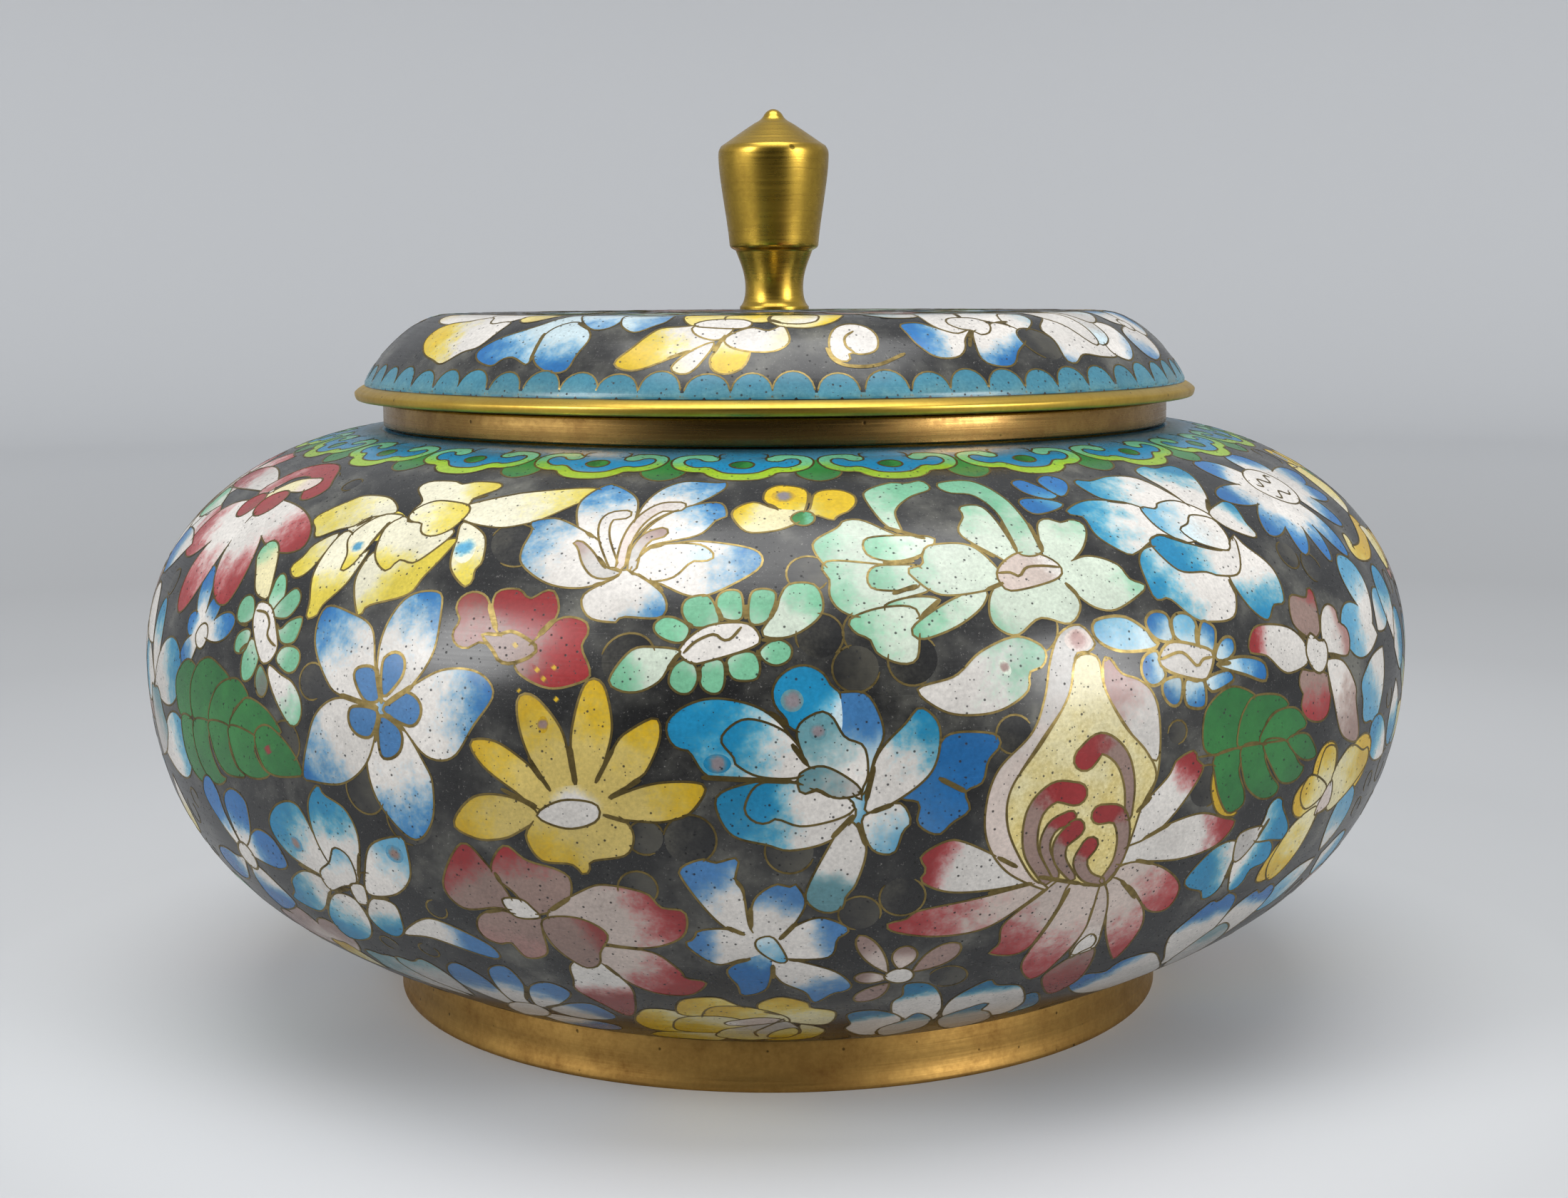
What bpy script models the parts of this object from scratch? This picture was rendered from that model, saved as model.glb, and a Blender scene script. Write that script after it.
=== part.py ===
"""A lidded jar in enamel on copper with turned brass mounts, built as six turned solids.

Units are metres, +Z is up, the jar's axis is the Z axis and the origin is at the centre
of the ring that it stands on. Heights are stacked from the bottom up, so that a change
of one size carries everything above it along.
"""

import math

import bmesh
import bpy
from mathutils import Vector
from mathutils.geometry import interpolate_bezier

# Facets around the axis
VESSEL_FACETS = 60
FINIAL_FACETS = 32

# Clearance left where two pieces touch
SEAT_GAP = 0.0003

# Profile points nearer than this count as one, and so do corners that meet at the seam
POINT_MERGE = 0.00003
SEAM_MERGE = 0.000003

# Edges that turn by more than this stay crisp
CRISP_ANGLE = math.radians(35.0)

# Foot ring, a strip of brass that flares slightly upwards
FOOT_RADIUS = 0.0509
FOOT_FLARE = 0.0006
FOOT_HEIGHT = 0.0061
FOOT_WIDTH = 0.0020

# Vessel, a spun copper bowl with a wide belly and a low shoulder
WALL = 0.0020
BELLY_RADIUS = 0.0825
BELLY_RISE = 0.0399
SHOULDER_RISE = 0.0284
UNDERSIDE_LEDGE = 0.0004
UNDERSIDE_ANGLE = math.radians(26.0)
HEEL_FULLNESS = 0.55
BELLY_FULLNESS = 0.62
UPPER_BELLY_FULLNESS = 0.76
SHOULDER_FULLNESS = 0.27

# Mouth ring, the brass collar that stands on the shoulder around the mouth
MOUTH_RADIUS = 0.0518
MOUTH_RING_WIDTH = 0.0022
MOUTH_RING_HEIGHT = 0.0032
MOUTH_RING_ROUNDING = 0.0005
ROUNDING_LIMIT = 1 / 3
MOUTH_SHELF = 0.0002

# Lid rim, a brass flange on the mouth ring with a bezel that drops inside it
LID_OVERHANG = 0.0023
RIM_LIP = 0.0013
RIM_HEIGHT = 0.0018
RIM_UNDERCUT = 0.0004
BEZEL_DEPTH = 0.0050
BEZEL_WIDTH = 0.0014
BEZEL_PLAY = 0.0005

# Lid, a shallow spun copper dome with an upright edge and a flat top
LID_WALL = 0.0018
LID_SKIRT = 0.0005
LID_RISE = 0.0083
LID_CROWN_WIDTH = 0.0106
LID_SIDE_ANGLE = math.radians(63.0)
LID_SIDE_FULLNESS = 0.60
LID_CROWN_FULLNESS = 0.33

# Finial, a turned brass knob with a waisted neck and a pointed crown
FINIAL_BASE_RADIUS = 0.0046
FINIAL_WAIST_RADIUS = 0.00385
FINIAL_WAIST_RISE = 0.0029
FINIAL_THROAT_RADIUS = 0.0051
FINIAL_THROAT_RISE = 0.0049
FINIAL_HEAD_FOOT_RADIUS = 0.0059
FINIAL_HEAD_FOOT_RISE = 0.0007
FINIAL_HEAD_RADIUS = 0.0073
FINIAL_HEAD_RISE = 0.0122
FINIAL_CROWN_RADIUS = 0.0058
FINIAL_CROWN_RISE = 0.0024
FINIAL_NIB_FOOT_RADIUS = 0.0021
FINIAL_CONE_RISE = 0.0019
FINIAL_NIB_RADIUS = 0.0006
FINIAL_NIB_RISE = 0.0012

# How far each curve of the finial keeps its first direction, as a share of its length
FINIAL_WAIST_EASE = 1 / 3
FINIAL_THROAT_START_EASE = 1 / 2
FINIAL_THROAT_END_EASE = 1 / 5
FINIAL_HEAD_EASE = 1 / 3
FINIAL_CROWN_START_EASE = 1 / 2
FINIAL_CROWN_END_EASE = 1 / 5
FINIAL_NIB_START_EASE = 1 / 4
FINIAL_NIB_END_EASE = 1 / 3

# Handle length that makes a quarter of a round, as a share of its radius
ROUND_FULLNESS = 0.55

# Points on each curved stretch of a profile
HEEL_POINTS = 10
SHOULDER_POINTS = 8
LID_POINTS = 7
FULL_CURVE = 5
SLIGHT_CURVE = 4
LIP_UNDERSIDE_POINTS = 3

# Levels above the floor that follow from the stack
VESSEL_BOTTOM = FOOT_HEIGHT + SEAT_GAP
BELLY_LEVEL = VESSEL_BOTTOM + BELLY_RISE
VESSEL_TOP = BELLY_LEVEL + SHOULDER_RISE
MOUTH_RING_BOTTOM = VESSEL_TOP + SEAT_GAP
MOUTH_RING_TOP = MOUTH_RING_BOTTOM + MOUTH_RING_HEIGHT
RIM_BOTTOM = MOUTH_RING_TOP + SEAT_GAP
RIM_TOP = RIM_BOTTOM + RIM_HEIGHT
LID_BOTTOM = RIM_TOP + SEAT_GAP
LID_TOP = LID_BOTTOM + LID_SKIRT + LID_RISE
FINIAL_BOTTOM = LID_TOP + SEAT_GAP

# Radii that follow from the fits
MOUTH_BORE = MOUTH_RADIUS - MOUTH_RING_WIDTH
LID_RADIUS = MOUTH_RADIUS + LID_OVERHANG
RIM_RADIUS = LID_RADIUS + RIM_LIP
BEZEL_RADIUS = MOUTH_BORE - BEZEL_PLAY
BEZEL_BORE = BEZEL_RADIUS - BEZEL_WIDTH


def srgb(red, green, blue):
    """Turn an 8-bit screen colour into the linear colour that a shader takes."""
    linear = []
    for channel in (red, green, blue):
        value = channel / 255
        if value <= 0.04045:
            linear.append(value / 12.92)
        else:
            linear.append(((value + 0.055) / 1.055) ** 2.4)
    return (*linear, 1.0)


def plain_material(name, colour, roughness, metallic):
    """Make a Principled material with one colour."""
    material = bpy.data.materials.new(name)
    material.use_nodes = True
    shader = material.node_tree.nodes["Principled BSDF"]
    shader.inputs["Base Color"].default_value = colour
    shader.inputs["Roughness"].default_value = roughness
    shader.inputs["Metallic"].default_value = metallic
    material.diffuse_color = colour
    return material


def point(radius, height):
    """Place a profile point on the +X side of the axis."""
    return Vector((radius, 0.0, height))


def heading(angle, length):
    """Give a step of some length whose direction rises from +X by an angle."""
    return Vector((length * math.cos(angle), 0.0, length * math.sin(angle)))


def curve(start, start_step, end, end_step, count):
    """Draw a smooth stretch of profile, each step being the handle at its end."""
    return interpolate_bezier(start, start + start_step, end + end_step, end, count)


def join_stretches(*stretches):
    """Chain stretches of profile, leaving out the points that they share."""
    chain = []
    for stretch in stretches:
        for spot in stretch:
            if not chain or (spot - chain[-1]).length > POINT_MERGE:
                chain.append(spot)
    return chain


def turned(name, profile, facets, material, closed):
    """Turn a profile round the Z axis. A closed profile makes a ring."""
    shape = bmesh.new()
    corners = [shape.verts.new(spot) for spot in profile]
    edges = [shape.edges.new(pair) for pair in zip(corners, corners[1:])]
    if closed:
        edges.append(shape.edges.new((corners[-1], corners[0])))
    bmesh.ops.spin(
        shape, geom=corners + edges, cent=(0, 0, 0), axis=(0, 0, 1),
        angle=math.tau, steps=facets, use_merge=True,
    )
    bmesh.ops.remove_doubles(shape, verts=shape.verts, dist=SEAM_MERGE)
    bmesh.ops.recalc_face_normals(shape, faces=shape.faces)
    mesh = bpy.data.meshes.new(name)
    shape.to_mesh(mesh)
    shape.free()
    mesh.shade_smooth()
    mesh.set_sharp_from_angle(angle=CRISP_ANGLE)
    mesh.materials.append(material)
    piece = bpy.data.objects.new(name, mesh)
    bpy.context.collection.objects.link(piece)
    return piece


def give_wall(piece, thickness):
    """Turn an open skin into a wall that grows inwards from it."""
    wall = piece.modifiers.new("wall", "SOLIDIFY")
    wall.thickness = thickness
    wall.offset = -1
    wall.use_even_offset = True
    wall.use_quality_normals = True


def foot_ring(material):
    """Make the strip that the jar stands on."""
    top_radius = FOOT_RADIUS + FOOT_FLARE
    profile = [
        point(FOOT_RADIUS - FOOT_WIDTH, 0),
        point(FOOT_RADIUS, 0),
        point(top_radius, FOOT_HEIGHT),
        point(top_radius - FOOT_WIDTH, FOOT_HEIGHT),
    ]
    return turned("foot_ring", profile, VESSEL_FACETS, material, closed=True)


def vessel(material):
    """Make the hollow bowl, from the centre of its underside up to its mouth."""
    underside_edge = point(FOOT_RADIUS + FOOT_FLARE + UNDERSIDE_LEDGE, VESSEL_BOTTOM)
    belly = point(BELLY_RADIUS, BELLY_LEVEL)
    shoulder_edge = point(MOUTH_RADIUS + MOUTH_SHELF, VESSEL_TOP)
    heel = curve(
        underside_edge,
        heading(UNDERSIDE_ANGLE, HEEL_FULLNESS * (belly.x - underside_edge.x)),
        belly, Vector((0, 0, -BELLY_FULLNESS * BELLY_RISE)), HEEL_POINTS,
    )
    shoulder = curve(
        belly, Vector((0, 0, UPPER_BELLY_FULLNESS * SHOULDER_RISE)),
        shoulder_edge,
        Vector((SHOULDER_FULLNESS * (belly.x - shoulder_edge.x), 0, 0)), SHOULDER_POINTS,
    )
    floor_centre = point(0, VESSEL_BOTTOM)
    mouth_edge = point(MOUTH_BORE, VESSEL_TOP)
    profile = join_stretches((floor_centre,), heel, shoulder, (mouth_edge,))
    piece = turned("vessel", profile, VESSEL_FACETS, material, closed=False)
    give_wall(piece, WALL)
    return piece


def mouth_ring(material):
    """Make the collar, with its top edges rounded over."""
    thickness = min(MOUTH_RING_WIDTH, MOUTH_RING_HEIGHT)
    rounding = min(MOUTH_RING_ROUNDING, ROUNDING_LIMIT * thickness)
    profile = [
        point(MOUTH_BORE, MOUTH_RING_BOTTOM),
        point(MOUTH_RADIUS, MOUTH_RING_BOTTOM),
        point(MOUTH_RADIUS, MOUTH_RING_TOP - rounding),
        point(MOUTH_RADIUS - rounding, MOUTH_RING_TOP),
        point(MOUTH_BORE + rounding, MOUTH_RING_TOP),
        point(MOUTH_BORE, MOUTH_RING_TOP - rounding),
    ]
    return turned("mouth_ring", profile, VESSEL_FACETS, material, closed=True)


def lid_rim(material):
    """Make the flange under the lid, with the bezel that centres it in the mouth."""
    widest = point(RIM_RADIUS, RIM_BOTTOM + RIM_HEIGHT / 2)
    upright = Vector((0, 0, ROUND_FULLNESS * RIM_HEIGHT / 2))
    lip = join_stretches(
        curve(point(RIM_RADIUS - RIM_UNDERCUT, RIM_BOTTOM),
              Vector((ROUND_FULLNESS * RIM_UNDERCUT, 0, 0)),
              widest, -upright, LIP_UNDERSIDE_POINTS),
        curve(widest, upright, point(LID_RADIUS, RIM_TOP),
              Vector((ROUND_FULLNESS * RIM_LIP, 0, 0)), SLIGHT_CURVE),
    )
    profile = [
        point(BEZEL_BORE, RIM_BOTTOM - BEZEL_DEPTH),
        point(BEZEL_RADIUS, RIM_BOTTOM - BEZEL_DEPTH),
        point(BEZEL_RADIUS, RIM_BOTTOM),
        *lip,
        point(BEZEL_BORE, RIM_TOP),
    ]
    return turned("lid_rim", profile, VESSEL_FACETS, material, closed=True)


def lid(material):
    """Make the hollow dome, from its lower edge to the centre of its flat top."""
    edge = point(LID_RADIUS, LID_BOTTOM)
    skirt_top = point(LID_RADIUS, LID_BOTTOM + LID_SKIRT)
    crown = point(LID_RADIUS - LID_CROWN_WIDTH, LID_TOP)
    side = curve(
        skirt_top, heading(math.pi - LID_SIDE_ANGLE, LID_SIDE_FULLNESS * LID_RISE),
        crown, Vector((LID_CROWN_FULLNESS * LID_CROWN_WIDTH, 0, 0)), LID_POINTS,
    )
    profile = join_stretches((edge,), side, (point(0, LID_TOP),))
    piece = turned("lid", profile, VESSEL_FACETS, material, closed=False)
    give_wall(piece, LID_WALL)
    return piece


def finial(material):
    """Make the knob: waisted neck, tapered head, shallow cone and nib."""
    base = point(FINIAL_BASE_RADIUS, FINIAL_BOTTOM)
    waist = point(FINIAL_WAIST_RADIUS, base.z + FINIAL_WAIST_RISE)
    throat = point(FINIAL_THROAT_RADIUS, waist.z + FINIAL_THROAT_RISE)
    head_foot = point(FINIAL_HEAD_FOOT_RADIUS, throat.z + FINIAL_HEAD_FOOT_RISE)
    head = point(FINIAL_HEAD_RADIUS, head_foot.z + FINIAL_HEAD_RISE)
    crown = point(FINIAL_CROWN_RADIUS, head.z + FINIAL_CROWN_RISE)
    nib_foot = point(FINIAL_NIB_FOOT_RADIUS, crown.z + FINIAL_CONE_RISE)
    nib = point(FINIAL_NIB_RADIUS, nib_foot.z + FINIAL_NIB_RISE)
    cone = nib_foot - crown
    upright = Vector((0, 0, 1))
    profile = join_stretches(
        (point(0, base.z), base),
        curve(base, upright * FINIAL_WAIST_EASE * FINIAL_WAIST_RISE,
              waist, -upright * FINIAL_WAIST_EASE * FINIAL_WAIST_RISE, SLIGHT_CURVE),
        curve(waist, upright * FINIAL_THROAT_START_EASE * FINIAL_THROAT_RISE,
              throat, -upright * FINIAL_THROAT_END_EASE * FINIAL_THROAT_RISE, FULL_CURVE),
        (head_foot,),
        curve(head_foot, FINIAL_HEAD_EASE * (head - head_foot),
              head, -upright * FINIAL_HEAD_EASE * FINIAL_HEAD_RISE, SLIGHT_CURVE),
        curve(head, upright * FINIAL_CROWN_START_EASE * FINIAL_CROWN_RISE,
              crown, -FINIAL_CROWN_END_EASE * cone, FULL_CURVE),
        curve(nib_foot, FINIAL_NIB_START_EASE * cone,
              nib, -upright * FINIAL_NIB_END_EASE * FINIAL_NIB_RISE, FULL_CURVE),
        (point(0, nib.z),),
    )
    return turned("finial", profile, FINIAL_FACETS, material, closed=False)


def clear_scene():
    """Remove every object that the file holds."""
    for item in list(bpy.data.objects):
        bpy.data.objects.remove(item, do_unlink=True)


def build():
    """Make the six pieces, each with its own material."""
    clear_scene()
    foot_ring(plain_material("foot_brass", srgb(140, 105, 50), 0.38, 1.0))
    vessel(plain_material("vessel_enamel", srgb(58, 60, 62), 0.22, 0.0))
    mouth_ring(plain_material("mouth_brass", srgb(170, 125, 80), 0.34, 1.0))
    lid_rim(plain_material("rim_brass", srgb(200, 165, 70), 0.28, 1.0))
    lid(plain_material("lid_enamel", srgb(62, 64, 66), 0.22, 0.0))
    finial(plain_material("finial_brass", srgb(190, 145, 50), 0.30, 1.0))


build()
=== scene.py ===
"""Dresses the lidded jar: enamel flowers, wires, turned brass and a plain studio.

The flowers are drawn on a wall unrolled flat. On a drawing board x runs to the right in
millimetres from the board's own view line, whose azimuth is in degrees from the front,
and y is the run down the wall's profile in millimetres. Enamel is laid as one closed
skin cut along every wire, and the wires are flat brass strips set into it.
"""

import math
import random
from dataclasses import dataclass

import bmesh
import bpy
import numpy as np
from mathutils import Matrix, Vector
from mathutils.geometry import delaunay_2d_cdt, interpolate_bezier


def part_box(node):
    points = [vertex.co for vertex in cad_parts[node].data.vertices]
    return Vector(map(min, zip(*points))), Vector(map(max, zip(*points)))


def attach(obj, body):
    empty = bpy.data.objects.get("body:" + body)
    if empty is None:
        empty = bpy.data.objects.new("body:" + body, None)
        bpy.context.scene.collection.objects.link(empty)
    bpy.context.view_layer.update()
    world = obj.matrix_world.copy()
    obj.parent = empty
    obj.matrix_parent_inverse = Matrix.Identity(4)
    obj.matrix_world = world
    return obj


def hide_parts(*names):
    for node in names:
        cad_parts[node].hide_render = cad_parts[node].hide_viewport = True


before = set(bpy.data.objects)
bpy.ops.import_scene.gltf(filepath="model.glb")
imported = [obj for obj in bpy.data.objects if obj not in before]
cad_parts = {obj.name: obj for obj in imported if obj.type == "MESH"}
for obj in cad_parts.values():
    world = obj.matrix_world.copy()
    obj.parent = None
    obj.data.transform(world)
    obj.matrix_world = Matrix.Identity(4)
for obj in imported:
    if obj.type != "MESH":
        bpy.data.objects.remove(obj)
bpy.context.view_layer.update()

MM = 0.001

# Camera, 50 mm lens on a 36 mm sensor, level with the lid and turned slightly down
LENS = 50.27
SENSOR = 36.0
CAMERA_PLACE = (0.00107, -0.2949, 0.09227)
CAMERA_PITCH = 0.1403
CAMERA_ROLL = -0.0055

# Profile shapes that the boxes of the frame don't give: lengths in millimetres, angles, and
# the fullness of each curve as a share of its width or height
BELLY_RISE = 39.9
UNDERSIDE_LEDGE = 0.4
UNDERSIDE_ANGLE = math.radians(26.0)
HEEL_FULLNESS = 0.55
BELLY_FULLNESS = 0.62
UPPER_BELLY_FULLNESS = 0.76
SHOULDER_FULLNESS = 0.27
MOUTH_SHELF = 0.2
MOUTH_RING_WIDTH = 2.2
VESSEL_WALL = 2.0
LID_WALL = 1.8
LID_SKIRT = 0.5
LID_CROWN_WIDTH = 10.6
LID_SIDE_ANGLE = math.radians(63.0)
LID_SIDE_FULLNESS = 0.60
LID_CROWN_FULLNESS = 0.33
LID_TOP_START = 3.0
RIM_LIP = 1.3
RIM_THICKNESS = 1.8
BEZEL_WIDTH = 1.4
BEZEL_PLAY = 0.5
FOOT_WIDTH = 2.0
FOOT_FLARE = 0.6
# Points along the stretches of the two profiles
SHOULDER_POINTS = 90
HEEL_POINTS = 120
LID_SIDE_POINTS = 60
LID_TOP_STEPS = 40

# How far the enamel lies inside the solid, and how far the wires stand out of it
SKIN_DROP = 0.035
WIRE_STAND = 0.022
WIRE_DEPTH = 0.20
WIRE_WIDTH = 0.24
WIRE_END_SHARE = 0.5
# Strips left free along the wall's two edges, by the cells and by the wires
EDGE_MARGIN = 0.08
WIRE_MARGIN = 0.25

# The radius at which the wall is laid flat, as a share of its largest
FLAT_SHARE = 0.93
# Steps along a cell's outline, in millimetres, and the least number of steps across a cell
SHORTEST_STEP = 0.32
LONGEST_STEP = 0.66
STEPS_ACROSS = 11

# Open curls of wire: their width, the gap to the enamel inside, the free ground that they need,
# their radii, and how many places are tried
CURL_WIDTH = 0.22
CURL_GAP = 0.1
CURL_CLEARANCE = 0.45
CURL_RADII = (1.3, 1.7, 2.1, 2.6)
VESSEL_CURL_TRIES = 2400
LID_CURL_TRIES = 1500
# What the random draws of each picture start from
VESSEL_SEED = 5
LID_SEED = 9

# Steps round the jar's wide pieces, and round the knob and the floor
ROUND_FACETS = 192
SMALL_FACETS = 96

# Screen colours of the enamels and metals
TONES = {
    "white": (231, 226, 219),
    "warm_white": (222, 206, 196),
    "grey_white": (196, 192, 186),
    "blue": (38, 112, 176),
    "deep_blue": (30, 88, 162),
    "sky": (92, 164, 200),
    "turquoise": (34, 134, 178),
    "pale_teal": (100, 148, 156),
    "mint": (122, 188, 150),
    "mint_white": (212, 224, 206),
    "sea": (104, 178, 140),
    "yellow": (212, 172, 34),
    "lemon": (226, 190, 28),
    "cream": (236, 226, 178),
    "ivory": (234, 229, 202),
    "sulphur": (220, 200, 74),
    "pale_yellow": (232, 214, 128),
    "red": (156, 46, 48),
    "brick": (146, 60, 56),
    "rose": (178, 134, 126),
    "mauve": (158, 132, 124),
    "leaf": (52, 128, 62),
    "deep_leaf": (38, 104, 52),
    "lime": (150, 186, 42),
    "ice": (206, 226, 232),
    "azure": (70, 126, 180),
    "deep_teal": (24, 112, 152),
    "spot": (142, 134, 138),
    "dusk": (154, 128, 118),
    "rose_white": (206, 190, 180),
    "straw": (218, 194, 112),
    "scallop": (66, 132, 154),
    "chipped": (126, 134, 128),
    "band": (56, 116, 142),
    "ground": (36, 36, 36),
    "curl_grey": (78, 76, 68),
    "ground_grey": (116, 115, 106),
    "black": (10, 10, 11),
    "wire_gold": (160, 140, 88),
    "wire_brown": (88, 76, 48),
    "rim_gold": (226, 190, 84),
    "rim_brown": (160, 120, 44),
    "collar_copper": (186, 150, 86),
    "collar_brown": (132, 96, 54),
    "foot_ochre": (190, 150, 82),
    "foot_brown": (134, 98, 50),
    "knob_gold": (208, 172, 70),
    "knob_brown": (140, 110, 46),
}


def linear(tone):
    """Turn a named screen colour into the linear colour that a shader takes."""
    values = []
    for channel in TONES[tone]:
        share = channel / 255
        values.append(share / 12.92 if share <= 0.04045 else ((share + 0.055) / 1.055) ** 2.4)
    return (*values, 1.0)


def bezier(start, start_step, end, end_step, count):
    """Sample a smooth stretch of profile between two (radius, level) places with handles."""
    a, b = Vector(start), Vector(end)
    spots = interpolate_bezier(a, a + Vector(start_step), b + Vector(end_step), b, count)
    return [(spot.x, spot.y) for spot in spots]


def vessel_profile():
    """Outer profile of the vessel from the collar down to the foot, in millimetres."""
    low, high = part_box("vessel")
    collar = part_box("mouth_ring")[1].x / MM
    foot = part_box("foot_ring")[1].x / MM
    bottom, top = low.z / MM, high.z / MM
    belly = (high.x / MM - SKIN_DROP, bottom + BELLY_RISE)
    edge = (collar + MOUTH_SHELF, top)
    under = (foot + UNDERSIDE_LEDGE, bottom)
    width = belly[0] - edge[0]
    reach = HEEL_FULLNESS * (belly[0] - under[0])
    shoulder = bezier(
        edge, (SHOULDER_FULLNESS * width, 0), belly, (0, UPPER_BELLY_FULLNESS * (top - belly[1])),
        SHOULDER_POINTS)
    heel = bezier(
        belly, (0, -BELLY_FULLNESS * BELLY_RISE), under,
        (reach * math.cos(UNDERSIDE_ANGLE), reach * math.sin(UNDERSIDE_ANGLE)), HEEL_POINTS)
    return shoulder + heel[1:]


def lid_profile():
    """Outer profile of the lid from a small radius on its flat top down to its lower edge."""
    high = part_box("lid")[1]
    radius, top = high.x / MM - SKIN_DROP, high.z / MM
    # The enamel comes right down to the flange
    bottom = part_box("lid_rim")[1].z / MM
    skirt = (radius, bottom + LID_SKIRT)
    crown = (radius - LID_CROWN_WIDTH, top - SKIN_DROP)
    rise = LID_SIDE_FULLNESS * (crown[1] - skirt[1])
    side = bezier(
        crown, (LID_CROWN_FULLNESS * LID_CROWN_WIDTH, 0), skirt,
        (-rise * math.cos(LID_SIDE_ANGLE), rise * math.sin(LID_SIDE_ANGLE)), LID_SIDE_POINTS)
    flat = []
    for step in range(LID_TOP_STEPS):
        flat.append((LID_TOP_START + (crown[0] - LID_TOP_START) * step / LID_TOP_STEPS, crown[1]))
    return flat + side + [(radius, bottom)]


class Wall:
    """A turned wall unrolled: an angle around it and a run down its profile."""

    def __init__(self, profile):
        self.radii, self.levels = np.array(profile, float).T
        steps = np.hypot(np.diff(self.radii), np.diff(self.levels))
        self.runs = np.concatenate(([0.0], np.cumsum(steps)))
        self.length = self.runs[-1]
        self.out_radial = -np.gradient(self.levels, self.runs)
        self.out_level = np.gradient(self.radii, self.runs)
        self.flat_radius = float(self.radii.max()) * FLAT_SHARE

    def radius(self, run):
        """The wall's radius at a run."""
        return np.interp(run, self.runs, self.radii)

    def run_at_radius(self, radius):
        """The run at which the wall reaches a radius, above its widest place."""
        widest = int(np.argmax(self.radii))
        return np.interp(radius, self.radii[:widest + 1], self.runs[:widest + 1])

    def normals(self, angle, run):
        """Ways out of the wall, of length 1."""
        radial = np.interp(run, self.runs, self.out_radial)
        level = np.interp(run, self.runs, self.out_level)
        length = np.hypot(radial, level)
        radial, level = radial / length, level / length
        return np.stack([radial * np.sin(angle), -radial * np.cos(angle), level], -1)

    def spots(self, angle, run, lift=0.0):
        """Places on the wall in metres, lifted off it by some millimetres."""
        radius = self.radius(run)
        level = np.interp(run, self.runs, self.levels)
        foot = np.stack([radius * np.sin(angle), -radius * np.cos(angle), level], -1)
        return (foot + self.normals(angle, run) * lift) * MM


def circle(count):
    """Places at even steps round a circle of radius 1."""
    turn = np.radians(np.linspace(0, 360, count + 1)[:-1])
    return np.stack([np.cos(turn), np.sin(turn)], -1)


def smooth_line(points, closed, samples=14):
    """Catmull-Rom curve through the points."""
    spots = np.array(points, float)
    if closed:
        spots = np.vstack([spots[-1], spots, spots[0], spots[1]])
    else:
        spots = np.vstack([2 * spots[0] - spots[1], spots, 2 * spots[-1] - spots[-2]])
    share = np.linspace(0, 1, samples, endpoint=False)[:, None]
    stretches = []
    for a, b, c, d in zip(spots, spots[1:], spots[2:], spots[3:]):
        stretches.append(0.5 * (
            2 * b + (c - a) * share + (2 * a - 5 * b + 4 * c - d) * share ** 2
            + (3 * b - 3 * c + d - a) * share ** 3))
    if not closed:
        stretches.append(spots[-2][None])
    return np.vstack(stretches)


def even_steps(points, step, closed):
    """Points at even steps along a line."""
    line = np.vstack([points, points[:1]]) if closed else points
    gone = np.concatenate(([0.0], np.cumsum(np.hypot(*np.diff(line, axis=0).T))))
    count = max(int(round(gone[-1] / step)), 6 if closed else 2)
    marks = np.linspace(0, gone[-1], count + 1)
    if closed:
        marks = marks[:-1]
    return np.stack([np.interp(marks, gone, line[:, k]) for k in (0, 1)], -1)


# Petal forms: narrowness at the base, sharpness of the tip, dent in the tip, ripple
FORMS = {
    "oval": (0.12, 0.0, 0.0, 0.0),
    "drop": (0.44, 0.10, 0.0, 0.0),
    "lens": (0.46, 0.34, 0.0, 0.0),
    "spear": (0.35, 0.42, 0.0, 0.0),
    "heart": (0.50, 0.0, 0.17, 0.0),
    "nib": (0.45, 0.0, -0.16, 0.0),
    "frill": (0.45, 0.0, 0.0, 0.085),
}


def petal_outline(base, tip, width, form, bend):
    """Closed outline of a petal. A positive bend bows it to the right of its way out."""
    neck, point, dent, ripple = FORMS[form]
    base, tip = np.array(base, float), np.array(tip, float)
    way = tip - base
    across = np.array([-way[1], way[0]])
    across /= np.hypot(*across)
    turn = np.linspace(-math.pi, math.pi, 73)[:-1]
    along = (1 + np.cos(turn)) / 2
    side = np.sin(turn) * along ** neck * (1 - along) ** point
    side *= 0.5 * width / side.max()
    wave = 1 + ripple * np.cos(6 * turn) * np.exp(-(turn / 1.5) ** 4)
    bow = bend * np.hypot(*way) * 4 * along * (1 - along)
    along = 0.5 + (along - 0.5) * wave - dent * np.exp(-(turn / 0.42) ** 2)
    side = side * wave
    return base + along[:, None] * way + (side + bow)[:, None] * across


def stroke_outline(points, start_width, end_width):
    """Closed outline of a band with round ends, whose width goes from one value to another."""
    spine = smooth_line(points, closed=False)
    way = np.gradient(spine, axis=0)
    way /= np.hypot(*way.T)[:, None]
    across = np.stack([-way[:, 1], way[:, 0]], -1)
    share = np.linspace(0, 1, len(spine))[:, None]
    half = 0.5 * (start_width + (end_width - start_width) * share)
    cap = np.linspace(0, math.pi, 9)[1:-1, None]
    head = spine[-1] + half[-1] * (np.cos(cap) * across[-1] + np.sin(cap) * way[-1])
    tail = spine[0] - half[0] * (np.cos(cap) * across[0] + np.sin(cap) * way[0])
    return np.vstack([spine + half * across, head, (spine - half * across)[::-1], tail]), spine


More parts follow.
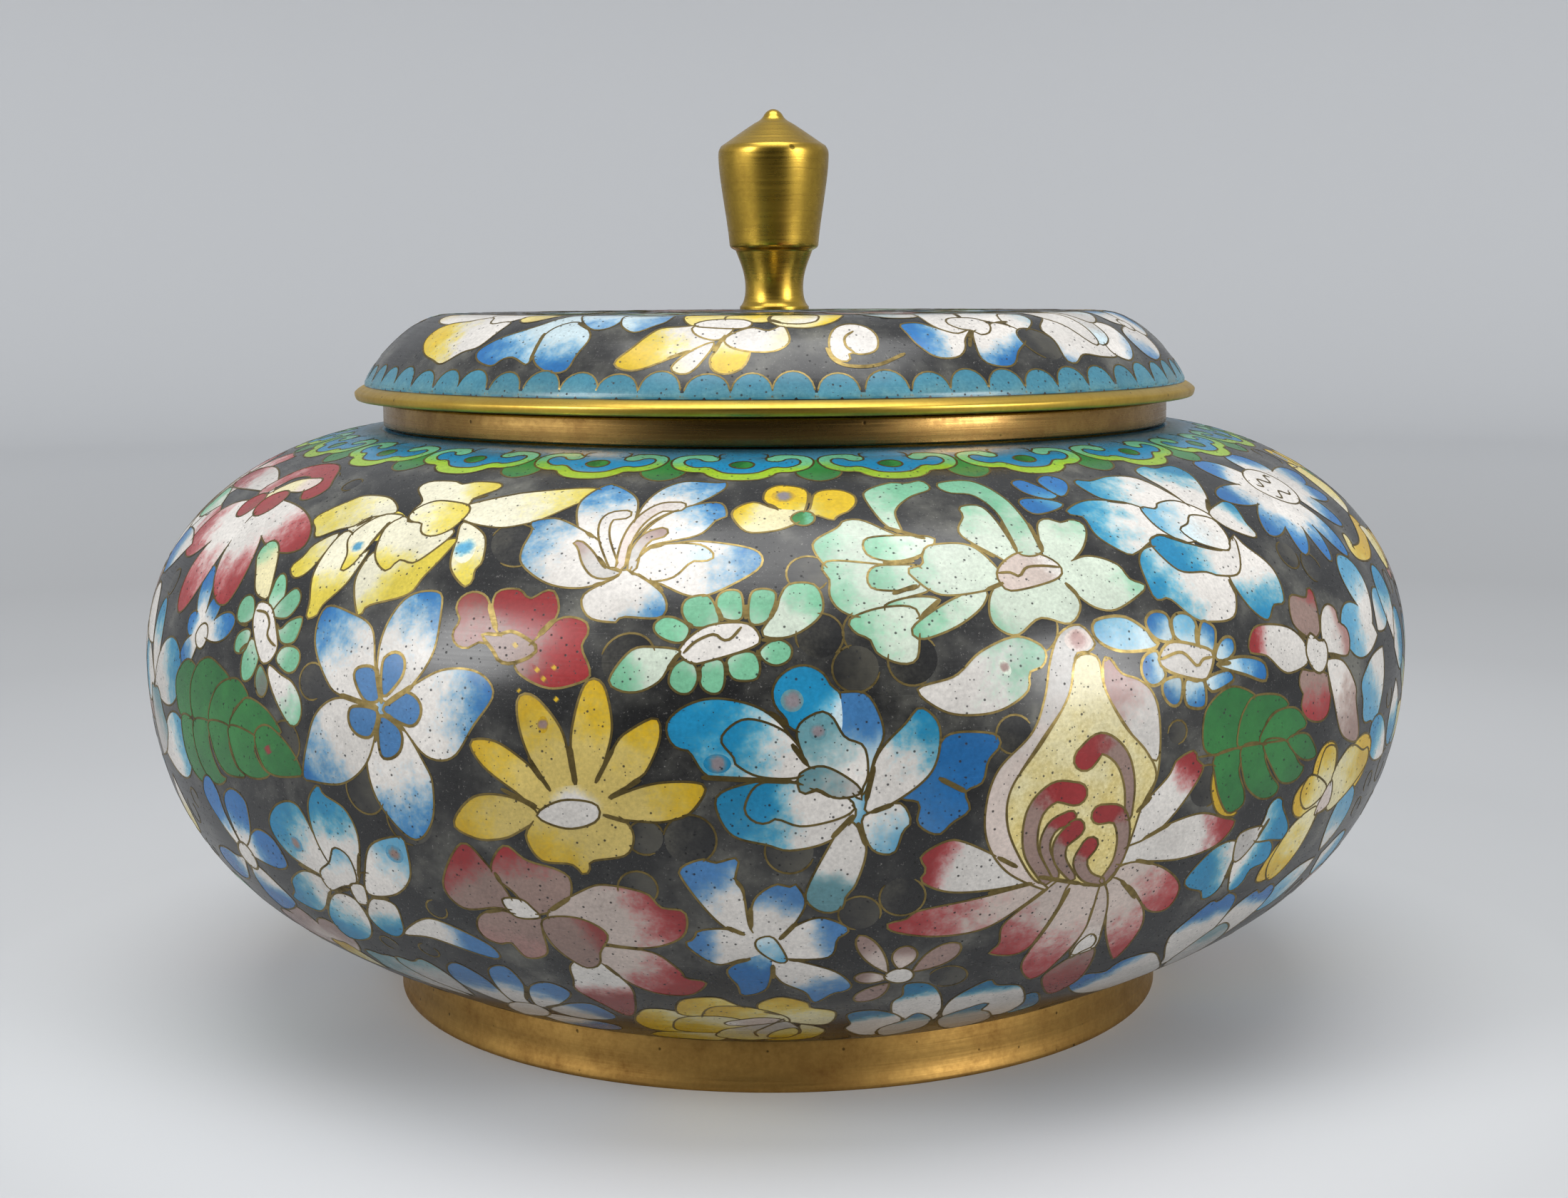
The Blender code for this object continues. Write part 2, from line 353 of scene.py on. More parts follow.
def inside(points, outline):
    """Tell which points lie inside a closed outline."""
    x, y = points[:, :1], points[:, 1:]
    ax, ay = outline.T
    bx, by = np.roll(outline, -1, axis=0).T
    crosses = (ay > y) != (by > y)
    with np.errstate(divide="ignore", invalid="ignore"):
        level = ax + (y - ay) * (bx - ax) / (by - ay)
    return (np.sum(crosses & (x < level), axis=1) % 2).astype(bool)


@dataclass
class Cell:
    """One closed patch of enamel."""
    outline: np.ndarray
    spine: np.ndarray
    tones: tuple
    ease: tuple
    bunch: int
    wire: float
    seed: float


@dataclass
class Wire:
    """A wire that isn't the outline of a cell. Cells laid after it hide it."""
    path: np.ndarray
    width: float
    order: int


class Picture:
    """Everything drawn on one wall, in the order in which it covers what is below."""

    def __init__(self, wall, seed):
        self.wall = wall
        self.cells = []
        self.wires = []
        self.shapes = []
        self.bounds = []
        self.bunches = 0
        self.turn = math.tau * wall.flat_radius
        self.chance = random.Random(seed)

    def flat(self, places):
        """Turn (angle, run) into flat millimetres."""
        return np.stack([places[:, 0] * self.wall.flat_radius, places[:, 1]], -1)

    def next_bunch(self):
        """A number for cells that run together, with no wire where they overlap."""
        self.bunches += 1
        return self.bunches

    def add(self, outline, spine, tones, ease, bunch, wire):
        """Keep a cell, with a second copy where it crosses the seam behind."""
        order = len(self.cells)
        shape = self.flat(outline)
        home = -self.turn * math.floor(shape[:, 0].mean() / self.turn + 0.5)
        moves = [home]
        if shape[:, 0].max() + home > self.turn / 2:
            moves.append(home - self.turn)
        if shape[:, 0].min() + home < -self.turn / 2:
            moves.append(home + self.turn)
        for move in moves:
            moved = shape + (move, 0)
            self.shapes.append((moved, order, bunch))
            self.bounds.append((*moved.min(0), *moved.max(0)))
        self.cells.append(Cell(outline, spine, tones, ease, bunch, wire, self.chance.random()))

    def hidden(self, path, order, bunch):
        """Tell which points of a path later cells, or cells of the same bunch, cover."""
        spots = self.flat(path)
        spots[:, 0] -= self.turn * np.floor(spots[:, 0] / self.turn + 0.5)
        low, high = spots.min(0), spots.max(0)
        bounds = np.array(self.bounds)
        near = np.all((bounds[:, :2] <= high) & (bounds[:, 2:] >= low), axis=1)
        covered = np.zeros(len(spots), bool)
        for index in np.nonzero(near)[0]:
            shape, above, family = self.shapes[index]
            same = bunch and family == bunch and above != order
            if above <= order and not same:
                continue
            left = np.all((spots >= bounds[index, :2]) & (spots <= bounds[index, 2:]), axis=1)
            left &= ~covered
            if left.any():
                covered[left] = inside(spots[left], shape)
        return covered


def visible_runs(path, covered, closed):
    """Split a path into its stretches that show, each reaching one point under the cover."""
    if not covered.any():
        return [(path, closed)]
    if closed:
        start = int(np.argmax(covered))
        path = np.roll(path, -start, axis=0)
        covered = np.roll(covered, -start)
        path = np.vstack([path, path[:1]])
        covered = np.append(covered, True)
    runs = []
    first = None
    for index, hide in enumerate(np.append(covered, True)):
        if not hide and first is None:
            first = index
        if hide and first is not None:
            if index - first > 1:
                runs.append((path[max(first - 1, 0):min(index + 1, len(path))], False))
            first = None
    return runs


class Board:
    """A place to draw on a picture, in millimetres around one view line."""

    def __init__(self, picture, view, shift=0.0, tones=None, down=0.0):
        self.picture = picture
        self.view = math.radians(view + shift)
        self.swap = tones or {}
        self.down = down

    def places(self, points):
        """Turn the board's millimetres into (angle, run)."""
        points = np.asarray(points, float).reshape(-1, 2) + (0, self.down)
        angle = self.view + points[:, 0] / self.picture.wall.radius(points[:, 1])
        return np.stack([angle, points[:, 1]], -1)

    def tone(self, names):
        """The tones that stand for these on this board."""
        return tuple(self.swap.get(name, name) for name in names)

    def lay(self, outline, spine, tones, ease=(0.30, 0.80), bunch=0, wire=WIRE_WIDTH):
        """Lay a cell of enamel with a wire around it."""
        outline = np.asarray(outline, float)
        span = np.hypot(*(outline.max(0) - outline.min(0)))
        step = min(LONGEST_STEP, max(SHORTEST_STEP, span / STEPS_ACROSS))
        outline = even_steps(outline, step, closed=True)
        self.picture.add(
            self.places(outline), self.places(spine), self.tone(tones), ease, bunch, wire)

    def petal(self, base, tip, width, tones, form="drop", bend=0.0, ease=(0.30, 0.80), bunch=0,
              wire=WIRE_WIDTH):
        """Lay a petal of one of the named forms."""
        outline = petal_outline(base, tip, width, form, bend)
        self.lay(outline, (base, tip), tones, ease, bunch, wire)

    def stroke(self, points, start_width, end_width, tones, ease=(0.55, 0.9), bunch=0,
               wire=WIRE_WIDTH):
        """Lay a band that curves through the points."""
        outline, spine = stroke_outline(points, start_width, end_width)
        self.lay(outline, even_steps(spine, 1.0, closed=False), tones, ease, bunch, wire)

    def shape(self, points, spine, tones, ease=(0.30, 0.80), bunch=0, wire=WIRE_WIDTH):
        """Lay a cell whose outline curves through the points."""
        self.lay(smooth_line(points, closed=True), spine, tones, ease, bunch, wire)

    def oval(self, centre, length, width, tilt, tones, bunch=0, wire=WIRE_WIDTH):
        """An oval whose long way is tilted clockwise by some degrees."""
        angle = math.radians(tilt)
        way = np.array([math.cos(angle), math.sin(angle)]) * length / 2
        centre = np.array(centre, float)
        self.petal(centre - way, centre + way, width, tones, "oval", bunch=bunch, wire=wire)

    def line(self, points, width=WIRE_WIDTH):
        """A free wire that curves through the points."""
        path = even_steps(smooth_line(points, closed=False), 0.45, closed=False)
        self.wire(path, width)

    def wire(self, path, width):
        """Set a free wire on what has been laid so far."""
        picture = self.picture
        picture.wires.append(Wire(self.places(path), width, len(picture.cells) - 1))

    def curl(self, centre, radius, start, sweep):
        """A loop of wire left open, with enamel inside that differs a little from the ground."""
        disc = circle(36) * (radius - CURL_GAP) + centre
        tones = (("ground", "curl_grey"), ("curl_grey", "ground"))[len(self.picture.cells) % 2]
        self.lay(disc, (disc[0], disc[18]), tones, (0.0, 1.4), wire=0)
        count = max(int(sweep * radius / 32), 9)
        turn = np.radians(start + np.linspace(0, sweep, count))
        self.wire(np.stack([np.cos(turn), np.sin(turn)], -1) * radius + centre, CURL_WIDTH)


def bloom(board, tones, rows, form="drop", open_heart=True, ease=(0.30, 0.80),
          width=WIRE_WIDTH):
    """Lay petals, each from its base to its tip. In an open flower they run together."""
    bunch = board.picture.next_bunch() if open_heart else 0
    for base_x, base_y, tip_x, tip_y, wide, *more in rows:
        kind, bend, colours = (*more, *(form, 0.0, tones)[len(more):])
        board.petal((base_x, base_y), (tip_x, tip_y), wide, colours, kind, bend, ease, bunch, width)


def daisy(board, tones, heart, tips, form="drop", **more):
    """Petals round a long heart, each from the nearest place on the heart's middle line."""
    start, end = np.array(heart, float)
    way = end - start
    rows = []
    for x, y, wide in tips:
        share = np.clip(np.dot((x, y) - start, way) / max(way @ way, 0.01), 0, 1)
        rows.append((*(start + way * share), x, y, wide))
    bloom(board, tones, rows, form, **more)


def squiggle(board, start, end, swings, reach):
    """A wavy wire between two places."""
    start, end = np.array(start, float), np.array(end, float)
    share = np.linspace(0, 1, swings * 10 + 1)[:, None]
    across = np.array([start[1] - end[1], end[0] - start[0]]) / np.hypot(*(end - start))
    board.wire(start + (end - start) * share + across * reach * np.sin(share * math.pi * swings), 0.3)


def leaflets(board, base, tip, width, count, tones):
    """A leaf of overlapping rounded lobes on both sides of a midrib."""
    base, tip = np.array(base, float), np.array(tip, float)
    way = tip - base
    across = np.array([-way[1], way[0]]) / np.hypot(*way)
    for step in range(count):
        share = step / count
        reach = width * 0.5 * (1 - 0.45 * share)
        foot = base + way * share * 0.92
        for hand in (-1, 1):
            centre = foot + way * (0.62 / count) + hand * across * reach * 0.52
            start = foot + way * (1.25 / count)
            edge = centre + (centre - start) * 0.98 + hand * across * reach * 0.25
            board.petal(start, edge, reach * 1.15, tones, "oval", ease=(0.2, 1.6))
    board.petal(base + way * 0.74, tip, width * 0.5, tones, "spear", ease=(0.2, 1.6))
    board.line([base, base + way * 0.5 + across * 0.2, base + way * 0.95])


def petals(board, heart, tones, outlines, ease=(0.4, 0.95), bunch=0, wire=WIRE_WIDTH):
    """Petals by their outlines, each shaded from its side nearest the heart to its far side."""
    for outline in outlines:
        line = smooth_line(outline, closed=True)
        away = np.hypot(*(line - heart).T)
        board.lay(line, (line[away.argmin()], line[away.argmax()]), tones, ease, bunch, wire)


def slits(board, width, pairs):
    """Thick wires with round ends that part two petals."""
    for start, end in pairs:
        board.line([start, np.add(start, end) / 2, end], width)


def stain(board, centre, length, width, tones, tilt=0.0, bunch=0):
    """A soft round spot in the enamel, with no wire round it."""
    angle = math.radians(tilt)
    spread = circle(16) * (length / 2, width / 2)
    turn = np.array([[math.cos(angle), math.sin(angle)], [-math.sin(angle), math.cos(angle)]])
    board.lay(spread @ turn + centre, (centre,), tones, (0.35, 1.0), bunch, wire=0)


# Colour families, from the heart of a petal to its tip
BLUE = ("white", "blue")
SKY = ("white", "sky")
MINT = ("mint_white", "mint")
YELLOW = ("cream", "yellow")
PALE_YELLOW = ("white", "pale_yellow")
RED = ("white", "red")
TEAL = ("white", "turquoise")
GREY_TEAL = ("grey_white", "pale_teal")
MAUVE = ("warm_white", "mauve")
WHITE = ("white", "white")
GREEN = ("leaf", "deep_leaf")


def blue_lily(sheet):
    """The lily with pale stamens, left of the middle on the shoulder."""
    board = sheet(-16)
    heart = (5, 26.5)
    petals(board, heart, BLUE, [
        [(5, 25), (1.6, 22.2), (-0.6, 20.8), (-1.8, 16.6), (-0.2, 13.1), (1.2, 13), (4.3, 15.7),
         (5.2, 20)],
        [(5.2, 24), (5.2, 20), (5.3, 17), (6, 14.4), (7.2, 12.6), (8.8, 11.8), (11.8, 12.1), (12.8, 12),
         (13, 13.6), (11.2, 16.2), (8.6, 18), (6.8, 20)],
        [(6.4, 24), (6.6, 21.4), (8, 18.8), (10.6, 16.7), (13.4, 16.3), (14.6, 18.6), (13.7, 19.3),
         (12.4, 21.6), (8, 23.1), (7.2, 24.5)],
        [(5.6, 26.4), (3, 23.5), (1.5, 22.1), (-2, 20), (-4, 19.4), (-6.3, 20.2), (-5.7, 21.4),
         (-6, 24.4), (-5.2, 26.4), (-1.6, 28.5), (2.6, 28.6)],
        [(9, 28), (8.4, 25), (10, 23), (13, 22.5), (18, 23.4), (19.7, 24.8), (19.2, 26.6), (15.4, 29.2),
         (13, 29.4), (9.8, 28)],
        [(6.1, 26.4), (10.4, 29.2), (10.8, 31.8), (6.8, 31.9), (6.2, 32.5), (3.2, 32), (2.2, 29.6),
         (5.2, 27.4)]], (0.48, 1.12))
    petals(board, heart, ("white", "ice"), [
        [(6.4, 26.6), (8.2, 23.3), (12.6, 22.9), (14.7, 24.4), (14, 25.2), (12.6, 25.3), (11.2, 27.2),
         (9, 27.8), (7.6, 27)]])
    petals(board, heart, ("grey_white", "mauve"), [
        [(5.6, 26.8), (4.2, 27.6), (2.6, 27.3), (1.2, 25.8), (0.2, 23.8), (-0.6, 22.9), (0.4, 22.8),
         (2, 24.2), (3.6, 26)]], (0.3, 1.0))
    for stamen, thick, tones in (
            ([(6.6, 26.2), (6.5, 24), (7.2, 22), (8.4, 21.3)], 1.6, ("grey_white", "mauve")),
            ([(5.3, 26), (5.2, 22.4), (5.8, 19.4), (7.3, 17.2),
              (9.1, 17)], 1.7, ("warm_white", "white")),
            ([(4.5, 25.8), (2.7, 22.4), (2.1, 20), (2.5, 18.8), (3.8, 18.5)], 1.5, ("white", "white"))):
        board.stroke(stamen, 1.0, thick, tones, (0.2, 1.2))
    slits(board, 0.5, [((2.6, 24.8), (3.9, 26.3)), ((5.7, 23), (5.9, 25.6)), ((7.7, 23.5), (9.2, 23)),
                       ((0.4, 21.4), (1.5, 22.2)), ((9.2, 27.9), (10.4, 29)), ((3, 28.4), (4.2, 28.1))])


def yellow_pansy(sheet):
    """The small yellow flower with three round lobes and a green eye."""
    board = sheet(-2)
    bunch = board.picture.next_bunch()
    petals(board, (5.4, 18.6), ("cream", "lemon"), [
        [(1.6, 16.2), (1.3, 14.8), (1.8, 13.4), (3.2, 12.7), (5.8, 13.9), (5.6, 18), (4.2, 18.6)],
        [(6.2, 17.4), (6.6, 14.6), (7.8, 13.8), (9.4, 13.9), (10.8, 15), (11, 16.6), (10.2, 18),
         (9.2, 18.6), (8.6, 19.4), (7, 18.6), (5.6, 18.4)]], (-0.1, 0.5), bunch)
    petals(board, (3.4, 20), ("cream", "lemon"), [
        [(2.6, 17.3), (0.2, 16.1), (-1.9, 18), (-0.6, 20.8), (1.2, 21.2), (4, 20.4), (6.4, 18)]],
        (0.55, 1.0), bunch)
    stain(board, (3.4, 15), 2.6, 2.3, ("spot", "yellow"), bunch=bunch)
    board.oval((5.5, 19), 2.5, 2.4, 0, ("leaf", "sea"))
    slits(board, 0.45, [((1.8, 16.4), (2.9, 17.4)), ((6.1, 16.4), (6.1, 14.4))])


def mint_bean_daisy(sheet):
    """The mint daisy with a bean-shaped heart, in the middle of the shoulder."""
    board = sheet(-2)
    petals(board, (-2.4, 34.4), MINT, [
        [(-6.2, 34.4), (-7.6, 34.4), (-9, 33.6), (-9.2, 32.6), (-8.2, 31.8), (-6.8, 32), (-5.6, 33)],
        [(-5.4, 32.8), (-6.4, 31.4), (-6.2, 30), (-5, 29.4), (-3.6, 29.6), (-2.6, 32.2), (-3.8, 32.8)],
        [(-2.3, 31.9), (-3, 30.4), (-2.7, 29.2), (-1.6, 28.7), (-0.5, 29.2), (-0.4, 31.9)],
        [(0.3, 32), (0.6, 28.9), (2.9, 29), (2.4, 31.8), (1.2, 32.6)],
        [(1.4, 35.4), (2.4, 34.4), (3.6, 34.2), (4.6, 35), (4.4, 36.2), (3.2, 36.8), (2, 36.4)],
        [(-1.8, 36.2), (-0.2, 35.4), (1, 35.6), (1.5, 37), (1, 38.2), (-1.2, 38.1)],
        [(-4.4, 37), (-3.4, 36.2), (-2.2, 36.4), (-2, 38.2), (-2.4, 39.4), (-3.4, 39.6), (-4.4, 38.8)],
        [(-7.2, 37), (-6, 36.2), (-5, 36.8), (-4.7, 38.2), (-5.4, 39.5), (-6.6, 39.6), (-7.6, 38.6)]],
        (-0.3, 0.5))
    petals(board, (-2.4, 34.4), MINT, [
        [(3, 31), (3.4, 29.4), (4.4, 28), (7, 28.3), (7.6, 31.4), (4.6, 33.8), (1.6, 33.6)],
        [(-6.4, 35.4), (-9, 35), (-11.5, 35.4), (-13.7, 38.4), (-12.5, 39.5), (-10.5, 39.5),
         (-8.5, 38.4), (-7.5, 36.8)]], (0.45, 0.9))
    petals(board, (-2.4, 34.4), WHITE, [
        [(-6.6, 35.2), (-4, 32.8), (0, 32.4), (1.5, 34), (0.6, 35), (-3.4, 36.3), (-5.4, 36.6)]])
    board.line([(-6.2, 35.6), (-5, 34.4), (-3.2, 33.6), (-2.2, 34.2), (-1.4, 34), (-0.4, 32.8)], 0.3)
    slits(board, 0.5, [((-3, 30.6), (-2.3, 32.2)), ((0, 30.4), (0, 32)), ((3.2, 30), (2.4, 32)),
                       ((-5.8, 32.4), (-5.2, 33)), ((1.6, 34.2), (3.4, 34.1)),
                       ((1.2, 35.2), (1.5, 36.4)), ((-1.9, 36.4), (-1.8, 37.8)),
                       ((-4.6, 36.9), (-4.5, 38.4)), ((-6.6, 35.6), (-7.8, 37.4))])


def blue_peony(sheet):
    """The layered turquoise peony in the middle of the belly."""
    board = sheet(4)
    heart = (2.4, 51.6)
    board.oval(heart, 4.4, 5, 0, ("ice", "sky"), wire=0)
    petals(board, heart, TEAL, [
        [(-2.5, 47), (-4.4, 43.4), (-6.5, 41.4), (-9, 40.4), (-12, 40.1), (-14.6, 40.9), (-16.3, 42.4),
         (-16.3, 44), (-15.4, 45.1), (-14.2, 45.4), (-12.9, 47.4), (-11.5, 48.1), (-8, 48.3),
         (-4, 48.4)]], (0.1, 0.85))
    stain(board, (-11.4, 46.6), 2.8, 2.0, ("spot", "turquoise"))
    petals(board, heart, TEAL, [
        [(2.4, 51.4), (0, 54.6), (-4, 55.7), (-6.4, 55.1), (-10, 54), (-11.6, 51), (-10.8, 49.4),
         (-7, 48.3), (-4, 48.4), (-2, 49.2)],
        [(-2.4, 46.6), (-4.6, 43.4), (-8.5, 42.1), (-11, 44), (-9.8, 45.9), (-9.5, 46.7), (-7.2, 47.9),
         (-3.4, 48)]],
        (0.24, 0.9))
    petals(board, heart, ("azure", "blue"), [
        [(6.8, 50.4), (8.8, 49), (10.2, 47.4), (11.6, 44.2), (16.2, 44.2), (17.3, 45.4), (16, 47),
         (15.4, 49.2), (13.6, 50.1), (14.1, 52), (12.3, 53.3), (10.8, 54.5), (8.7, 53.2), (8.8, 51)]],
        (-0.1, 0.6))
    top = board.picture.next_bunch()
    petals(board, (2, 48), ("ice", "azure"), [
        [(3, 50), (1, 46), (-0.4, 42), (-0.4, 40), (2.4, 39.5), (4, 40.3), (5.2, 43.6), (4.2, 46.3)]],
        (0.1, 0.7), top)
    petals(board, (0, 42.4), ("ice", "turquoise"), [
        [(0.6, 44), (-3.8, 43.2), (-4.6, 42), (-5.6, 40.8), (-5.8, 39.2), (-5, 37.8), (-3.5, 36.9),
         (-2, 36.9), (-0.7, 37.7), (0.1, 39), (0.9, 39.8)]], (0.1, 0.45), top)
    stain(board, (-3.9, 40.3), 2.3, 2.3, ("spot", "pale_teal"), bunch=top)
    petals(board, heart, ("white", "pale_teal"), [
        [(-3.5, 43.2), (-1.4, 41.5), (0, 41.9), (1.3, 44), (3.2, 45), (3.6, 47.8), (3, 49.4),
         (2.8, 50.5), (1, 48.5), (-1, 47.2), (-2.4, 46.8)]], (0.25, 0.9))
    stain(board, (-1.4, 43.4), 1.8, 1.8, ("spot", "pale_teal"))
    petals(board, heart, TEAL, [
        [(3.4, 50.8), (4.5, 46), (7.4, 42.8), (9, 41.3), (10.9, 43.4), (10.2, 47.6), (6.8, 50.5),
         (3.6, 51.8)]], (0.45, 1.05))
    petals(board, heart, ("white", "sky"), [
        [(3.8, 51.8), (6.8, 50.9), (8, 52.9), (7.2, 54), (6.3, 56.3), (4.1, 55.8), (3, 52.8)]],
        (0.0, 1.2))
    petals(board, heart, ("white", "pale_teal"), [
        [(1.6, 52.6), (3.5, 55.4), (2.6, 59.6), (1.6, 61.2), (1.3, 62.6), (-0.2, 63.2), (-1.8, 62.4),
         (-2.5, 60.6), (-0.7, 56.2)]], (0.5, 0.72))
    petals(board, heart, TEAL, [
        [(2.3, 51.3), (0.6, 52.4), (-3, 53.1), (-5.5, 52.3), (-6.6, 52.8), (-8, 52.4), (-8.7, 51),
         (-7.2, 48.6), (-3.4, 48.6), (-3.2, 49.4), (-2.4, 49.7), (-1.5, 49.3), (-0.4, 50),
         (1.4, 50.1)]], (0.45, 0.85))
    petals(board, heart, ("grey_white", "pale_teal"), [
        [(-3.2, 47.6), (-0.8, 46.9), (2.2, 48.6), (2.8, 49.8), (0.4, 50.2), (-1.5, 49.2), (-2.5, 49.7),
         (-3.3, 49.3)]], (0.0, 1.2))
    slits(board, 0.55, [
        ((-13, 48), (-4, 48.4)), ((-6.2, 41.4), (-4.3, 42.8)), ((-4, 44.6), (-2.4, 46.8)),
        ((2.2, 52), (0, 54.4)), ((2.6, 52.8), (3.5, 55.4)), ((3.9, 51.8), (6.2, 51)),
        ((10.8, 48.5), (13.7, 50.1)), ((4.2, 47), (3.4, 50.6))])


def yellow_daisy(sheet):
    """The yellow daisy with a white lens in its heart, left of the middle."""
    board = sheet(-20)
    bunch = board.picture.next_bunch()
    petals(board, (8.4, 52), ("straw", "yellow"), [
        [(12.2, 50.5), (17, 48.7), (21.8, 48.8), (20.5, 51.5), (18.5, 52.5), (16, 52.8), (11, 52.2)],
        [(10.8, 49), (12.8, 45), (14, 43.6), (16.9, 42.1), (17.4, 44.2), (16, 47.5), (14.6, 48.6),
         (11.4, 51)],
        [(8.6, 50), (8.3, 47), (8.3, 43.5), (9.5, 38.8), (11.4, 39), (12.5, 43.2), (11.5, 47.4),
         (10.6, 50)],
        [(5.9, 50), (3.2, 45.4), (2.3, 40.9), (4.2, 40.4), (7.2, 43.6), (8.2, 47.8), (8.6, 50)],
        [(4.6, 52), (2, 50.3), (-1.6, 47.8), (-2.9, 45.4), (0, 45.2), (3.4, 47.2), (4.8, 48.8),
         (6.6, 50.6)],
        [(4.4, 52.6), (1.4, 50.9), (-2.8, 51.2), (-5.5, 54.4), (-3, 55.8), (-0.6, 55.7), (1.6, 54.9)],
        [(3.4, 53.8), (2.8, 55.4), (4.2, 57.7), (7.4, 57.9), (8.5, 59), (9.3, 58.5), (9.7, 57.4),
         (13.5, 56.4), (14.2, 53.6), (11.4, 51.6), (6, 51.6)]], (0.35, 1.05), bunch)
    board.lay(smooth_line([(4.4, 52.4), (5.6, 50), (8.6, 49.2), (11, 49.2), (12.4, 50.8),
                           (11.6, 52.6)], True),
              ((8.4, 52),), ("white", "straw"), (0.5, 1.1), bunch, wire=0)
    stain(board, (5.2, 43.2), 1.2, 1.8, ("mauve", "yellow"), bunch=bunch)
    petals(board, (8.4, 52), WHITE, [
        [(4.2, 52.7), (7, 50.9), (10.6, 51.1), (10.6, 52.9), (7.4, 53.9)]])
    slits(board, 0.45, [
        ((5.9, 50), (3.6, 46.6)), ((10.7, 48.9), (12.7, 45.2)), ((12, 50.4), (15.4, 48.4)),
        ((4.3, 51.7), (0.4, 50.1)), ((11.3, 52.2), (14, 52.9))])
    slits(board, 0.6, [((8.6, 49.2), (8.1, 45.2))])


def red_trefoil(sheet):
    """The small red flower with three lobes and a beige leaf across it."""
    board = sheet(-16)
    petals(board, (-3, 35), ("dusk", "brick"), [
        [(-6.6, 33.9), (-8, 30.8), (-9, 29.9), (-10.4, 29.8), (-11.5, 30.6), (-11.7, 31.8), (-11, 33),
         (-11.6, 34.4), (-11, 35.6), (-9.6, 35.9), (-8.2, 35.2), (-6.2, 35.6)]], (-0.1, 1.3))
    petals(board, (-4, 35), ("dusk", "red"), [
        [(-6.8, 33.6), (-7.6, 30.6), (-7, 29.4), (-4.9, 29.2), (-3.5, 30.2), (-1.9, 29.2), (-0.8, 29.5),
         (-0.1, 31.8), (-1.8, 34.6), (-4, 35.4)],
        [(-1.8, 34.3), (0.4, 32.2), (2.8, 32.4), (3.5, 33.6), (3, 35.2), (4.1, 37.4), (3.7, 38.6),
         (-0.2, 39.5), (-4, 37.5)]], (0.0, 0.45))
    petals(board, (-8, 34.4), ("mauve", "dusk"), [
        [(-8.1, 34.4), (-6.2, 34.3), (-4.6, 33.9), (-1.9, 35.3), (-2.4, 36.4), (-4.4, 37.2), (-5.8, 37),
         (-6.6, 36)]], (0.0, 1.4), wire=0.38)
    slits(board, 0.65, [((-7.9, 31), (-6.6, 33.8)), ((-0.3, 32.4), (-1.8, 34.2))])
    for x, y, under in ((-4.2, 35.3, "dusk"), (-1.5, 37.7, "brick"), (0.3, 37.4, "brick"),
                        (-0.7, 38.6, "brick"), (-3.3, 39.9, "ground"), (0.8, 40.6, "ground")):
        stain(board, (x, y), 1.5, 0.5, ("yellow", under), 40)


def white_blue_pinwheel(sheet):
    """The flower of five large white petals with blue tips and five small blue ones inside."""
    board = sheet(-40)
    heart = (14.5, 42.8)
    board.oval(heart, 5, 5, 0, ("ice", "azure"), wire=0)
    petals(board, heart, BLUE, [
        [(13.2, 38.2), (11.6, 34.6), (8, 33.2), (4, 32.9), (4, 36.8), (7, 40.9), (8.9, 42),
         (11.6, 42.3), (14.2, 42.8)],
        [(14.8, 42), (13.3, 36), (14.6, 31), (18.2, 30), (19.6, 32), (20.3, 36.6), (18.2, 40.4)],
        [(15.2, 42.6), (18.2, 40.4), (22, 38.3), (26, 38.3), (28.2, 40.4), (26.2, 43.8), (23.8, 47.2),
         (20.6, 47.4), (17.6, 44.6)],
        [(14.7, 43.6), (17.8, 44.8), (20.4, 48.4), (21.1, 50.4), (20.6, 54), (18.5, 56.6), (16.4, 56.2),
         (13.6, 52.8), (12.7, 49), (13.6, 47.2)],
        [(14.2, 43.1), (9, 42.3), (5.6, 44.2), (3.8, 48), (2.8, 51.5), (4, 51.9), (8.8, 51.6),
         (12.4, 49.2), (14.1, 45.6)]], (0.42, 1.08))
    petals(board, heart, ("azure", "azure"), [
        [(14.2, 42.2), (12.4, 42.2), (10.7, 40), (11.1, 38.9), (13.2, 38.8), (14.4, 41)],
        [(14.9, 41.6), (14.2, 38.2), (14.8, 37.2), (15.8, 36.9), (16.8, 37.4), (17.2, 38.6),
         (16.7, 40)],
        [(15, 43), (17, 41.1), (18.4, 41), (19.6, 41.8), (19.9, 43), (19.2, 44.2), (17.8, 44.3)],
        [(14.6, 43.8), (16.8, 44.4), (17.6, 45.6), (17.2, 47.2), (15.8, 48.1), (14.6, 47.6)],
        [(14.2, 43.2), (11, 43), (10.3, 44), (10.7, 45.3), (12, 46.1), (13.6, 45.8)]], wire=0.34)
    slits(board, 0.6, [
        ((13.5, 38.6), (14.8, 42.4)), ((9, 42), (14.4, 42.9)), ((18.6, 40.2), (15.2, 42.5)),
        ((14, 46.4), (14.6, 43.6)), ((17.9, 44.9), (15.4, 43.4))])


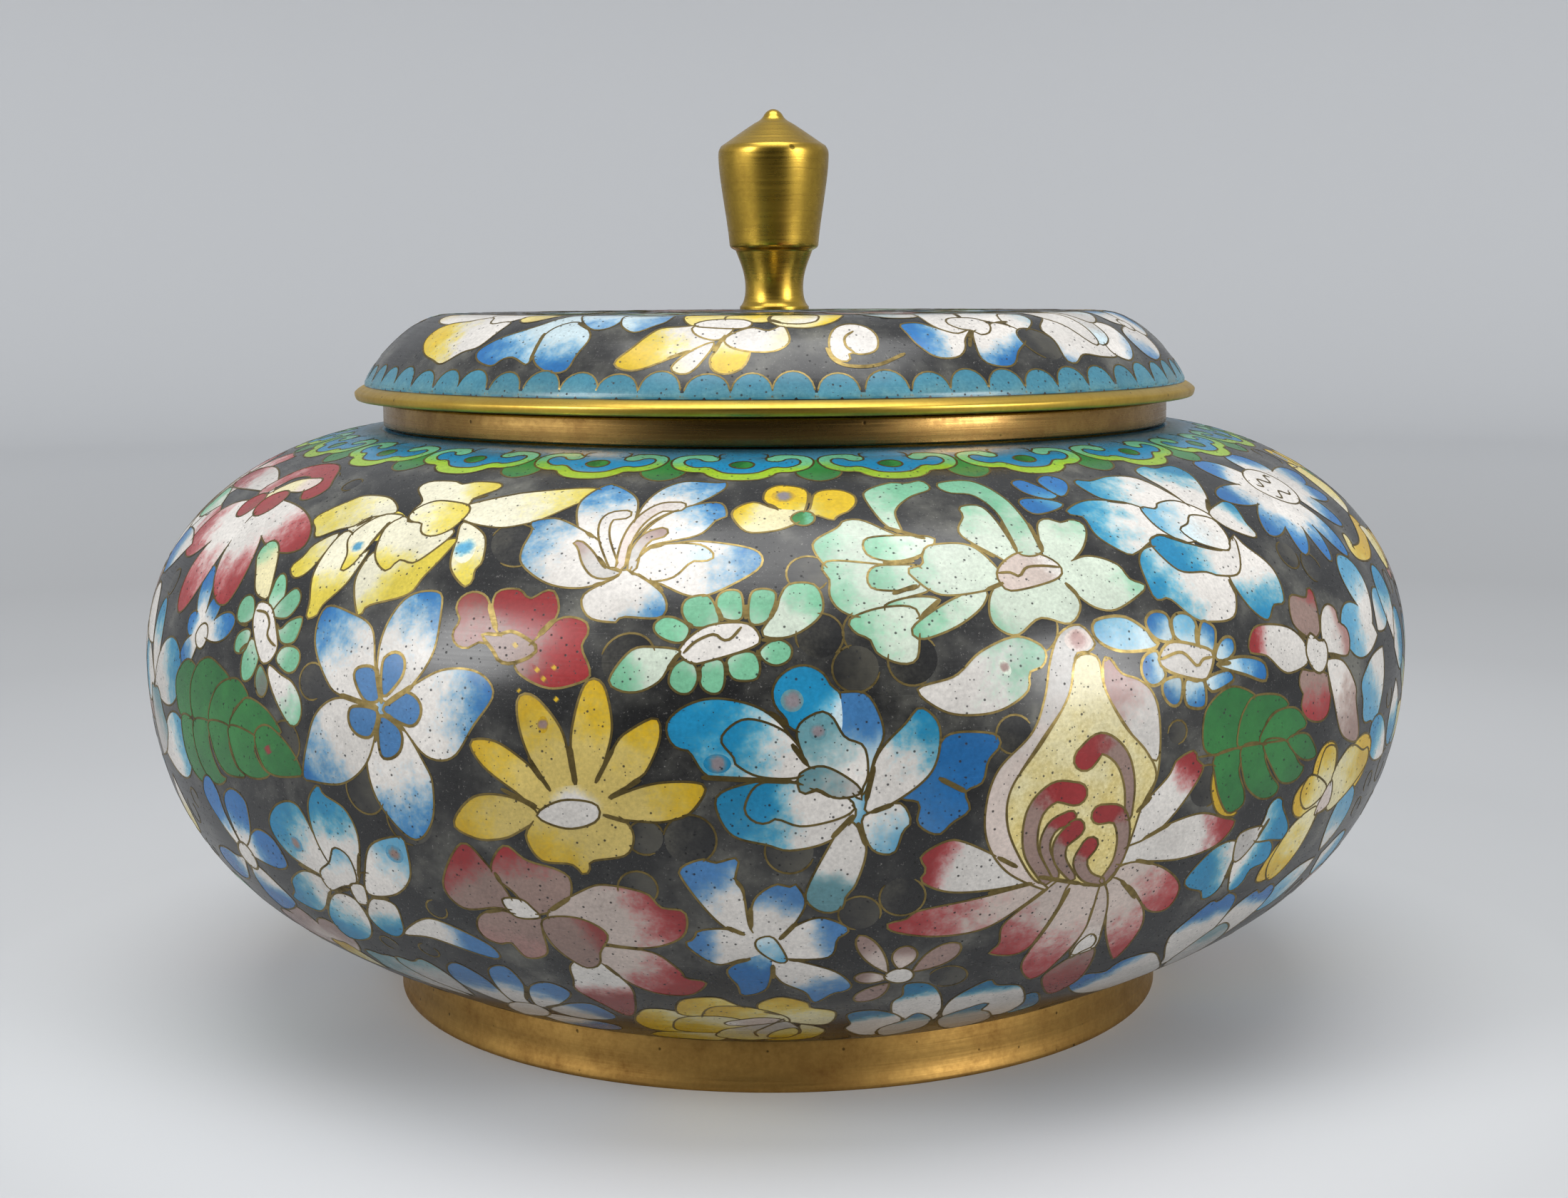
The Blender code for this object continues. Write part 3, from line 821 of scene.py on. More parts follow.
def yellow_white_flower(sheet):
    """The many-lobed yellow and white flower, left on the shoulder."""
    board = sheet(-44)
    heart = (11.5, 22)
    board.oval((9, 22), 8, 5, 0, ("ivory", "sulphur"), wire=0)
    petals(board, heart, ("ivory", "sulphur"), [
        [(12.3, 19.4), (12.1, 17.6), (9.2, 15.2), (9.6, 13.6), (12.8, 13.3), (14.4, 13.8), (15.8, 13.1),
         (18.9, 13.2), (19.8, 14.4), (18.4, 16.4), (18.6, 17.6), (18, 19), (15, 20)],
        [(18, 18.4), (22, 15.7), (25, 14.6), (30.4, 13.6), (33.2, 15), (32.8, 15.8), (31.6, 16.2),
         (29.6, 19.2), (27.6, 20.6), (25, 21.2), (20.4, 20.4)],
        [(20.4, 20.6), (24.4, 22.4), (26.6, 25.8), (26.5, 27.2), (27, 28.4), (26.4, 29.2), (23.4, 27),
         (21.6, 23.4)]], (0.45, 1.0))
    stain(board, (23.4, 24.4), 4.6, 2.4, ("sky", "ivory"), 54)
    petals(board, heart, ("ivory", "sulphur"), [
        [(10.2, 19.7), (7, 17.4), (2.8, 17.3), (1, 18.6), (-1.8, 21.8), (0, 23.4), (1.4, 24.6),
         (4, 23.2), (6, 22.4), (7, 21)]], (0.15, 1.1))
    petals(board, heart, ("ivory", "sulphur"), [
        [(4.6, 23.6), (2, 25.6), (1.6, 27.2), (0.6, 28.8), (2, 30), (3.4, 29.7), (4.4, 28.4),
         (4.8, 26)]], (0.1, 0.9))
    petals(board, (8, 23), ("ivory", "sulphur"), [
        [(5, 24), (6.6, 23.4), (9.6, 26.6), (11.2, 25.6), (11, 29.8), (8.9, 32.8), (8.8, 33.8),
         (7.2, 34.4), (6.6, 32.4), (5, 29)],
        [(12, 25.8), (14, 26.6), (18, 25), (21.4, 23), (21.6, 25.6), (20.8, 28.4), (20, 30.6),
         (15.6, 32.2), (15.1, 33.2), (14.4, 33.2), (12.2, 30), (11.7, 28)]], (0.35, 0.75))
    petals(board, (16, 19), ("ivory", "sulphur"), [
        [(10.7, 21.4), (12.3, 20.3), (13.2, 21.1), (15, 21.2), (17.2, 23), (20, 21.8), (20.4, 23.4),
         (18.6, 26.6), (16.3, 26.5), (15.4, 28), (12.4, 26)]], (0.5, 0.95))
    petals(board, heart, ("ivory", "sulphur"), [
        [(6.7, 23.8), (8.6, 20.4), (11.8, 20.2), (11, 21.4), (10.8, 23.4), (10.3, 27.4), (9, 28.5),
         (8.4, 26.4)]], (0.5, 1.0))
    stain(board, (9.1, 25.2), 2.0, 1.7, ("sky", "ivory"))
    petals(board, (13, 22), ("ivory", "sulphur"), [
        [(12.5, 18.8), (13.4, 17.6), (14.8, 17.2), (18.2, 17.6), (19.6, 18.6), (20, 20.4), (19.6, 22),
         (18.4, 22.9), (17, 22.9), (15.9, 22.2), (15.2, 21.2), (13.6, 21), (12.5, 20.2)]],
        (0.0, 1.1))
    slits(board, 0.45, [((10.7, 21.3), (10.7, 25)), ((18.2, 16.6), (19.6, 15.8)),
                        ((6.4, 22.4), (7.6, 20.9))])


def mint_oval_daisy(sheet):
    """The mint daisy with an oval heart, at the left."""
    board = sheet(-40)
    heart = (-5, 36.5)
    petals(board, heart, ("cream", "mint"), [
        [(-6.7, 33), (-9.1, 32.4), (-11.1, 30), (-12.7, 28), (-12.4, 26.4), (-11.1, 25.8), (-9.5, 26.4),
         (-8.1, 28), (-6.9, 30.4), (-6.3, 32.4)]], (0.55, 1.05))
    petals(board, heart, MINT, [
        [(-6.1, 33), (-6.3, 31), (-5.9, 29.8), (-4.9, 29.9), (-3.9, 31), (-3.4, 32.4), (-4.1, 33.6),
         (-5.1, 33.8)],
        [(-4.5, 34), (-2.5, 31.4), (-1.1, 31.5), (-0.4, 32.8), (-1.5, 34.6), (-3.9, 34.8)],
        [(-3, 35.4), (-2.2, 36), (-1, 34.9), (1, 34.4), (0.9, 36.8), (-0.4, 37.5), (-1.8, 37.2)],
        [(-1.2, 38), (0.4, 37.6), (1.8, 38), (2.2, 39), (1.6, 40.2), (0.2, 40.5), (-1.8, 39.4)],
        [(-5, 39.6), (-6, 41.8), (-7.8, 42.2), (-8.3, 39.8), (-7.2, 37.6), (-6, 38)],
        [(-7.4, 37), (-8.4, 36.6), (-9.8, 37.2), (-10.3, 38.2), (-10, 39.3), (-8.8, 39.4),
         (-7.8, 38.8)],
        [(-8.6, 33.4), (-9.8, 32.8), (-11, 33.2), (-11.5, 34.4), (-11.1, 35.7), (-9.9, 36.2),
         (-8.4, 35.8), (-7.8, 35)]], (-0.3, 0.7))
    petals(board, heart, ("mint", "ground_grey"), [
        [(-4.4, 40.2), (-2.9, 41.6), (-2.9, 42.8), (-3.6, 43.6), (-4.6, 43.4), (-5.2, 42.2),
         (-5.1, 41)]], (-0.2, 1.1))
    petals(board, heart, ("white", "mint"), [
        [(-2.9, 40), (-0.6, 40.8), (1.4, 41.4), (2.8, 42.8), (3.2, 44.4), (2.6, 45.8), (1.2, 46.1),
         (-0.8, 44.2), (-2.8, 41.4)]], (0.45, 1.1))
    petals(board, heart, WHITE, [
        [(-7.9, 34.2), (-7.2, 33.3), (-4.6, 34), (-2.1, 37.4), (-2.3, 39), (-3.4, 39.9), (-4.8, 39.6),
         (-7.4, 36.2)]])
    board.line([(-7.6, 34.4), (-5.6, 34.5), (-4.4, 35.6), (-4.3, 36.8), (-3.2, 37.6),
                (-2.3, 37.9)], 0.32)
    slits(board, 0.45, [((-9, 39.2), (-7.7, 38.2)), ((-8.4, 36.2), (-10, 36.2)),
                        ((-6.4, 30.4), (-6.2, 32.8))])


def left_leaf(sheet):
    """The leaf of scalloped lobes, at the left."""
    board = sheet(-40)
    petals(board, (-20, 48.3), GREEN, [
        [(-24.6, 48.4), (-25.6, 45), (-24, 42.8), (-21.4, 41.6), (-18.6, 42.4), (-19, 44), (-20.4, 46),
         (-20.6, 48.3)],
        [(-24, 48.6), (-20.4, 48.5), (-20.2, 51), (-19, 53.4), (-17.6, 55), (-20, 56), (-22.6, 55),
         (-24.2, 52.4)]], (-0.6, 1.6))
    petals(board, (-18, 48.2), GREEN, [
        [(-20, 48.2), (-20.6, 45), (-19.4, 42.6), (-17.6, 41.2), (-15, 40.7), (-11, 42), (-10.4, 43),
         (-14, 45), (-15.4, 47), (-15.8, 47.9)],
        [(-20, 48.5), (-15.6, 48), (-16, 50), (-15.4, 52.2), (-14, 54), (-12.8, 54.2), (-14.4, 55.2),
         (-16.6, 55.4), (-19, 54.2), (-20.4, 51.6)]], (-0.6, 1.6))
    petals(board, (-13, 48), GREEN, [
        [(-15.6, 47.9), (-13.4, 43.8), (-9, 42.2), (-6.2, 44), (-8, 44.8), (-9.8, 46.2), (-10.6, 47.8)],
        [(-15.6, 47.9), (-10.7, 47.8), (-11, 50), (-10, 52.2), (-8.2, 53.2), (-10, 53.6), (-12.6, 53.6),
         (-14.4, 52.4), (-15.4, 50.4)]], (-0.6, 1.6))
    petals(board, (-8, 48), GREEN, [
        [(-10.6, 47.8), (-8, 44.8), (-6, 44), (-2.6, 45), (-0.2, 47.2), (-2.6, 47), (-4.6, 47.4),
         (-5.4, 48)],
        [(-10.8, 47.8), (-5.4, 48.1), (-5.6, 49.8), (-4.4, 51.6), (-3.2, 52.3), (-5.6, 53.1),
         (-8.2, 53), (-10, 51.8)],
        [(-5.4, 48), (-2.8, 46.6), (0.8, 48.4), (2.8, 51.1), (1.4, 51.8), (-2.4, 52.2), (-4.4, 51.2)]],
        (-0.6, 1.6))
    stain(board, (-3, 49.4), 3.4, 1.0, ("brick", "leaf"), -25)


def right_leaf(sheet):
    """The leaf of scalloped lobes with a yellow crescent, at the right."""
    board = sheet(44)
    petals(board, (-9, 51), ("yellow", "yellow"), [
        [(-13.6, 50), (-12.6, 52), (-11.4, 54), (-9, 56.3), (-11, 56.4), (-12.8, 55.2), (-13.9, 52.6)]])
    petals(board, (-12, 49), GREEN, [
        [(-13.8, 49.1), (-15.6, 47.8), (-15.2, 44), (-11.4, 42), (-7.6, 43.4), (-9.4, 44.6),
         (-10.3, 46.4), (-10.2, 48.8)],
        [(-13.8, 49.2), (-9.8, 48.9), (-9.8, 51.4), (-8.6, 53.6), (-8.2, 55.2), (-9.4, 56),
         (-10.8, 55.9), (-12.4, 54), (-13.4, 51.8)]], (-0.6, 1.6))
    petals(board, (-8, 49), GREEN, [
        [(-10.2, 48.8), (-10.3, 46.4), (-9.4, 44.6), (-7.6, 43.4), (-3.6, 43.8), (-1.8, 45.2),
         (-4.4, 45.6), (-6, 46.8), (-6.8, 48.7)],
        [(-9.8, 48.8), (-6.2, 48.8), (-5.6, 50.6), (-4.2, 52.6), (-2.4, 54.2), (-3, 55.2), (-5, 55.3),
         (-7, 54.4), (-8.8, 52.6)]], (-0.6, 1.6))
    petals(board, (-4, 49), GREEN, [
        [(-6.8, 48.7), (-4.6, 45.8), (-0.6, 45.6), (1.9, 47.8), (0, 48.4), (-1.6, 49)],
        [(-6.2, 48.8), (-2.2, 49), (1, 52), (2.2, 52.8), (1, 54), (-1.2, 54.1), (-3.2, 53)],
        [(-1.8, 49), (0.4, 48.6), (2.6, 49.2), (4.6, 51.6), (3.2, 52.1), (1.2, 51.6), (-0.6, 50.4)]],
        (-0.6, 1.6))
    board.line([(-16.2, 49), (-13, 49), (-10, 48.7), (-6, 48.8), (-2, 49)])


def mint_peony(sheet):
    """The layered mint peony right of the middle on the shoulder, with two curved handles."""
    board = sheet(20)
    heart = (0, 27.6)
    petals(board, heart, MINT, [
        [(-10, 22.4), (-12.6, 21.7), (-15.3, 19.5), (-17.2, 19.5), (-18.3, 20.6), (-21.5, 23),
         (-20.6, 26.4), (-18, 26.6), (-14, 25.6), (-11, 25)],
        [(-11, 26.4), (-14, 26), (-20, 25.2), (-21.4, 26.2), (-21, 27.6), (-21.4, 29.4), (-20.8, 31),
         (-19, 31.9), (-16.6, 31.4), (-14, 30), (-11, 29)]], (0.55, 1.2))
    petals(board, heart, ("mint_white", "mint"), [
        [(-15.6, 22.2), (-10.6, 22), (-8.6, 22.7), (-10.6, 24.6), (-13, 25.4), (-15, 25.3),
         (-16.4, 24.3)],
        [(-17.1, 27.4), (-16.1, 26.1), (-13.9, 25.9), (-11.3, 26.2), (-11.6, 28), (-13, 29),
         (-16.7, 28.8)],
        [(-16.1, 30.7), (-13, 29.8), (-10.3, 30.2), (-12.2, 31.8), (-14.2, 32.5), (-15.6, 32.2)],
        [(-13, 31.2), (-16.4, 30.9), (-19.9, 32.1), (-19.7, 33.5), (-18.3, 34.3), (-17.8, 35.7),
         (-15.8, 36.8), (-14, 36.6), (-13.3, 34.6)],
        [(-8.9, 30.2), (-5.2, 29.3), (-5.8, 31), (-8.1, 32.7), (-10.8, 33.9), (-13.3, 34.4),
         (-13.6, 33)]], (0.2, 1.1))
    bunch = board.picture.next_bunch()
    petals(board, heart, MINT, [
        [(-0.4, 27), (-2.4, 25.6), (-5.7, 22.1), (-4.4, 19.3), (-4.2, 17.7), (-1.7, 17.8),
         (-0.7, 22.1)],
        [(2.6, 25.6), (3.1, 22.1), (3.9, 20.6), (5.1, 20.3), (6.4, 21), (7.8, 20.6), (9, 21.4),
         (8.8, 22.9), (7.5, 24.9), (5.8, 26.3), (3.6, 27.4)],
        [(-4.2, 29.2), (-5.4, 32.7), (-3.1, 34.5), (0, 32.8), (3.3, 33.6), (5, 31.3), (3, 28.4),
         (0, 28.6)],
        [(3.4, 28), (7.2, 25.9), (10.8, 27.1), (11.9, 29.1), (13.5, 29.9), (13.1, 30.7), (9.4, 32.4),
         (7.2, 32.3), (5.3, 31)],
        [(-2.8, 28.2), (-5, 23.8), (-9.2, 23.4), (-10.6, 24.6), (-11, 26), (-12.5, 26.4), (-12.5, 27.4),
         (-10, 29.7), (-4.6, 29.3)]],
        (0.5, 1.5), bunch)
    petals(board, heart, ("rose_white", "white"), [
        [(-3.4, 27.4), (-2.2, 26), (0, 24.9), (2.2, 25.3), (3.8, 26.6), (3.9, 27.9), (2.2, 28.8),
         (-2.2, 29.6), (-3.3, 28.8)]])
    board.line([(-3.3, 27.4), (-1.9, 27.4), (-1, 27.9), (0.1, 26.9), (2, 26.8), (3.9, 27.1)], 0.32)
    petals(board, (-4.5, 13.4), MINT, [
        [(-13.3, 19.9), (-13.8, 16), (-13.1, 14.1), (-10, 12.5), (-8.3, 12.7), (-6.4, 12.2),
         (-6.1, 14.1), (-8.9, 15.6), (-11.4, 18.2), (-11.8, 21.6)],
        [(-0.3, 24.9), (-0.4, 19.3), (-1.8, 15.7), (-4.2, 15), (-5.1, 13.8), (-4.4, 12.7), (-0.8, 12.7),
         (1.5, 16.3), (2.4, 21), (2.7, 24.9)]], (1.2, 0.1))
    petals(board, (5.4, 17), ("sky", "blue"), [
        [(3.6, 13.5), (5, 12.8), (6.4, 14.1), (8.1, 16.3), (6.7, 17), (4.4, 15.7)],
        [(6.9, 13.5), (8.6, 12.1), (10.4, 13.5), (10, 15.4), (8.3, 16.6)],
        [(2.8, 17.4), (3.9, 16.6), (6.7, 17.1), (8, 18.2), (5.6, 19.3), (3.6, 19.3)]], (-0.4, 0.6))
    slits(board, 0.5, [
        ((-13.4, 20.6), (-9.6, 22.5)), ((-15, 25.6), (-11.7, 25.5)), ((-15, 29.4), (-12.2, 28.5)),
        ((-12.6, 32), (-10.2, 30.2)), ((-5, 23.4), (-3, 25.4)), ((-0.5, 20.4), (-0.3, 24.8)),
        ((2.5, 20.8), (2.6, 25)), ((-5.2, 29.4), (-3, 28.6)), ((3.9, 29), (5, 30.6))])


def comma_leaf(board):
    """The pale comma-shaped leaf left of the lotus."""
    petals(board, (-17, 41), ("white", "mint"), [
        [(-17, 39.5), (-13, 38.3), (-10, 36), (-6, 34.6), (-3.4, 35.6), (-2.9, 36.8), (-3.6, 37.9),
         (-5, 38.4), (-5.4, 40.2), (-8, 41.8), (-11, 42.3), (-14.4, 41.8)]], (0.3, 1.3))
    stain(board, (-7.6, 37.7), 1.8, 1.1, ("mauve", "mint_white"), 60)


def lotus(sheet):
    """The yellow and white lotus with red-headed stamens, right of the middle."""
    board = sheet(22)
    comma_leaf(board)
    heart = (3, 60.5)
    petals(board, heart, ("white", "red"), [
        [(7.4, 54.4), (11.4, 50.6), (12.4, 49), (14.8, 48.2), (15.4, 49.4), (16.3, 50.2), (14.6, 52.8),
         (11.6, 56), (9.2, 57.2), (6.6, 58.6)],
        [(6.6, 58.2), (9.1, 57.4), (11.4, 56.2), (16.4, 55.4), (20.2, 56.5), (22.2, 57.4), (19.8, 59.8),
         (14.6, 60.6), (8.6, 60), (6, 60)],
        [(-4, 60.4), (-8, 57.6), (-12, 55.5), (-14, 55.3), (-16.4, 56.8), (-15.7, 58.4), (-16, 59.8),
         (-12.6, 61.3), (-7, 61.3)]], (0.66, 0.92))
    petals(board, heart, ("rose_white", "red"), [
        [(6, 60.6), (8.5, 60), (12.6, 61.4), (15.8, 64.4), (15.2, 67.6), (12.2, 67.2), (8.6, 63.2),
         (5.6, 62)],
        [(5.4, 62), (7.2, 62.2), (10.6, 65.6), (12, 68), (12.4, 70.6), (11.6, 75.6), (10.6, 75.2),
         (7.8, 70.4), (6.6, 67)],
        [(-4, 63.6), (-8, 66.6), (-13, 67.2), (-17.6, 66.2), (-18.7, 65), (-16.8, 64.4), (-15.6, 63.4),
         (-10, 62.4), (-4, 61.2), (-1, 60.9)],
        [(-1.9, 62), (-0.6, 61), (0.8, 61.6), (-0.2, 66.6), (-2.4, 71.2), (-6.2, 70.8), (-5.6, 69.2),
         (-5.8, 66)],
        [(0.7, 61.6), (2.8, 62.2), (4.4, 62.6), (4.4, 66), (4.4, 69), (3, 74), (2.2, 76.6), (0.8, 77.4),
         (-1.6, 73.4), (-0.8, 67.6), (0, 64.6)]], (0.3, 1.05))
    petals(board, (6, 72), ("dusk", "brick"), [
        [(4.8, 73.2), (7.2, 72.6), (8.4, 78), (8.4, 81), (7.2, 84), (5.6, 83.2), (2.8, 78.4),
         (2.8, 76)]], (0.0, 0.6))
    petals(board, heart, ("rose_white", "white"), [
        [(4.5, 62.6), (5.3, 62.6), (6.2, 65), (6.8, 69), (7, 72.4), (4, 72.8), (4.5, 68)]])
    petals(board, heart, WHITE, [
        [(5.5, 69.6), (6.6, 70.6), (6.6, 72), (5.4, 72.8), (4.4, 73.8), (4.3, 71.2)]])
    petals(board, heart, ("warm_white", "grey_white"), [
        [(1.5, 33.8), (2.9, 35.8), (2, 36.7), (0.4, 37), (-0.8, 41), (-4.3, 45.5), (-7.2, 50),
         (-7.5, 54), (-4.8, 59), (-1.6, 62.2), (-6.6, 59.6), (-9.4, 56), (-10, 52), (-8.8, 48),
         (-5.2, 44.5), (-3.6, 41), (-2.6, 37.4), (-1, 34.6)]], (0.3, 0.9))
    stain(board, (1, 35.4), 3.2, 2.4, ("rose", "warm_white"))
    petals(board, (9.6, 50), ("cream", "white"), [
        [(3.2, 39), (4.3, 37.5), (5.6, 39.2), (7.6, 40), (9.2, 41.4), (10, 44), (10, 50), (8.6, 53),
         (7.6, 53.4), (7.6, 48), (5.2, 43.8), (3.6, 41.4)]], (0.2, 0.8))
    bunch = board.picture.next_bunch()
    petals(board, (9.9, 48), ("white", "rose"), [
        [(3.5, 37.9), (4.3, 37.5), (5.6, 39.2), (7.6, 40), (9.2, 41.4), (10, 44), (9.9, 48.6),
         (7.6, 47), (3.7, 41.4)]], (0.25, 0.95), bunch)
    petals(board, (3, 61), ("straw", "cream"), [
        [(0.4, 37.3), (2.9, 37.3), (3.4, 40.6), (5.5, 44.5), (8.4, 47.6), (9.8, 50.4), (8.2, 53.6),
         (6.6, 60), (5, 62.4), (2, 61.8), (-1, 61), (-3.2, 61), (-5.6, 58), (-7.5, 54), (-7.3, 50),
         (-4, 45.5), (-0.9, 41)]], (-0.5, 1.1))
    for stamen, thick, thin in (
            ([(0.9, 47.6), (2.8, 46.2), (5.2, 47.8), (6.4, 50.8), (6.6, 54.5)], 2.7, 0.9),
            ([(0.1, 51.3), (-2.5, 50.9), (-4.6, 53), (-4.6, 57), (-2.2, 60.8)], 2.5, 1.3),
            ([(3.1, 53.8), (5.3, 54.1), (6.3, 56.5), (6.1, 59.5), (4.8, 61.8)], 2.2, 1.0),
            ([(-0.5, 53.8), (-2.4, 54.6), (-3, 57), (-1.2, 60.4)], 1.6, 0.9),
            ([(0.3, 55.1), (-1.2, 56.6), (-1.0, 58.6), (0.8, 60.9)], 2.2, 0.9),
            ([(2.3, 57.2), (1.4, 59), (2.6, 61), (4.6, 61.9)], 2.0, 0.9)):
        board.stroke(stamen, thick, thin, ("red", "dusk"), (0.16, 0.34))
    slits(board, 0.5, [
        ((-8.2, 57.5), (-5.8, 58.9)), ((-8.6, 61.8), (-3.8, 61)), ((-4.6, 64.3), (-1.9, 61.9)),
        ((-1.4, 70), (0.8, 62.2)), ((7.1, 62.1), (9.8, 65)), ((8.5, 59.8), (11, 60.6)),
        ((9, 57.3), (12.4, 56)), ((7.6, 54.1), (9.4, 52.6)), ((-3.2, 60.3), (2, 61.8))])


def blue_small_daisy(sheet):
    """The small blue daisy with a tilted white heart, at the right."""
    board = sheet(34)
    heart = (-2.8, 38.6)
    petals(board, heart, ("ice", "sky"), [
        [(-6.6, 36.9), (-9, 37.1), (-11.6, 36.8), (-13.4, 35.8), (-13.9, 34.6), (-13, 33.4),
         (-9.4, 33.4), (-6.4, 36)],
        [(-3.7, 36.2), (-3.8, 34.6), (-3.3, 33.8), (-2.2, 33.5), (-1, 33.9), (-0.5, 35), (-1.2, 37.2)]],
        (0.0, 1.3), wire=0.34)
    petals(board, heart, ("ice", "blue"), [
        [(-6, 36.2), (-7, 35.2), (-7.1, 34), (-6.2, 33.2), (-5, 33.1), (-4, 33.8), (-4.2, 36.3)],
        [(-0.8, 37.2), (0.3, 34.8), (1.4, 35), (2, 36), (0.8, 38.3)],
        [(1.2, 38.6), (2, 37.4), (3.2, 36.7), (4.3, 37), (4.3, 38.2), (3.2, 39), (1.8, 39.1)],
        [(1.2, 39.5), (5, 39), (8.6, 40), (8.6, 42), (5.4, 41)],
        [(-0.6, 40.8), (2.2, 40.2), (3.3, 40.5), (3.4, 41.4), (0.8, 42.2), (-0.2, 42)],
        [(-3.4, 40.6), (-2, 40.9), (-0.9, 41), (-1, 43.6), (-3.2, 43.5), (-3.8, 42.4)],
        [(-4, 40.3), (-4.3, 42.6), (-5.2, 43.2), (-6.2, 42.6), (-6.7, 41.4), (-6.2, 40.4)],
        [(-6.6, 37.3), (-7.8, 37.4), (-8.8, 38.2), (-9, 39.6), (-8.2, 40.7), (-7, 40.7), (-6, 39.9),
         (-6.4, 38.6)]], (0.2, 0.95), wire=0.34)
    petals(board, heart, ("white", "white"), [
        [(-6.6, 38.2), (-4.6, 36.5), (-0.4, 37.4), (1, 38.4), (-0.2, 40.6), (-1.6, 40.8),
         (-5.4, 39.6)]], wire=0.34)
    board.line([(-6.4, 38.2), (-3.4, 37.7), (-1.6, 39.3), (-0.6, 38.7), (0.8, 38.6)], 0.34)
    slits(board, 0.5, [((-7.2, 35.2), (-6.3, 36.6)), ((-4, 34.2), (-4, 36.2)),
                       ((-0.6, 35.2), (-1.1, 37)), ((1.8, 37.2), (1, 38.4)),
                       ((1.2, 39.4), (3.4, 39.5))])


def blue_white_peony(sheet):
    """The large blue and white flower on the right of the shoulder."""
    board = sheet(42)
    heart = (0, 23.8)
    petals(board, heart, TEAL, [
        [(-2.2, 20), (-2.6, 17.6), (-4.6, 14), (-8, 13.2), (-11.4, 13.9), (-13, 13.5), (-13.8, 14.6),
         (-13, 17.4), (-10.2, 18.6), (-10, 20.4), (-6, 21.4)],
        [(-1.4, 21.4), (-2.4, 17), (-3.2, 12.8), (-0.8, 11.5), (0.6, 12.2), (4, 12), (4.9, 14.4),
         (3, 18.4), (0.4, 21.4)],
        [(-6, 25.6), (-8, 21), (-10.4, 18.5), (-15, 17.6), (-18.8, 19), (-18.9, 20), (-17.8, 20.4),
         (-18.2, 23.4), (-16.2, 26), (-14.6, 25.9), (-12.2, 24.8), (-9.8, 23.8)],
        [(0.2, 21.4), (3.4, 20.1), (5, 19.9), (5.9, 20.8), (5.1, 23.6), (5.3, 25.2), (4.2, 25.7),
         (1, 23.8)],
        [(-2, 29), (0.9, 25), (1.8, 26.6), (4.2, 30), (3.6, 33.8), (1.4, 34.1), (-0.6, 35.6),
         (-3, 33.6), (-3.9, 30.2)],
        [(-4, 30), (-8, 27), (-12.4, 25.3), (-15.2, 27), (-16, 31), (-15.4, 31.9), (-14, 31.8),
         (-12, 34), (-10, 34.8), (-5.6, 34.5)]], (0.42, 0.98))
    petals(board, heart, TEAL, [
        [(-12.2, 25), (-10, 23.9), (-6.9, 25.4), (-2.4, 26.8), (0.6, 25.2), (0.4, 26.6), (-2, 29.8),
         (-5.4, 29.8), (-7, 29.2), (-10.8, 28.6)]], (0.35, 0.8))
    petals(board, heart, ("white", "sky"), [
        [(-9.2, 19.5), (-7.2, 19.9), (-6, 19), (-3, 18.9), (-0.4, 21), (-0.1, 22.6), (-2.6, 24),
         (-6.8, 25.3), (-9.4, 22.8)]],
        (0.3, 1.1))
    petals(board, heart, ("white", "ice"), [
        [(-6.5, 23.4), (-4.6, 22.6), (-3, 21.4), (-0.3, 22.2), (0.1, 23.6), (-0.1, 25.2), (-1, 26.6),
         (-2.2, 26.8), (-5.4, 25.4)]],
        (0.2, 1.0))
    slits(board, 0.5, [((-12.6, 17.9), (-10.2, 18.6)), ((-9.6, 23.9), (-6.8, 25.4)),
                       ((2.2, 19.2), (0.4, 21.1)), ((-4.2, 30.4), (-4.1, 32.4))])


def red_white_flower(sheet):
    """The red and white flower with five petals, at the right."""
    board = sheet(44)
    heart = (4.6, 40.2)
    petals(board, heart, ("white", "red"), [
        [(2.4, 38.8), (0, 36.8), (-4, 36), (-6.4, 36.4), (-7.7, 38.6), (-5, 39.4), (-2.8, 41.2),
         (-1, 41.7), (2.4, 41)]], (0.66, 0.9))
    petals(board, heart, ("dusk", "red"), [
        [(3.6, 38.4), (1, 36.4), (2.2, 33.4), (5.2, 33.9), (6.2, 33), (7.2, 33.4), (6.6, 36.4),
         (5.8, 38.2)]], (0.6, 1.0))
    petals(board, heart, ("white", "rose"), [
        [(6.2, 38.6), (6.8, 36.8), (8, 35.6), (9.6, 35.2), (11, 36), (11, 37.4), (12.6, 38.4),
         (12.8, 40), (11.6, 41.4), (8, 40.7), (6.8, 40.4)]], (0.35, 0.9))
    petals(board, heart, ("dusk", "red"), [
        [(2.4, 41.9), (1.2, 41.6), (0.4, 42.4), (0.4, 43.6), (1, 44.2), (0.6, 45.6), (1.6, 47),
         (3.6, 47.8), (5.6, 47.8), (6.8, 46.6), (6.6, 43)]], (0.1, 0.9))
    petals(board, heart, ("white", "dusk"), [
        [(6.4, 41.8), (7.4, 41.2), (10.6, 42), (13.6, 45.2), (13.8, 47), (15.4, 51), (14, 51.8),
         (10, 50), (7.4, 45.2)]],
        (0.1, 0.8))
    petals(board, heart, ("white", "white"), [
        [(2.4, 39.6), (3.8, 37.9), (5.4, 38.9), (6.6, 39), (7, 40), (6.6, 41.4), (5.4, 42.4), (4, 42.3),
         (2.8, 41.2)]], wire=0.3)
    slits(board, 0.45, [((6.5, 42.8), (6.9, 45)), ((1.6, 37.4), (2.8, 38.5)),
                        ((7.2, 40.8), (9.8, 41.3)), ((6.2, 37.8), (7, 36.2))])


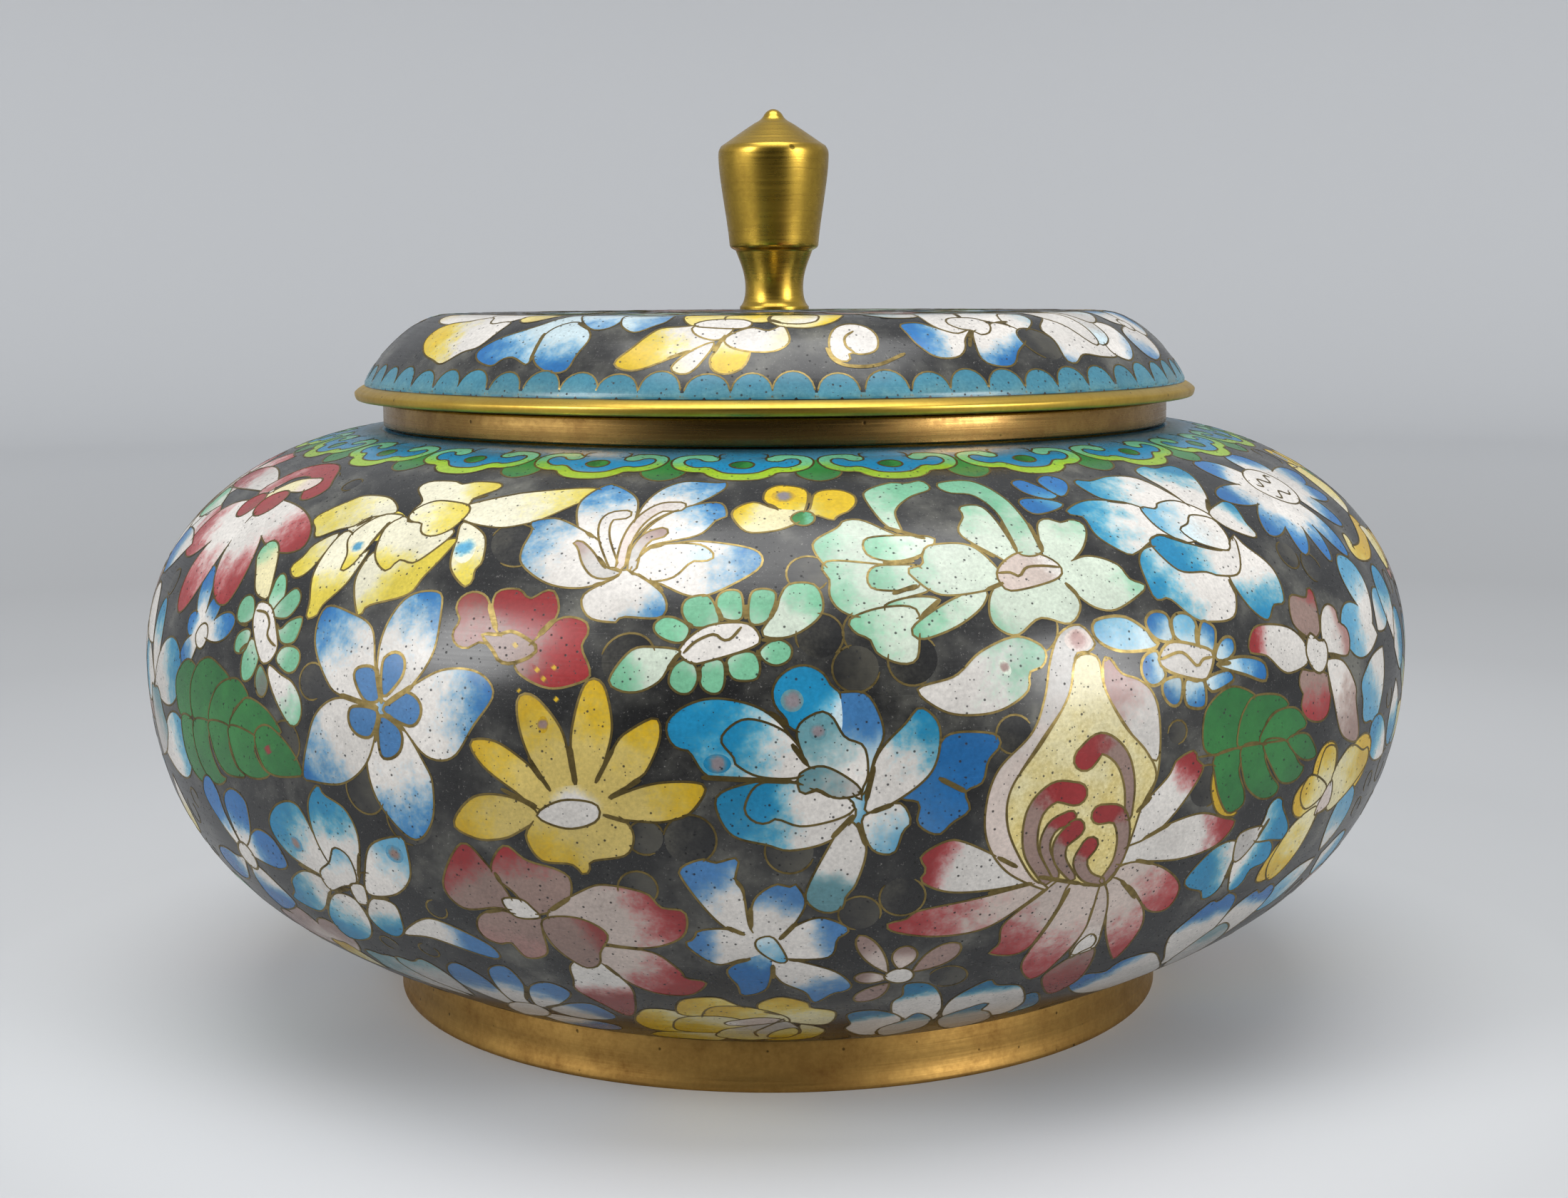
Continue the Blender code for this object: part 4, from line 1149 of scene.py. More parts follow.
def red_peony(sheet):
    """The dusky red peony, low in front."""
    board = sheet(-14)
    heart = (-7.4, 64)
    bunch = board.picture.next_bunch()
    petals(board, heart, ("dusk", "red"), [
        [(-8.6, 62.4), (-10.9, 58.4), (-13.5, 56.6), (-16.5, 61.8), (-14.6, 64.8), (-10.6, 64.2),
         (-8.6, 64.2)],
        [(-8, 62), (-10.3, 59.4), (-8.4, 56.3), (-6, 57.8), (-2.8, 58.6), (-1.4, 59.8), (-2.2, 62.6),
         (-6, 64.6)]],
        (0.45, 0.95), bunch)
    petals(board, heart, ("dusk", "rose"), [
        [(-5.7, 64.6), (-8.4, 64.8), (-10, 64.5), (-12, 65), (-13.2, 66.2), (-13.5, 67.8),
         (-12.8, 69.2), (-11.2, 69.8), (-9.9, 69.4), (-8.6, 71.8), (-6, 70.6), (-5.7, 67)]],
        (0.3, 1.0), bunch)
    petals(board, (-2, 66), ("rose_white", "red"), [
        [(-4.4, 63.9), (0, 60.8), (2.4, 60.1), (6.4, 60.9), (7.8, 62.6), (10.2, 63.2), (9.4, 66.6),
         (5, 68.5), (-1, 67.6), (-4, 66)]], (0.45, 0.95))
    petals(board, (-1, 68), ("rose_white", "red"), [
        [(-0.6, 69), (5.6, 69), (8.2, 72), (8.6, 73.6), (10.6, 74.4), (8.2, 77.4), (4.4, 77.2),
         (1.2, 73.8)]], (0.3, 0.85))
    petals(board, (-2, 71), ("white", "brick"), [
        [(-2, 71), (-0.2, 71.4), (2, 75.8), (1.6, 80), (0.2, 84.8), (-1, 85.8), (-2.6, 82), (-4.6, 78),
         (-4.2, 75.4), (-3.8, 72.4)]],
        (0.3, 0.6))
    petals(board, (-5, 70), ("dusk", "brick"), [
        [(-5.4, 65.3), (-1.4, 64.6), (1.5, 66.6), (0.2, 69.6), (-0.2, 71.4), (-1.2, 72.5), (-2.6, 72.3),
         (-5, 69)]], (0.5, 0.9))
    petals(board, heart, WHITE, [
        [(-9.6, 63), (-7.4, 62.7), (-6.2, 63.8), (-5.6, 65), (-8.4, 65.2)]])
    slits(board, 0.5, [((-9.9, 59.6), (-9.3, 61)), ((-4.2, 63.9), (-1.8, 62)), ((1.4, 68.4), (5, 68.7)),
                       ((0.2, 71.8), (1.4, 74)), ((-9.8, 64.4), (-12, 65))])


def blue_star(sheet):
    """The azure and white flower with six lobed petals, low in the middle."""
    board = sheet(0)
    heart = (-1.2, 68)
    bunch = board.picture.next_bunch()
    petals(board, heart, ("white", "azure"), [
        [(-2, 67), (-5.6, 64.6), (-9.4, 59), (-9.3, 57.6), (-7.2, 56.7), (-6, 57.1), (-3.7, 56.6),
         (-4, 59), (-3.2, 60.6), (-2.7, 64.6)],
        [(-2, 67.4), (-2.5, 64.8), (-2.1, 61.4), (0, 59.6), (1.4, 59.9), (2.2, 59.7), (3, 62.4),
         (0, 67.4)],
        [(-0.4, 68), (1.4, 65.4), (4.4, 63.8), (7.2, 65), (7.4, 66), (6.4, 66.8), (5.4, 69.7),
         (0.2, 69.6)],
        [(-0.4, 69.6), (5.6, 71.8), (7.9, 74.8), (7.4, 76.4), (6, 77), (4.1, 79.2), (3, 76.4),
         (0.4, 73.8)],
        [(-2, 66.6), (-3.4, 66.4), (-5, 65.3), (-7.8, 65.6), (-8.4, 66.8), (-9.2, 67.8), (-6.2, 70.8),
         (-3.6, 69.9), (-1.6, 69.4)]],
        (0.45, 0.85), bunch)
    petals(board, heart, ("ice", "blue"), [
        [(-1.4, 69), (-5, 71.6), (-4, 75), (-3.5, 77.2), (-1, 75.6), (-0.4, 70)]], (-0.1, 0.4), bunch)
    petals(board, (-1, 66.6), ("ice", "sky"), [
        [(-1.9, 66.8), (-0.2, 66.5), (1.2, 69.9), (0.2, 70.4), (-1.8, 68.4)]], (0, 1.2))
    slits(board, 0.55, [
        ((-3.1, 66.1), (-5, 65)), ((-2.5, 65.2), (-2.5, 62.4)), ((0.4, 66.8), (2.2, 64.4)),
        ((-0.3, 70.8), (-0.3, 73.4)), ((-2.6, 69.8), (-4.8, 70.7)), ((1.4, 70), (3.4, 70.1))])


def mauve_daisy(sheet):
    """The small dusky daisy beside the blue one."""
    board = sheet(0)
    board.petal((11.8, 73), (8.6, 66.4), 2.3, MAUVE, "drop")
    board.petal((13, 72.4), (13.8, 68.4), 2.7, MAUVE, "drop")
    board.petal((14.4, 73), (19.4, 68.6), 3.0, ("dusk", "mauve"), "drop")
    board.petal((12, 74), (8.2, 73.6), 2.3, ("warm_white", "dusk"), "drop")
    board.petal((12, 75), (8.6, 79.4), 2.7, ("dusk", "mauve"), "drop")
    board.oval((13, 73.7), 3.2, 3.0, 0, WHITE)


def turquoise_flower(sheet):
    """The turquoise flower with an oval heart, low on the left."""
    board = sheet(-38)
    heart = (3.8, 65.2)
    petals(board, heart, TEAL, [
        [(0.8, 62), (-1.6, 55.4), (-5.6, 55.6), (-8.2, 58.6), (-6, 62), (0, 64)],
        [(1, 62), (-0.2, 58), (0.1, 54.4), (2.1, 52.2), (2.9, 53.2), (5.9, 54.6), (6.9, 58),
         (4.8, 63.4), (3, 63.6)]], (0.35, 0.9))
    stain(board, (-4, 60.2), 2.2, 2.0, ("mauve", "sky"))
    petals(board, heart, ("white", "sky"), [
        [(6.6, 61.4), (8.6, 58.2), (12.6, 56.7), (13.5, 57.6), (12.8, 61.6), (9.6, 64.4), (5.4, 65)]],
        (0.4, 1.0))
    stain(board, (11.6, 58.9), 2.4, 2.2, ("dusk", "sky"))
    petals(board, heart, TEAL, [
        [(5.8, 65.6), (8.8, 66), (8.2, 69.2), (7, 71), (5.4, 71.8), (4, 71.2), (3.3, 69.6), (3.6, 68)],
        [(2.6, 66.4), (-0.8, 66.4), (-4.8, 71), (-4.6, 75), (0, 73.6), (2.8, 70)],
        [(-1.2, 64.4), (-4.4, 63.8), (-8, 65.8), (-9, 67.8), (-10.4, 69.4), (-6, 70.4), (-1.2, 66.2)]],
        (0.2, 0.8))
    petals(board, heart, ("white", "sky"), [
        [(-1.4, 63.4), (1, 61.6), (2.6, 59.5), (4.6, 60.4), (4.4, 63.6), (1.6, 64.8), (-1, 65.8)]],
        (0.3, 1.1))
    petals(board, heart, WHITE, [
        [(3, 64.3), (5.2, 64), (4.6, 66.5), (3.6, 67), (2.8, 66.6)]])
    slits(board, 0.5, [((-5, 63), (-2.2, 63.7)), ((6.4, 59.6), (5, 63)), ((5.6, 65.5), (8.4, 65.2)),
                       ((-1.2, 66.1), (-4.2, 69.6)), ((2.6, 64.9), (-0.4, 65.9)),
                       ((3.3, 67.4), (3.1, 69.6))])


def blue_crescent(sheet):
    """The lone crescent below the turquoise flower."""
    board = sheet(-38)
    petals(board, (8, 70.6), ("white", "azure"), [
        [(7.4, 70.8), (11.4, 67.7), (14.4, 67.4), (19, 70.2), (18.4, 72.8), (11.6, 70.6)]],
        (0.45, 0.75))


def blue_ring_flower(sheet):
    """The blue flower with a round white heart, low on the left."""
    board = sheet(-38)
    heart = (-16.9, 64.5)
    petals(board, heart, BLUE, [
        [(-15.4, 62.6), (-11.6, 59.8), (-8.4, 60.4), (-7.3, 63.2), (-8.4, 64.4), (-11, 64.8),
         (-15.6, 64)],
        [(-16.6, 63), (-17.8, 58.6), (-17.4, 56.6), (-15.4, 55.4), (-13.4, 55.6), (-12.2, 57),
         (-13.4, 60.8)],
        [(-16, 65.6), (-14, 66.4), (-11.2, 69.6), (-12, 71.4), (-16.6, 73.4), (-18.4, 72), (-18.6, 69),
         (-17.6, 66.4)],
        [(-18, 63.4), (-22, 59.6), (-23.4, 57.4), (-22.4, 55.4), (-20.6, 54.8), (-19, 56.4),
         (-18.6, 58.8), (-17.4, 62.4)],
        [(-18.4, 65.4), (-20.6, 65.4), (-23.4, 65), (-26.4, 65.6), (-27.8, 67.4), (-26.6, 69.4),
         (-24, 70), (-21, 69)]], (0.15, 0.6))
    board.oval(heart, 3.9, 3.9, 0, WHITE, wire=0.34)


def bottom_peony(sheet):
    """The yellow peony at the foot of the belly."""
    board = sheet(6)
    heart = (-8, 86)
    petals(board, heart, ("cream", "yellow"), [
        [(-15, 84), (-18, 82.6), (-20, 82), (-21.8, 83), (-22.4, 88), (-20, 93.4), (-15, 93.4)],
        [(-11.9, 79.4), (-14, 77.8), (-17.4, 78.8), (-18, 82), (-17, 84), (-13, 85), (-9, 83)],
        [(-9.2, 79.4), (-7, 77.6), (-4, 79.2), (-3.4, 80.8), (-0.6, 82.6), (-1.2, 87.8), (-5.6, 86),
         (-7, 83.2), (-8.8, 81.6)],
        [(-12, 93.6), (-12, 99.6), (-16, 100), (-20, 98.6), (-19.8, 95.4), (-18, 94)],
        [(-3.9, 87.4), (-1, 90.6), (-1.2, 95.6), (-2.6, 98), (-5, 99), (-7, 98), (-5, 95), (-3.8, 92)],
        [(-15, 84.6), (-14.2, 80.8), (-10.6, 80.4), (-7.2, 82.4), (-5.4, 85), (-6, 88), (-10, 90),
         (-14, 88)],
        [(-13, 84), (-17, 84.8), (-18, 88.4), (-17, 92.8), (-12, 93), (-10, 90), (-10, 86)]],
        (0.1, 0.95))
    petals(board, heart, ("grey_white", "pale_yellow"), [
        [(-12.6, 96), (-12.4, 91.4), (-11, 89.4), (-6.2, 86), (-4.6, 87.6), (-3.6, 91), (-3.8, 94),
         (-6, 97), (-9, 98.6)]], (0.1, 1.1))
    petals(board, heart, ("pale_yellow", "yellow"), [
        [(-6.8, 96), (-6.8, 93), (-6, 90.6), (-4.6, 89.2), (-3.8, 91), (-3.8, 94), (-4.8, 96.4)]])
    petals(board, heart, ("rose_white", "white"), [
        [(-12.3, 87.4), (-11.9, 86), (-8.4, 84.2), (-5.8, 85.6), (-9, 87.7), (-11.2, 88.1)]])
    board.line([(-6, 84.6), (-7.6, 88.6), (-8.6, 92), (-8, 95.4)], 0.3)
    slits(board, 0.5, [((-8.4, 82), (-6.5, 83.2)), ((-4.2, 87), (-2.4, 88.2))])


def teal_tipped_flower(sheet):
    """The white flower with teal tips at the foot of the belly."""
    board = sheet(6)
    heart = (12, 98)
    petals(board, heart, ("white", "deep_teal"), [
        [(6.2, 75.6), (9, 76), (10.8, 80), (11.6, 86.6), (11, 90), (9, 90), (6.2, 85.4), (5.3, 80.4),
         (6.2, 78.4)],
        [(0.8, 83.6), (3.4, 82.5), (6.2, 84.6), (7.4, 88.4), (5.4, 93.6), (5.6, 97), (3.6, 96.2),
         (1.4, 91), (1.6, 88)],
        [(11.8, 86.4), (12.2, 80.6), (15.6, 76.4), (17, 78), (20, 79.2), (21.8, 85), (21.6, 89),
         (20.4, 92), (17, 91), (13.6, 90)]], (0.68, 0.86))
    petals(board, heart, ("grey_white", "deep_teal"), [
        [(5.4, 92.6), (7.6, 88), (8.8, 84.9), (11, 88.6), (10.8, 94), (9, 97.6), (6.6, 98.6)],
        [(12, 90.4), (12.6, 87.4), (15.8, 84), (17.1, 84.2), (16.8, 87), (18, 88.6), (19.4, 94),
         (18.6, 98), (15.6, 99.6), (13.4, 96)]],
        (0.5, 1.05))
    slits(board, 0.5, [((11.6, 83), (11.4, 86.6)), ((7.4, 86.6), (7.4, 88)),
                       ((11.5, 89.6), (11.5, 92.6))])


def low_right_flowers(sheet):
    """Three flowers that lie low on the right: blue and grey, blue and white, and yellow."""
    board = sheet(30)
    heart = (13, 60.8)
    petals(board, heart, ("white", "turquoise"), [
        [(12, 60), (8.4, 60.2), (5.4, 63.4), (6.2, 65), (8.6, 66), (9.6, 67.4), (11, 67.2), (11.9, 66),
         (12, 64)],
        [(12.6, 62.6), (16.4, 60.6), (18.8, 61.4), (19.4, 63), (18.6, 64.2), (16.4, 64.6), (16, 66.2),
         (15, 67.2), (13.6, 66.8)],
        [(15, 60.4), (16, 58), (16.4, 56.4), (17.6, 55.6), (18.8, 56), (19.2, 57), (21.4, 59.8),
         (21, 61.4), (18.4, 61)]], (0.05, 0.6))
    petals(board, heart, ("grey_white", "white"), [
        [(12.2, 59), (16.2, 58.9), (14.4, 61.8), (12.8, 62.8), (12, 61.6)]])
    slits(board, 0.5, [((12.3, 63), (12.4, 65)), ((15.6, 60), (17, 58))])
    heart = (14, 88)
    petals(board, heart, ("white", "deep_teal"), [
        [(-6.6, 82.6), (-5, 82.8), (-1.8, 88), (-1.6, 91), (-3.6, 92), (-6.2, 85.6)]], (-0.6, 0.4))
    petals(board, heart, ("white", "blue"), [
        [(17, 78), (16.9, 71.6), (20, 68.8), (21.6, 69.6), (23.2, 68.6), (25, 70), (25, 73), (23.6, 76),
         (20.6, 80)],
        [(8.2, 72.4), (11.4, 68.4), (13, 68.6), (14.4, 67.6), (16.6, 69.6), (16.4, 76), (16, 80),
         (13.6, 83), (12, 80.4), (8.8, 75.6)],
        [(-1, 79), (2, 79.4), (2.4, 77.8), (3.6, 76.6), (7.4, 76.6), (11, 80), (16, 86), (17, 90),
         (14, 92), (8, 90), (3, 87), (-1.4, 82)]], (0.66, 0.86))
    petals(board, heart, ("grey_white", "pale_teal"), [
        [(14.4, 82), (15, 77), (17.6, 74), (21, 76.4), (22, 80), (21, 86), (17, 86)]], (0.4, 1.2))
    board = sheet(44)
    petals(board, (8.6, 58), ("cream", "yellow"), [
        [(8.4, 57), (7, 55.6), (5.6, 54.4), (6.6, 51.3), (9.4, 51.8), (9.6, 55.4)],
        [(7.6, 57.4), (4.4, 58.2), (2.5, 56), (4.2, 54), (8.4, 56)],
        [(9.5, 55), (12, 52.6), (14.4, 52.2), (17.6, 53.4), (19.4, 53.4), (20.4, 54.4), (19.8, 56),
         (15, 58.4), (10.4, 59.6)],
        [(7.4, 58.4), (2.6, 59.8), (0.6, 63.8), (1.4, 66.4), (3.4, 67.6), (5.6, 65.8), (7.2, 62)]],
        (0.2, 1.1))
    petals(board, (8.6, 58), ("warm_white", "white"), [
        [(9.6, 55.6), (10.4, 58.6), (7.6, 59.6), (7.2, 59), (7.8, 57.4)]])


def low_left_flowers(sheet):
    """Flowers at the foot of the belly on the left."""
    board = sheet(-33)
    bloom(board, MAUVE, [
        (-16, 79, -26.5, 75.5, 6), (-16, 79, -21, 71.5, 6), (-14, 80, -13, 72, 6)], ease=(0.1, 0.8))
    board.petal((-12, 84), (-17, 78), 5.6, YELLOW, "frill")
    bloom(board, GREY_TEAL, [
        (-1, 88, -10, 78, 8, "frill"), (0, 87, -2.6, 75.2, 7, "heart")], open_heart=False,
        ease=(0.4, 1.1))
    board = sheet(-14)
    petals(board, (-14, 89), ("white", "azure"), [
        [(-15.2, 85), (-15.2, 81.4), (-14.6, 75.6), (-12, 74.2), (-11, 78), (-12.4, 83), (-12.8, 86)],
        [(-12, 85.4), (-10.6, 79), (-7.6, 76.8), (-5.6, 79.2), (-8.4, 83.8), (-10.6, 86.2)],
        [(-10.6, 87), (-8, 83.8), (-5.4, 82.2), (-3.6, 82.6), (-2.4, 86.4), (-4, 89), (-8, 90)],
        [(-15.8, 88), (-20, 83), (-21, 79.4), (-20.4, 76.4), (-18.4, 75.2), (-15.8, 78.4), (-15.2, 84)],
        [(-12, 90), (-8, 90.4), (-5, 91.6), (-4, 94), (-5.4, 97), (-9, 98.6), (-12.6, 97),
         (-13.6, 93)]],
        (0.35, 0.72))
    board.petal((-17.6, 96), (-12.4, 85.4), 5.4, WHITE)
    slits(board, 0.5, [((-12.4, 83.4), (-10.8, 78.6)), ((-10.8, 86), (-8, 83.6))])


def edge_flowers(sheet):
    """The flowers that curve away at the left and right edges of the view."""
    board = sheet(-66)
    daisy(board, BLUE, ((18, 38.5), (18.6, 38.5)), [
        (13.2, 30.4, 3.2), (19.6, 33.4, 3.2), (25.4, 36.1, 3.4), (13.2, 37, 3), (13, 42.6, 3.4)])
    board.oval((18.3, 38.6), 3.2, 3, 0, WHITE)
    bloom(board, RED, [
        (11, 20, 29.4, 26.2, 5.4), (10, 21, -1.6, 29.4, 8), (10, 19, -13.4, 19.5, 5, "drop", 0.08),
        (12, 21, 21.8, 34.4, 7), (11, 21, 9, 37, 7)], ease=(0.4, 0.95))
    board.stroke([(7, 18.4), (8.6, 14.6), (13.5, 13.6), (19, 17.6)], 3.2, 3.6, RED, (-0.3, 0.5))
    board.stroke([(10, 20.4), (12, 17.4), (15.6, 16.6)], 2.4, 3.2, ("cream", "warm_white"))
    board.oval((8, 21.5), 4.6, 4.4, 0, ("red", "brick"))
    board.oval((12.6, 20.6), 5.2, 4.8, 0, ("red", "brick"))
    board.petal((-3, 23), (-13.4, 23.4), 5.4, MINT, "heart")
    board.petal((0, 29), (-12.4, 31.6), 6.4, BLUE, "frill")
    bloom(board, TEAL, [
        (2, 47, 1.5, 36, 5), (1, 47, 13.4, 42.2, 8), (3, 55, 15, 51.2, 8), (1, 46, -8.6, 45.5, 8),
        (-1, 56, 3.2, 47.4, 9, "frill", 0, GREY_TEAL)], open_heart=False, ease=(0.4, 1.0))
    board.petal((-1, 42), (-9.6, 36.4), 6.4, WHITE)
    board.petal((2, 58), (2.6, 66), 5.4, PALE_YELLOW)
    daisy(board, MINT, ((2, 77), (3, 77)), [
        (-5, 71, 5), (2, 68.6, 4.6), (9, 71.6, 5), (11, 78.6, 5), (5, 85.4, 5.4), (-4, 83.6, 5)])
    board.oval((2.5, 77.2), 4.6, 3.6, 0, WHITE)
    board = sheet(66)
    daisy(board, BLUE, ((-12, 19), (-9, 18.2)), [
        (-24.8, 19.3, 4), (-23.8, 25.7, 3.6), (-20.2, 29, 3.4), (-15, 30.6, 3.2), (-8.8, 30.6, 4.2),
        (-2.2, 26.8, 4.2), (3.4, 22.6, 3.6), (4.9, 18, 4.2), (-18.2, 12.2, 6), (-4.8, 11.8, 7)],
        ease=(0.45, 0.85))
    board.oval((-10.5, 18.6), 9, 7.2, 0, WHITE)
    squiggle(board, (-13.6, 18), (-7.4, 17.2), 4, 0.6)
    squiggle(board, (-13, 20.4), (-8, 20), 3, 0.5)
    board.stroke([(-5, 28.5), (-5.6, 30.4), (0, 30.6), (6, 27.6)], 1.6, 3, YELLOW, (-0.2, 0.6))
    bloom(board, PALE_YELLOW, [(6, 26, 12, 18, 8, "frill"), (6, 28, 10.6, 34, 6)], ease=(-0.3, 0.8))
    bloom(board, SKY, [
        (-10.5, 39, -12, 30, 6.6), (-9.4, 40.4, -19.9, 38, 6.6), (-9, 40, -3.6, 36, 5),
        (-8, 42, -14.8, 49.4, 8, "frill")])
    bloom(board, TEAL, [
        (-2, 42, -1.5, 32.6, 6), (-2, 43, 5, 42, 8), (-1, 47, 0, 55.4, 6.6), (-3, 56, -12, 50.8, 5.2)],
        open_heart=False)
    bloom(board, YELLOW, [
        (-22, 57, -25.8, 51, 5.6), (-23, 58, -30, 56, 4.6), (-22, 58, -10.8, 53.2, 7),
        (-23, 58, -30, 67, 6)], ease=(0.2, 0.8))
    board.oval((-22.4, 57.6), 4.4, 3.4, 30, WHITE)
    bloom(board, SKY, [
        (-16, 66, -14.6, 57.6, 6.4), (-16, 67, -22.4, 73.6, 7), (-14, 67, -6, 69, 6.6)],
        ease=(0.1, 0.8))
    daisy(board, MAUVE, ((-3, 77), (-2, 77)), [
        (-9, 71, 4.6), (-2, 69, 4.4), (4.6, 72, 4.6), (6.6, 78.6, 4.8), (0.4, 85, 5), (-8.4, 83, 4.8)])
    board.oval((-2.6, 77), 4.4, 3.6, 0, WHITE)


def gap_flowers(sheet):
    """A column of flowers between the front and the back."""
    board = sheet(0)
    leaflets(board, (-12, 57), (10, 60), 12, 4, GREEN)
    daisy(board, YELLOW, ((-1, 20), (2, 21)), [
        (-11, 15, 5), (-4, 12, 4.4), (4, 12.4, 4.4), (11.4, 17, 5), (11, 25, 5), (3, 30, 4.8),
        (-5, 29.4, 4.6), (-11.4, 23, 4.8)])
    board.oval((0.5, 20.6), 6.4, 4, 15, WHITE)
    squiggle(board, (-1.8, 20), (2.8, 21.2), 3, 0.5)
    bloom(board, TEAL, [
        (0, 43, -3, 32.6, 7), (1, 43.4, 8.4, 35.4, 7), (1.4, 45, 12.4, 47.4, 7, "heart"),
        (0, 46, 4, 55.4, 6.6), (-1.4, 45.4, -9, 51.6, 7), (-1.6, 43.6, -12.6, 41.6, 6.6)])
    board.oval((-0.2, 44.4), 4.6, 3.6, 10, WHITE)
    bloom(board, RED, [
        (-1, 73, -9.6, 66.6, 6.6), (0, 72.4, 1, 63.6, 6.4), (1, 73, 10.6, 69.4, 6.8, "frill"),
        (1, 75, 9.4, 81, 6.6), (-0.4, 75.4, -3, 85, 6.6), (-1.8, 74.6, -11.6, 77.4, 6)],
        ease=(0.3, 0.85))
    board.oval((-0.2, 73.8), 4, 3.2, 0, WHITE)
    bloom(board, BLUE, [
        (0, 97, -8, 90, 6.4), (0.4, 97, 0.6, 87.4, 6), (1, 97, 9, 90.6, 6.4)], ease=(0.3, 0.9))


# The cloud-shaped heads: how many, where the first one is, and the right half of their lines
RUYI_HEADS = 23
RUYI_FIRST = math.radians(-3.3)
RUYI_EDGE = [
    (0, 11.6), (2.2, 11.3), (3.6, 10.3), (4.1, 9.6), (5.6, 9.5), (7.2, 8.5), (7.75, 6.6), (7.2, 4.8),
    (5.7, 3.8), (3.6, 3.7), (2.3, 4.9)]
RUYI_INSIDE = [
    (0, 9.9), (1.8, 9.6), (2.9, 8.6), (3.7, 8.0), (4.9, 8.2), (6.1, 7.3), (6.3, 6.1), (5.6, 5.2),
    (4.6, 5.5), (4.2, 6.2), (3.2, 6.3), (2.5, 5.6), (2.3, 3.2)]


def mirrored(half):
    """A closed line from its right half, which starts at the bottom."""
    return half + [(-x, y) for x, y in reversed(half) if x > 0]


def draw_cloud_collar(picture):
    """The row of cloud-shaped heads below the mouth, with a dark dot in each."""
    pitch = math.degrees(math.tau / RUYI_HEADS)
    for head in range(RUYI_HEADS):
        board = Board(picture, math.degrees(RUYI_FIRST) + head * pitch)
        half = math.pi / RUYI_HEADS
        band = [(-half, 0.3), (half, 0.3), (half, 6.2), (-half, 6.2)]
        corners = [(angle * picture.wall.radius(run), run) for angle, run in band]
        board.lay(corners, ((0, 0), (0, 6.2)), ("band", "band"), wire=0)
    for head in range(RUYI_HEADS):
        board = Board(picture, math.degrees(RUYI_FIRST) + (head + 0.5) * pitch)
        board.petal((0, 5.6), (0, 11.8), 5, ("leaf", "deep_leaf"), "drop", 0, (0.2, 1.4))
    for head in range(RUYI_HEADS):
        board = Board(picture, math.degrees(RUYI_FIRST) + head * pitch)
        board.shape(mirrored(RUYI_EDGE), ((0, 4), (0, 11.6)), ("sea", "lime"), (0.2, 0.8))
        bunch = picture.next_bunch()
        board.shape(
            mirrored(RUYI_INSIDE), ((0, 3.5), (0, 9.9)), ("band", "turquoise"), (0.1, 0.6), bunch)
        patch = [(-2.1, 0.3), (2.1, 0.3), (2.1, 4.4), (-2.1, 4.4)]
        board.lay(patch, ((0, 0), (0, 10)), ("band", "turquoise"), (0.1, 0.7), bunch, wire=0)
        board.oval((0, 7.3), 2.7, 2.3, 0, ("deep_leaf", "leaf"))


# The scallops along the lid's edge: how many, and their height in millimetres
LID_SCALLOPS = 67
SCALLOP_HEIGHT = 3.1


def draw_scallops(picture):
    """The row of small turquoise scallops along the lid's lower edge."""
    wall = picture.wall
    chance = picture.chance
    edge = wall.length - 0.3
    step = math.tau / LID_SCALLOPS
    low = wall.length - EDGE_MARGIN
    for index in range(LID_SCALLOPS):
        board = Board(picture, math.degrees(index * step))
        reach = step * wall.radius(edge) / 2
        board.lay([(-reach, edge - 0.5), (reach, edge - 0.5), (reach, low), (-reach, low)],
                  ((0, edge),), ("pale_teal", "scallop"), wire=0)
    for index in range(LID_SCALLOPS):
        board = Board(picture, math.degrees((index + 0.5 + chance.uniform(-0.06, 0.06)) * step))
        reach = step * wall.radius(edge) / 2 * chance.uniform(0.92, 1.04)
        height = SCALLOP_HEIGHT * chance.uniform(0.9, 1.08)
        turn = np.linspace(0, math.pi, 13)
        arch = [(reach * math.cos(t), edge - height * math.sin(t) ** 0.85) for t in turn]
        foot = "chipped" if chance.random() < 0.08 else "pale_teal"
        board.lay(arch, ((0, edge - height), (0, edge)), ("scallop", foot), (0.2, 1.5), wire=0)
        board.wire(np.array(arch), 0.2)


def lid_white_flower(sheet):
    """The white flower with yellow edges at the lid's left."""
    board = sheet(-60)
    petals(board, (10, 3), ("white", "straw"), [
        [(8.8, 3.2), (5, 4.7), (2, 5.4), (-2, 5), (-5, 3.4), (-4, 1), (0, -1), (6, -1.6), (9, 0.6)],
        [(8, 1.6), (9.4, 3.6), (10.6, 4.8), (12, 5.3), (13.4, 5), (15.2, 3.2), (15, 0), (12.6, -3),
         (9, -2.6)]], (0.6, 1.5))
    petals(board, (14, 4.4), ("white", "lemon"), [
        [(9.2, 3.2), (11.4, 5), (14, 4.4), (15, 5.4), (14.7, 9.2), (12.4, 10.4), (10, 12.2),
         (7.4, 11.7), (4, 10.8), (1, 8.8), (0.6, 6.6), (2.4, 5.2), (6, 4.4)]], (0.35, 0.95))
    petals(board, (14, 1), ("pale_yellow", "straw"), [
        [(14.9, 3), (16.4, 4.6), (18.4, 4.3), (19.5, 2.6), (18.6, 0), (16, -1)]], (0.2, 1.0))


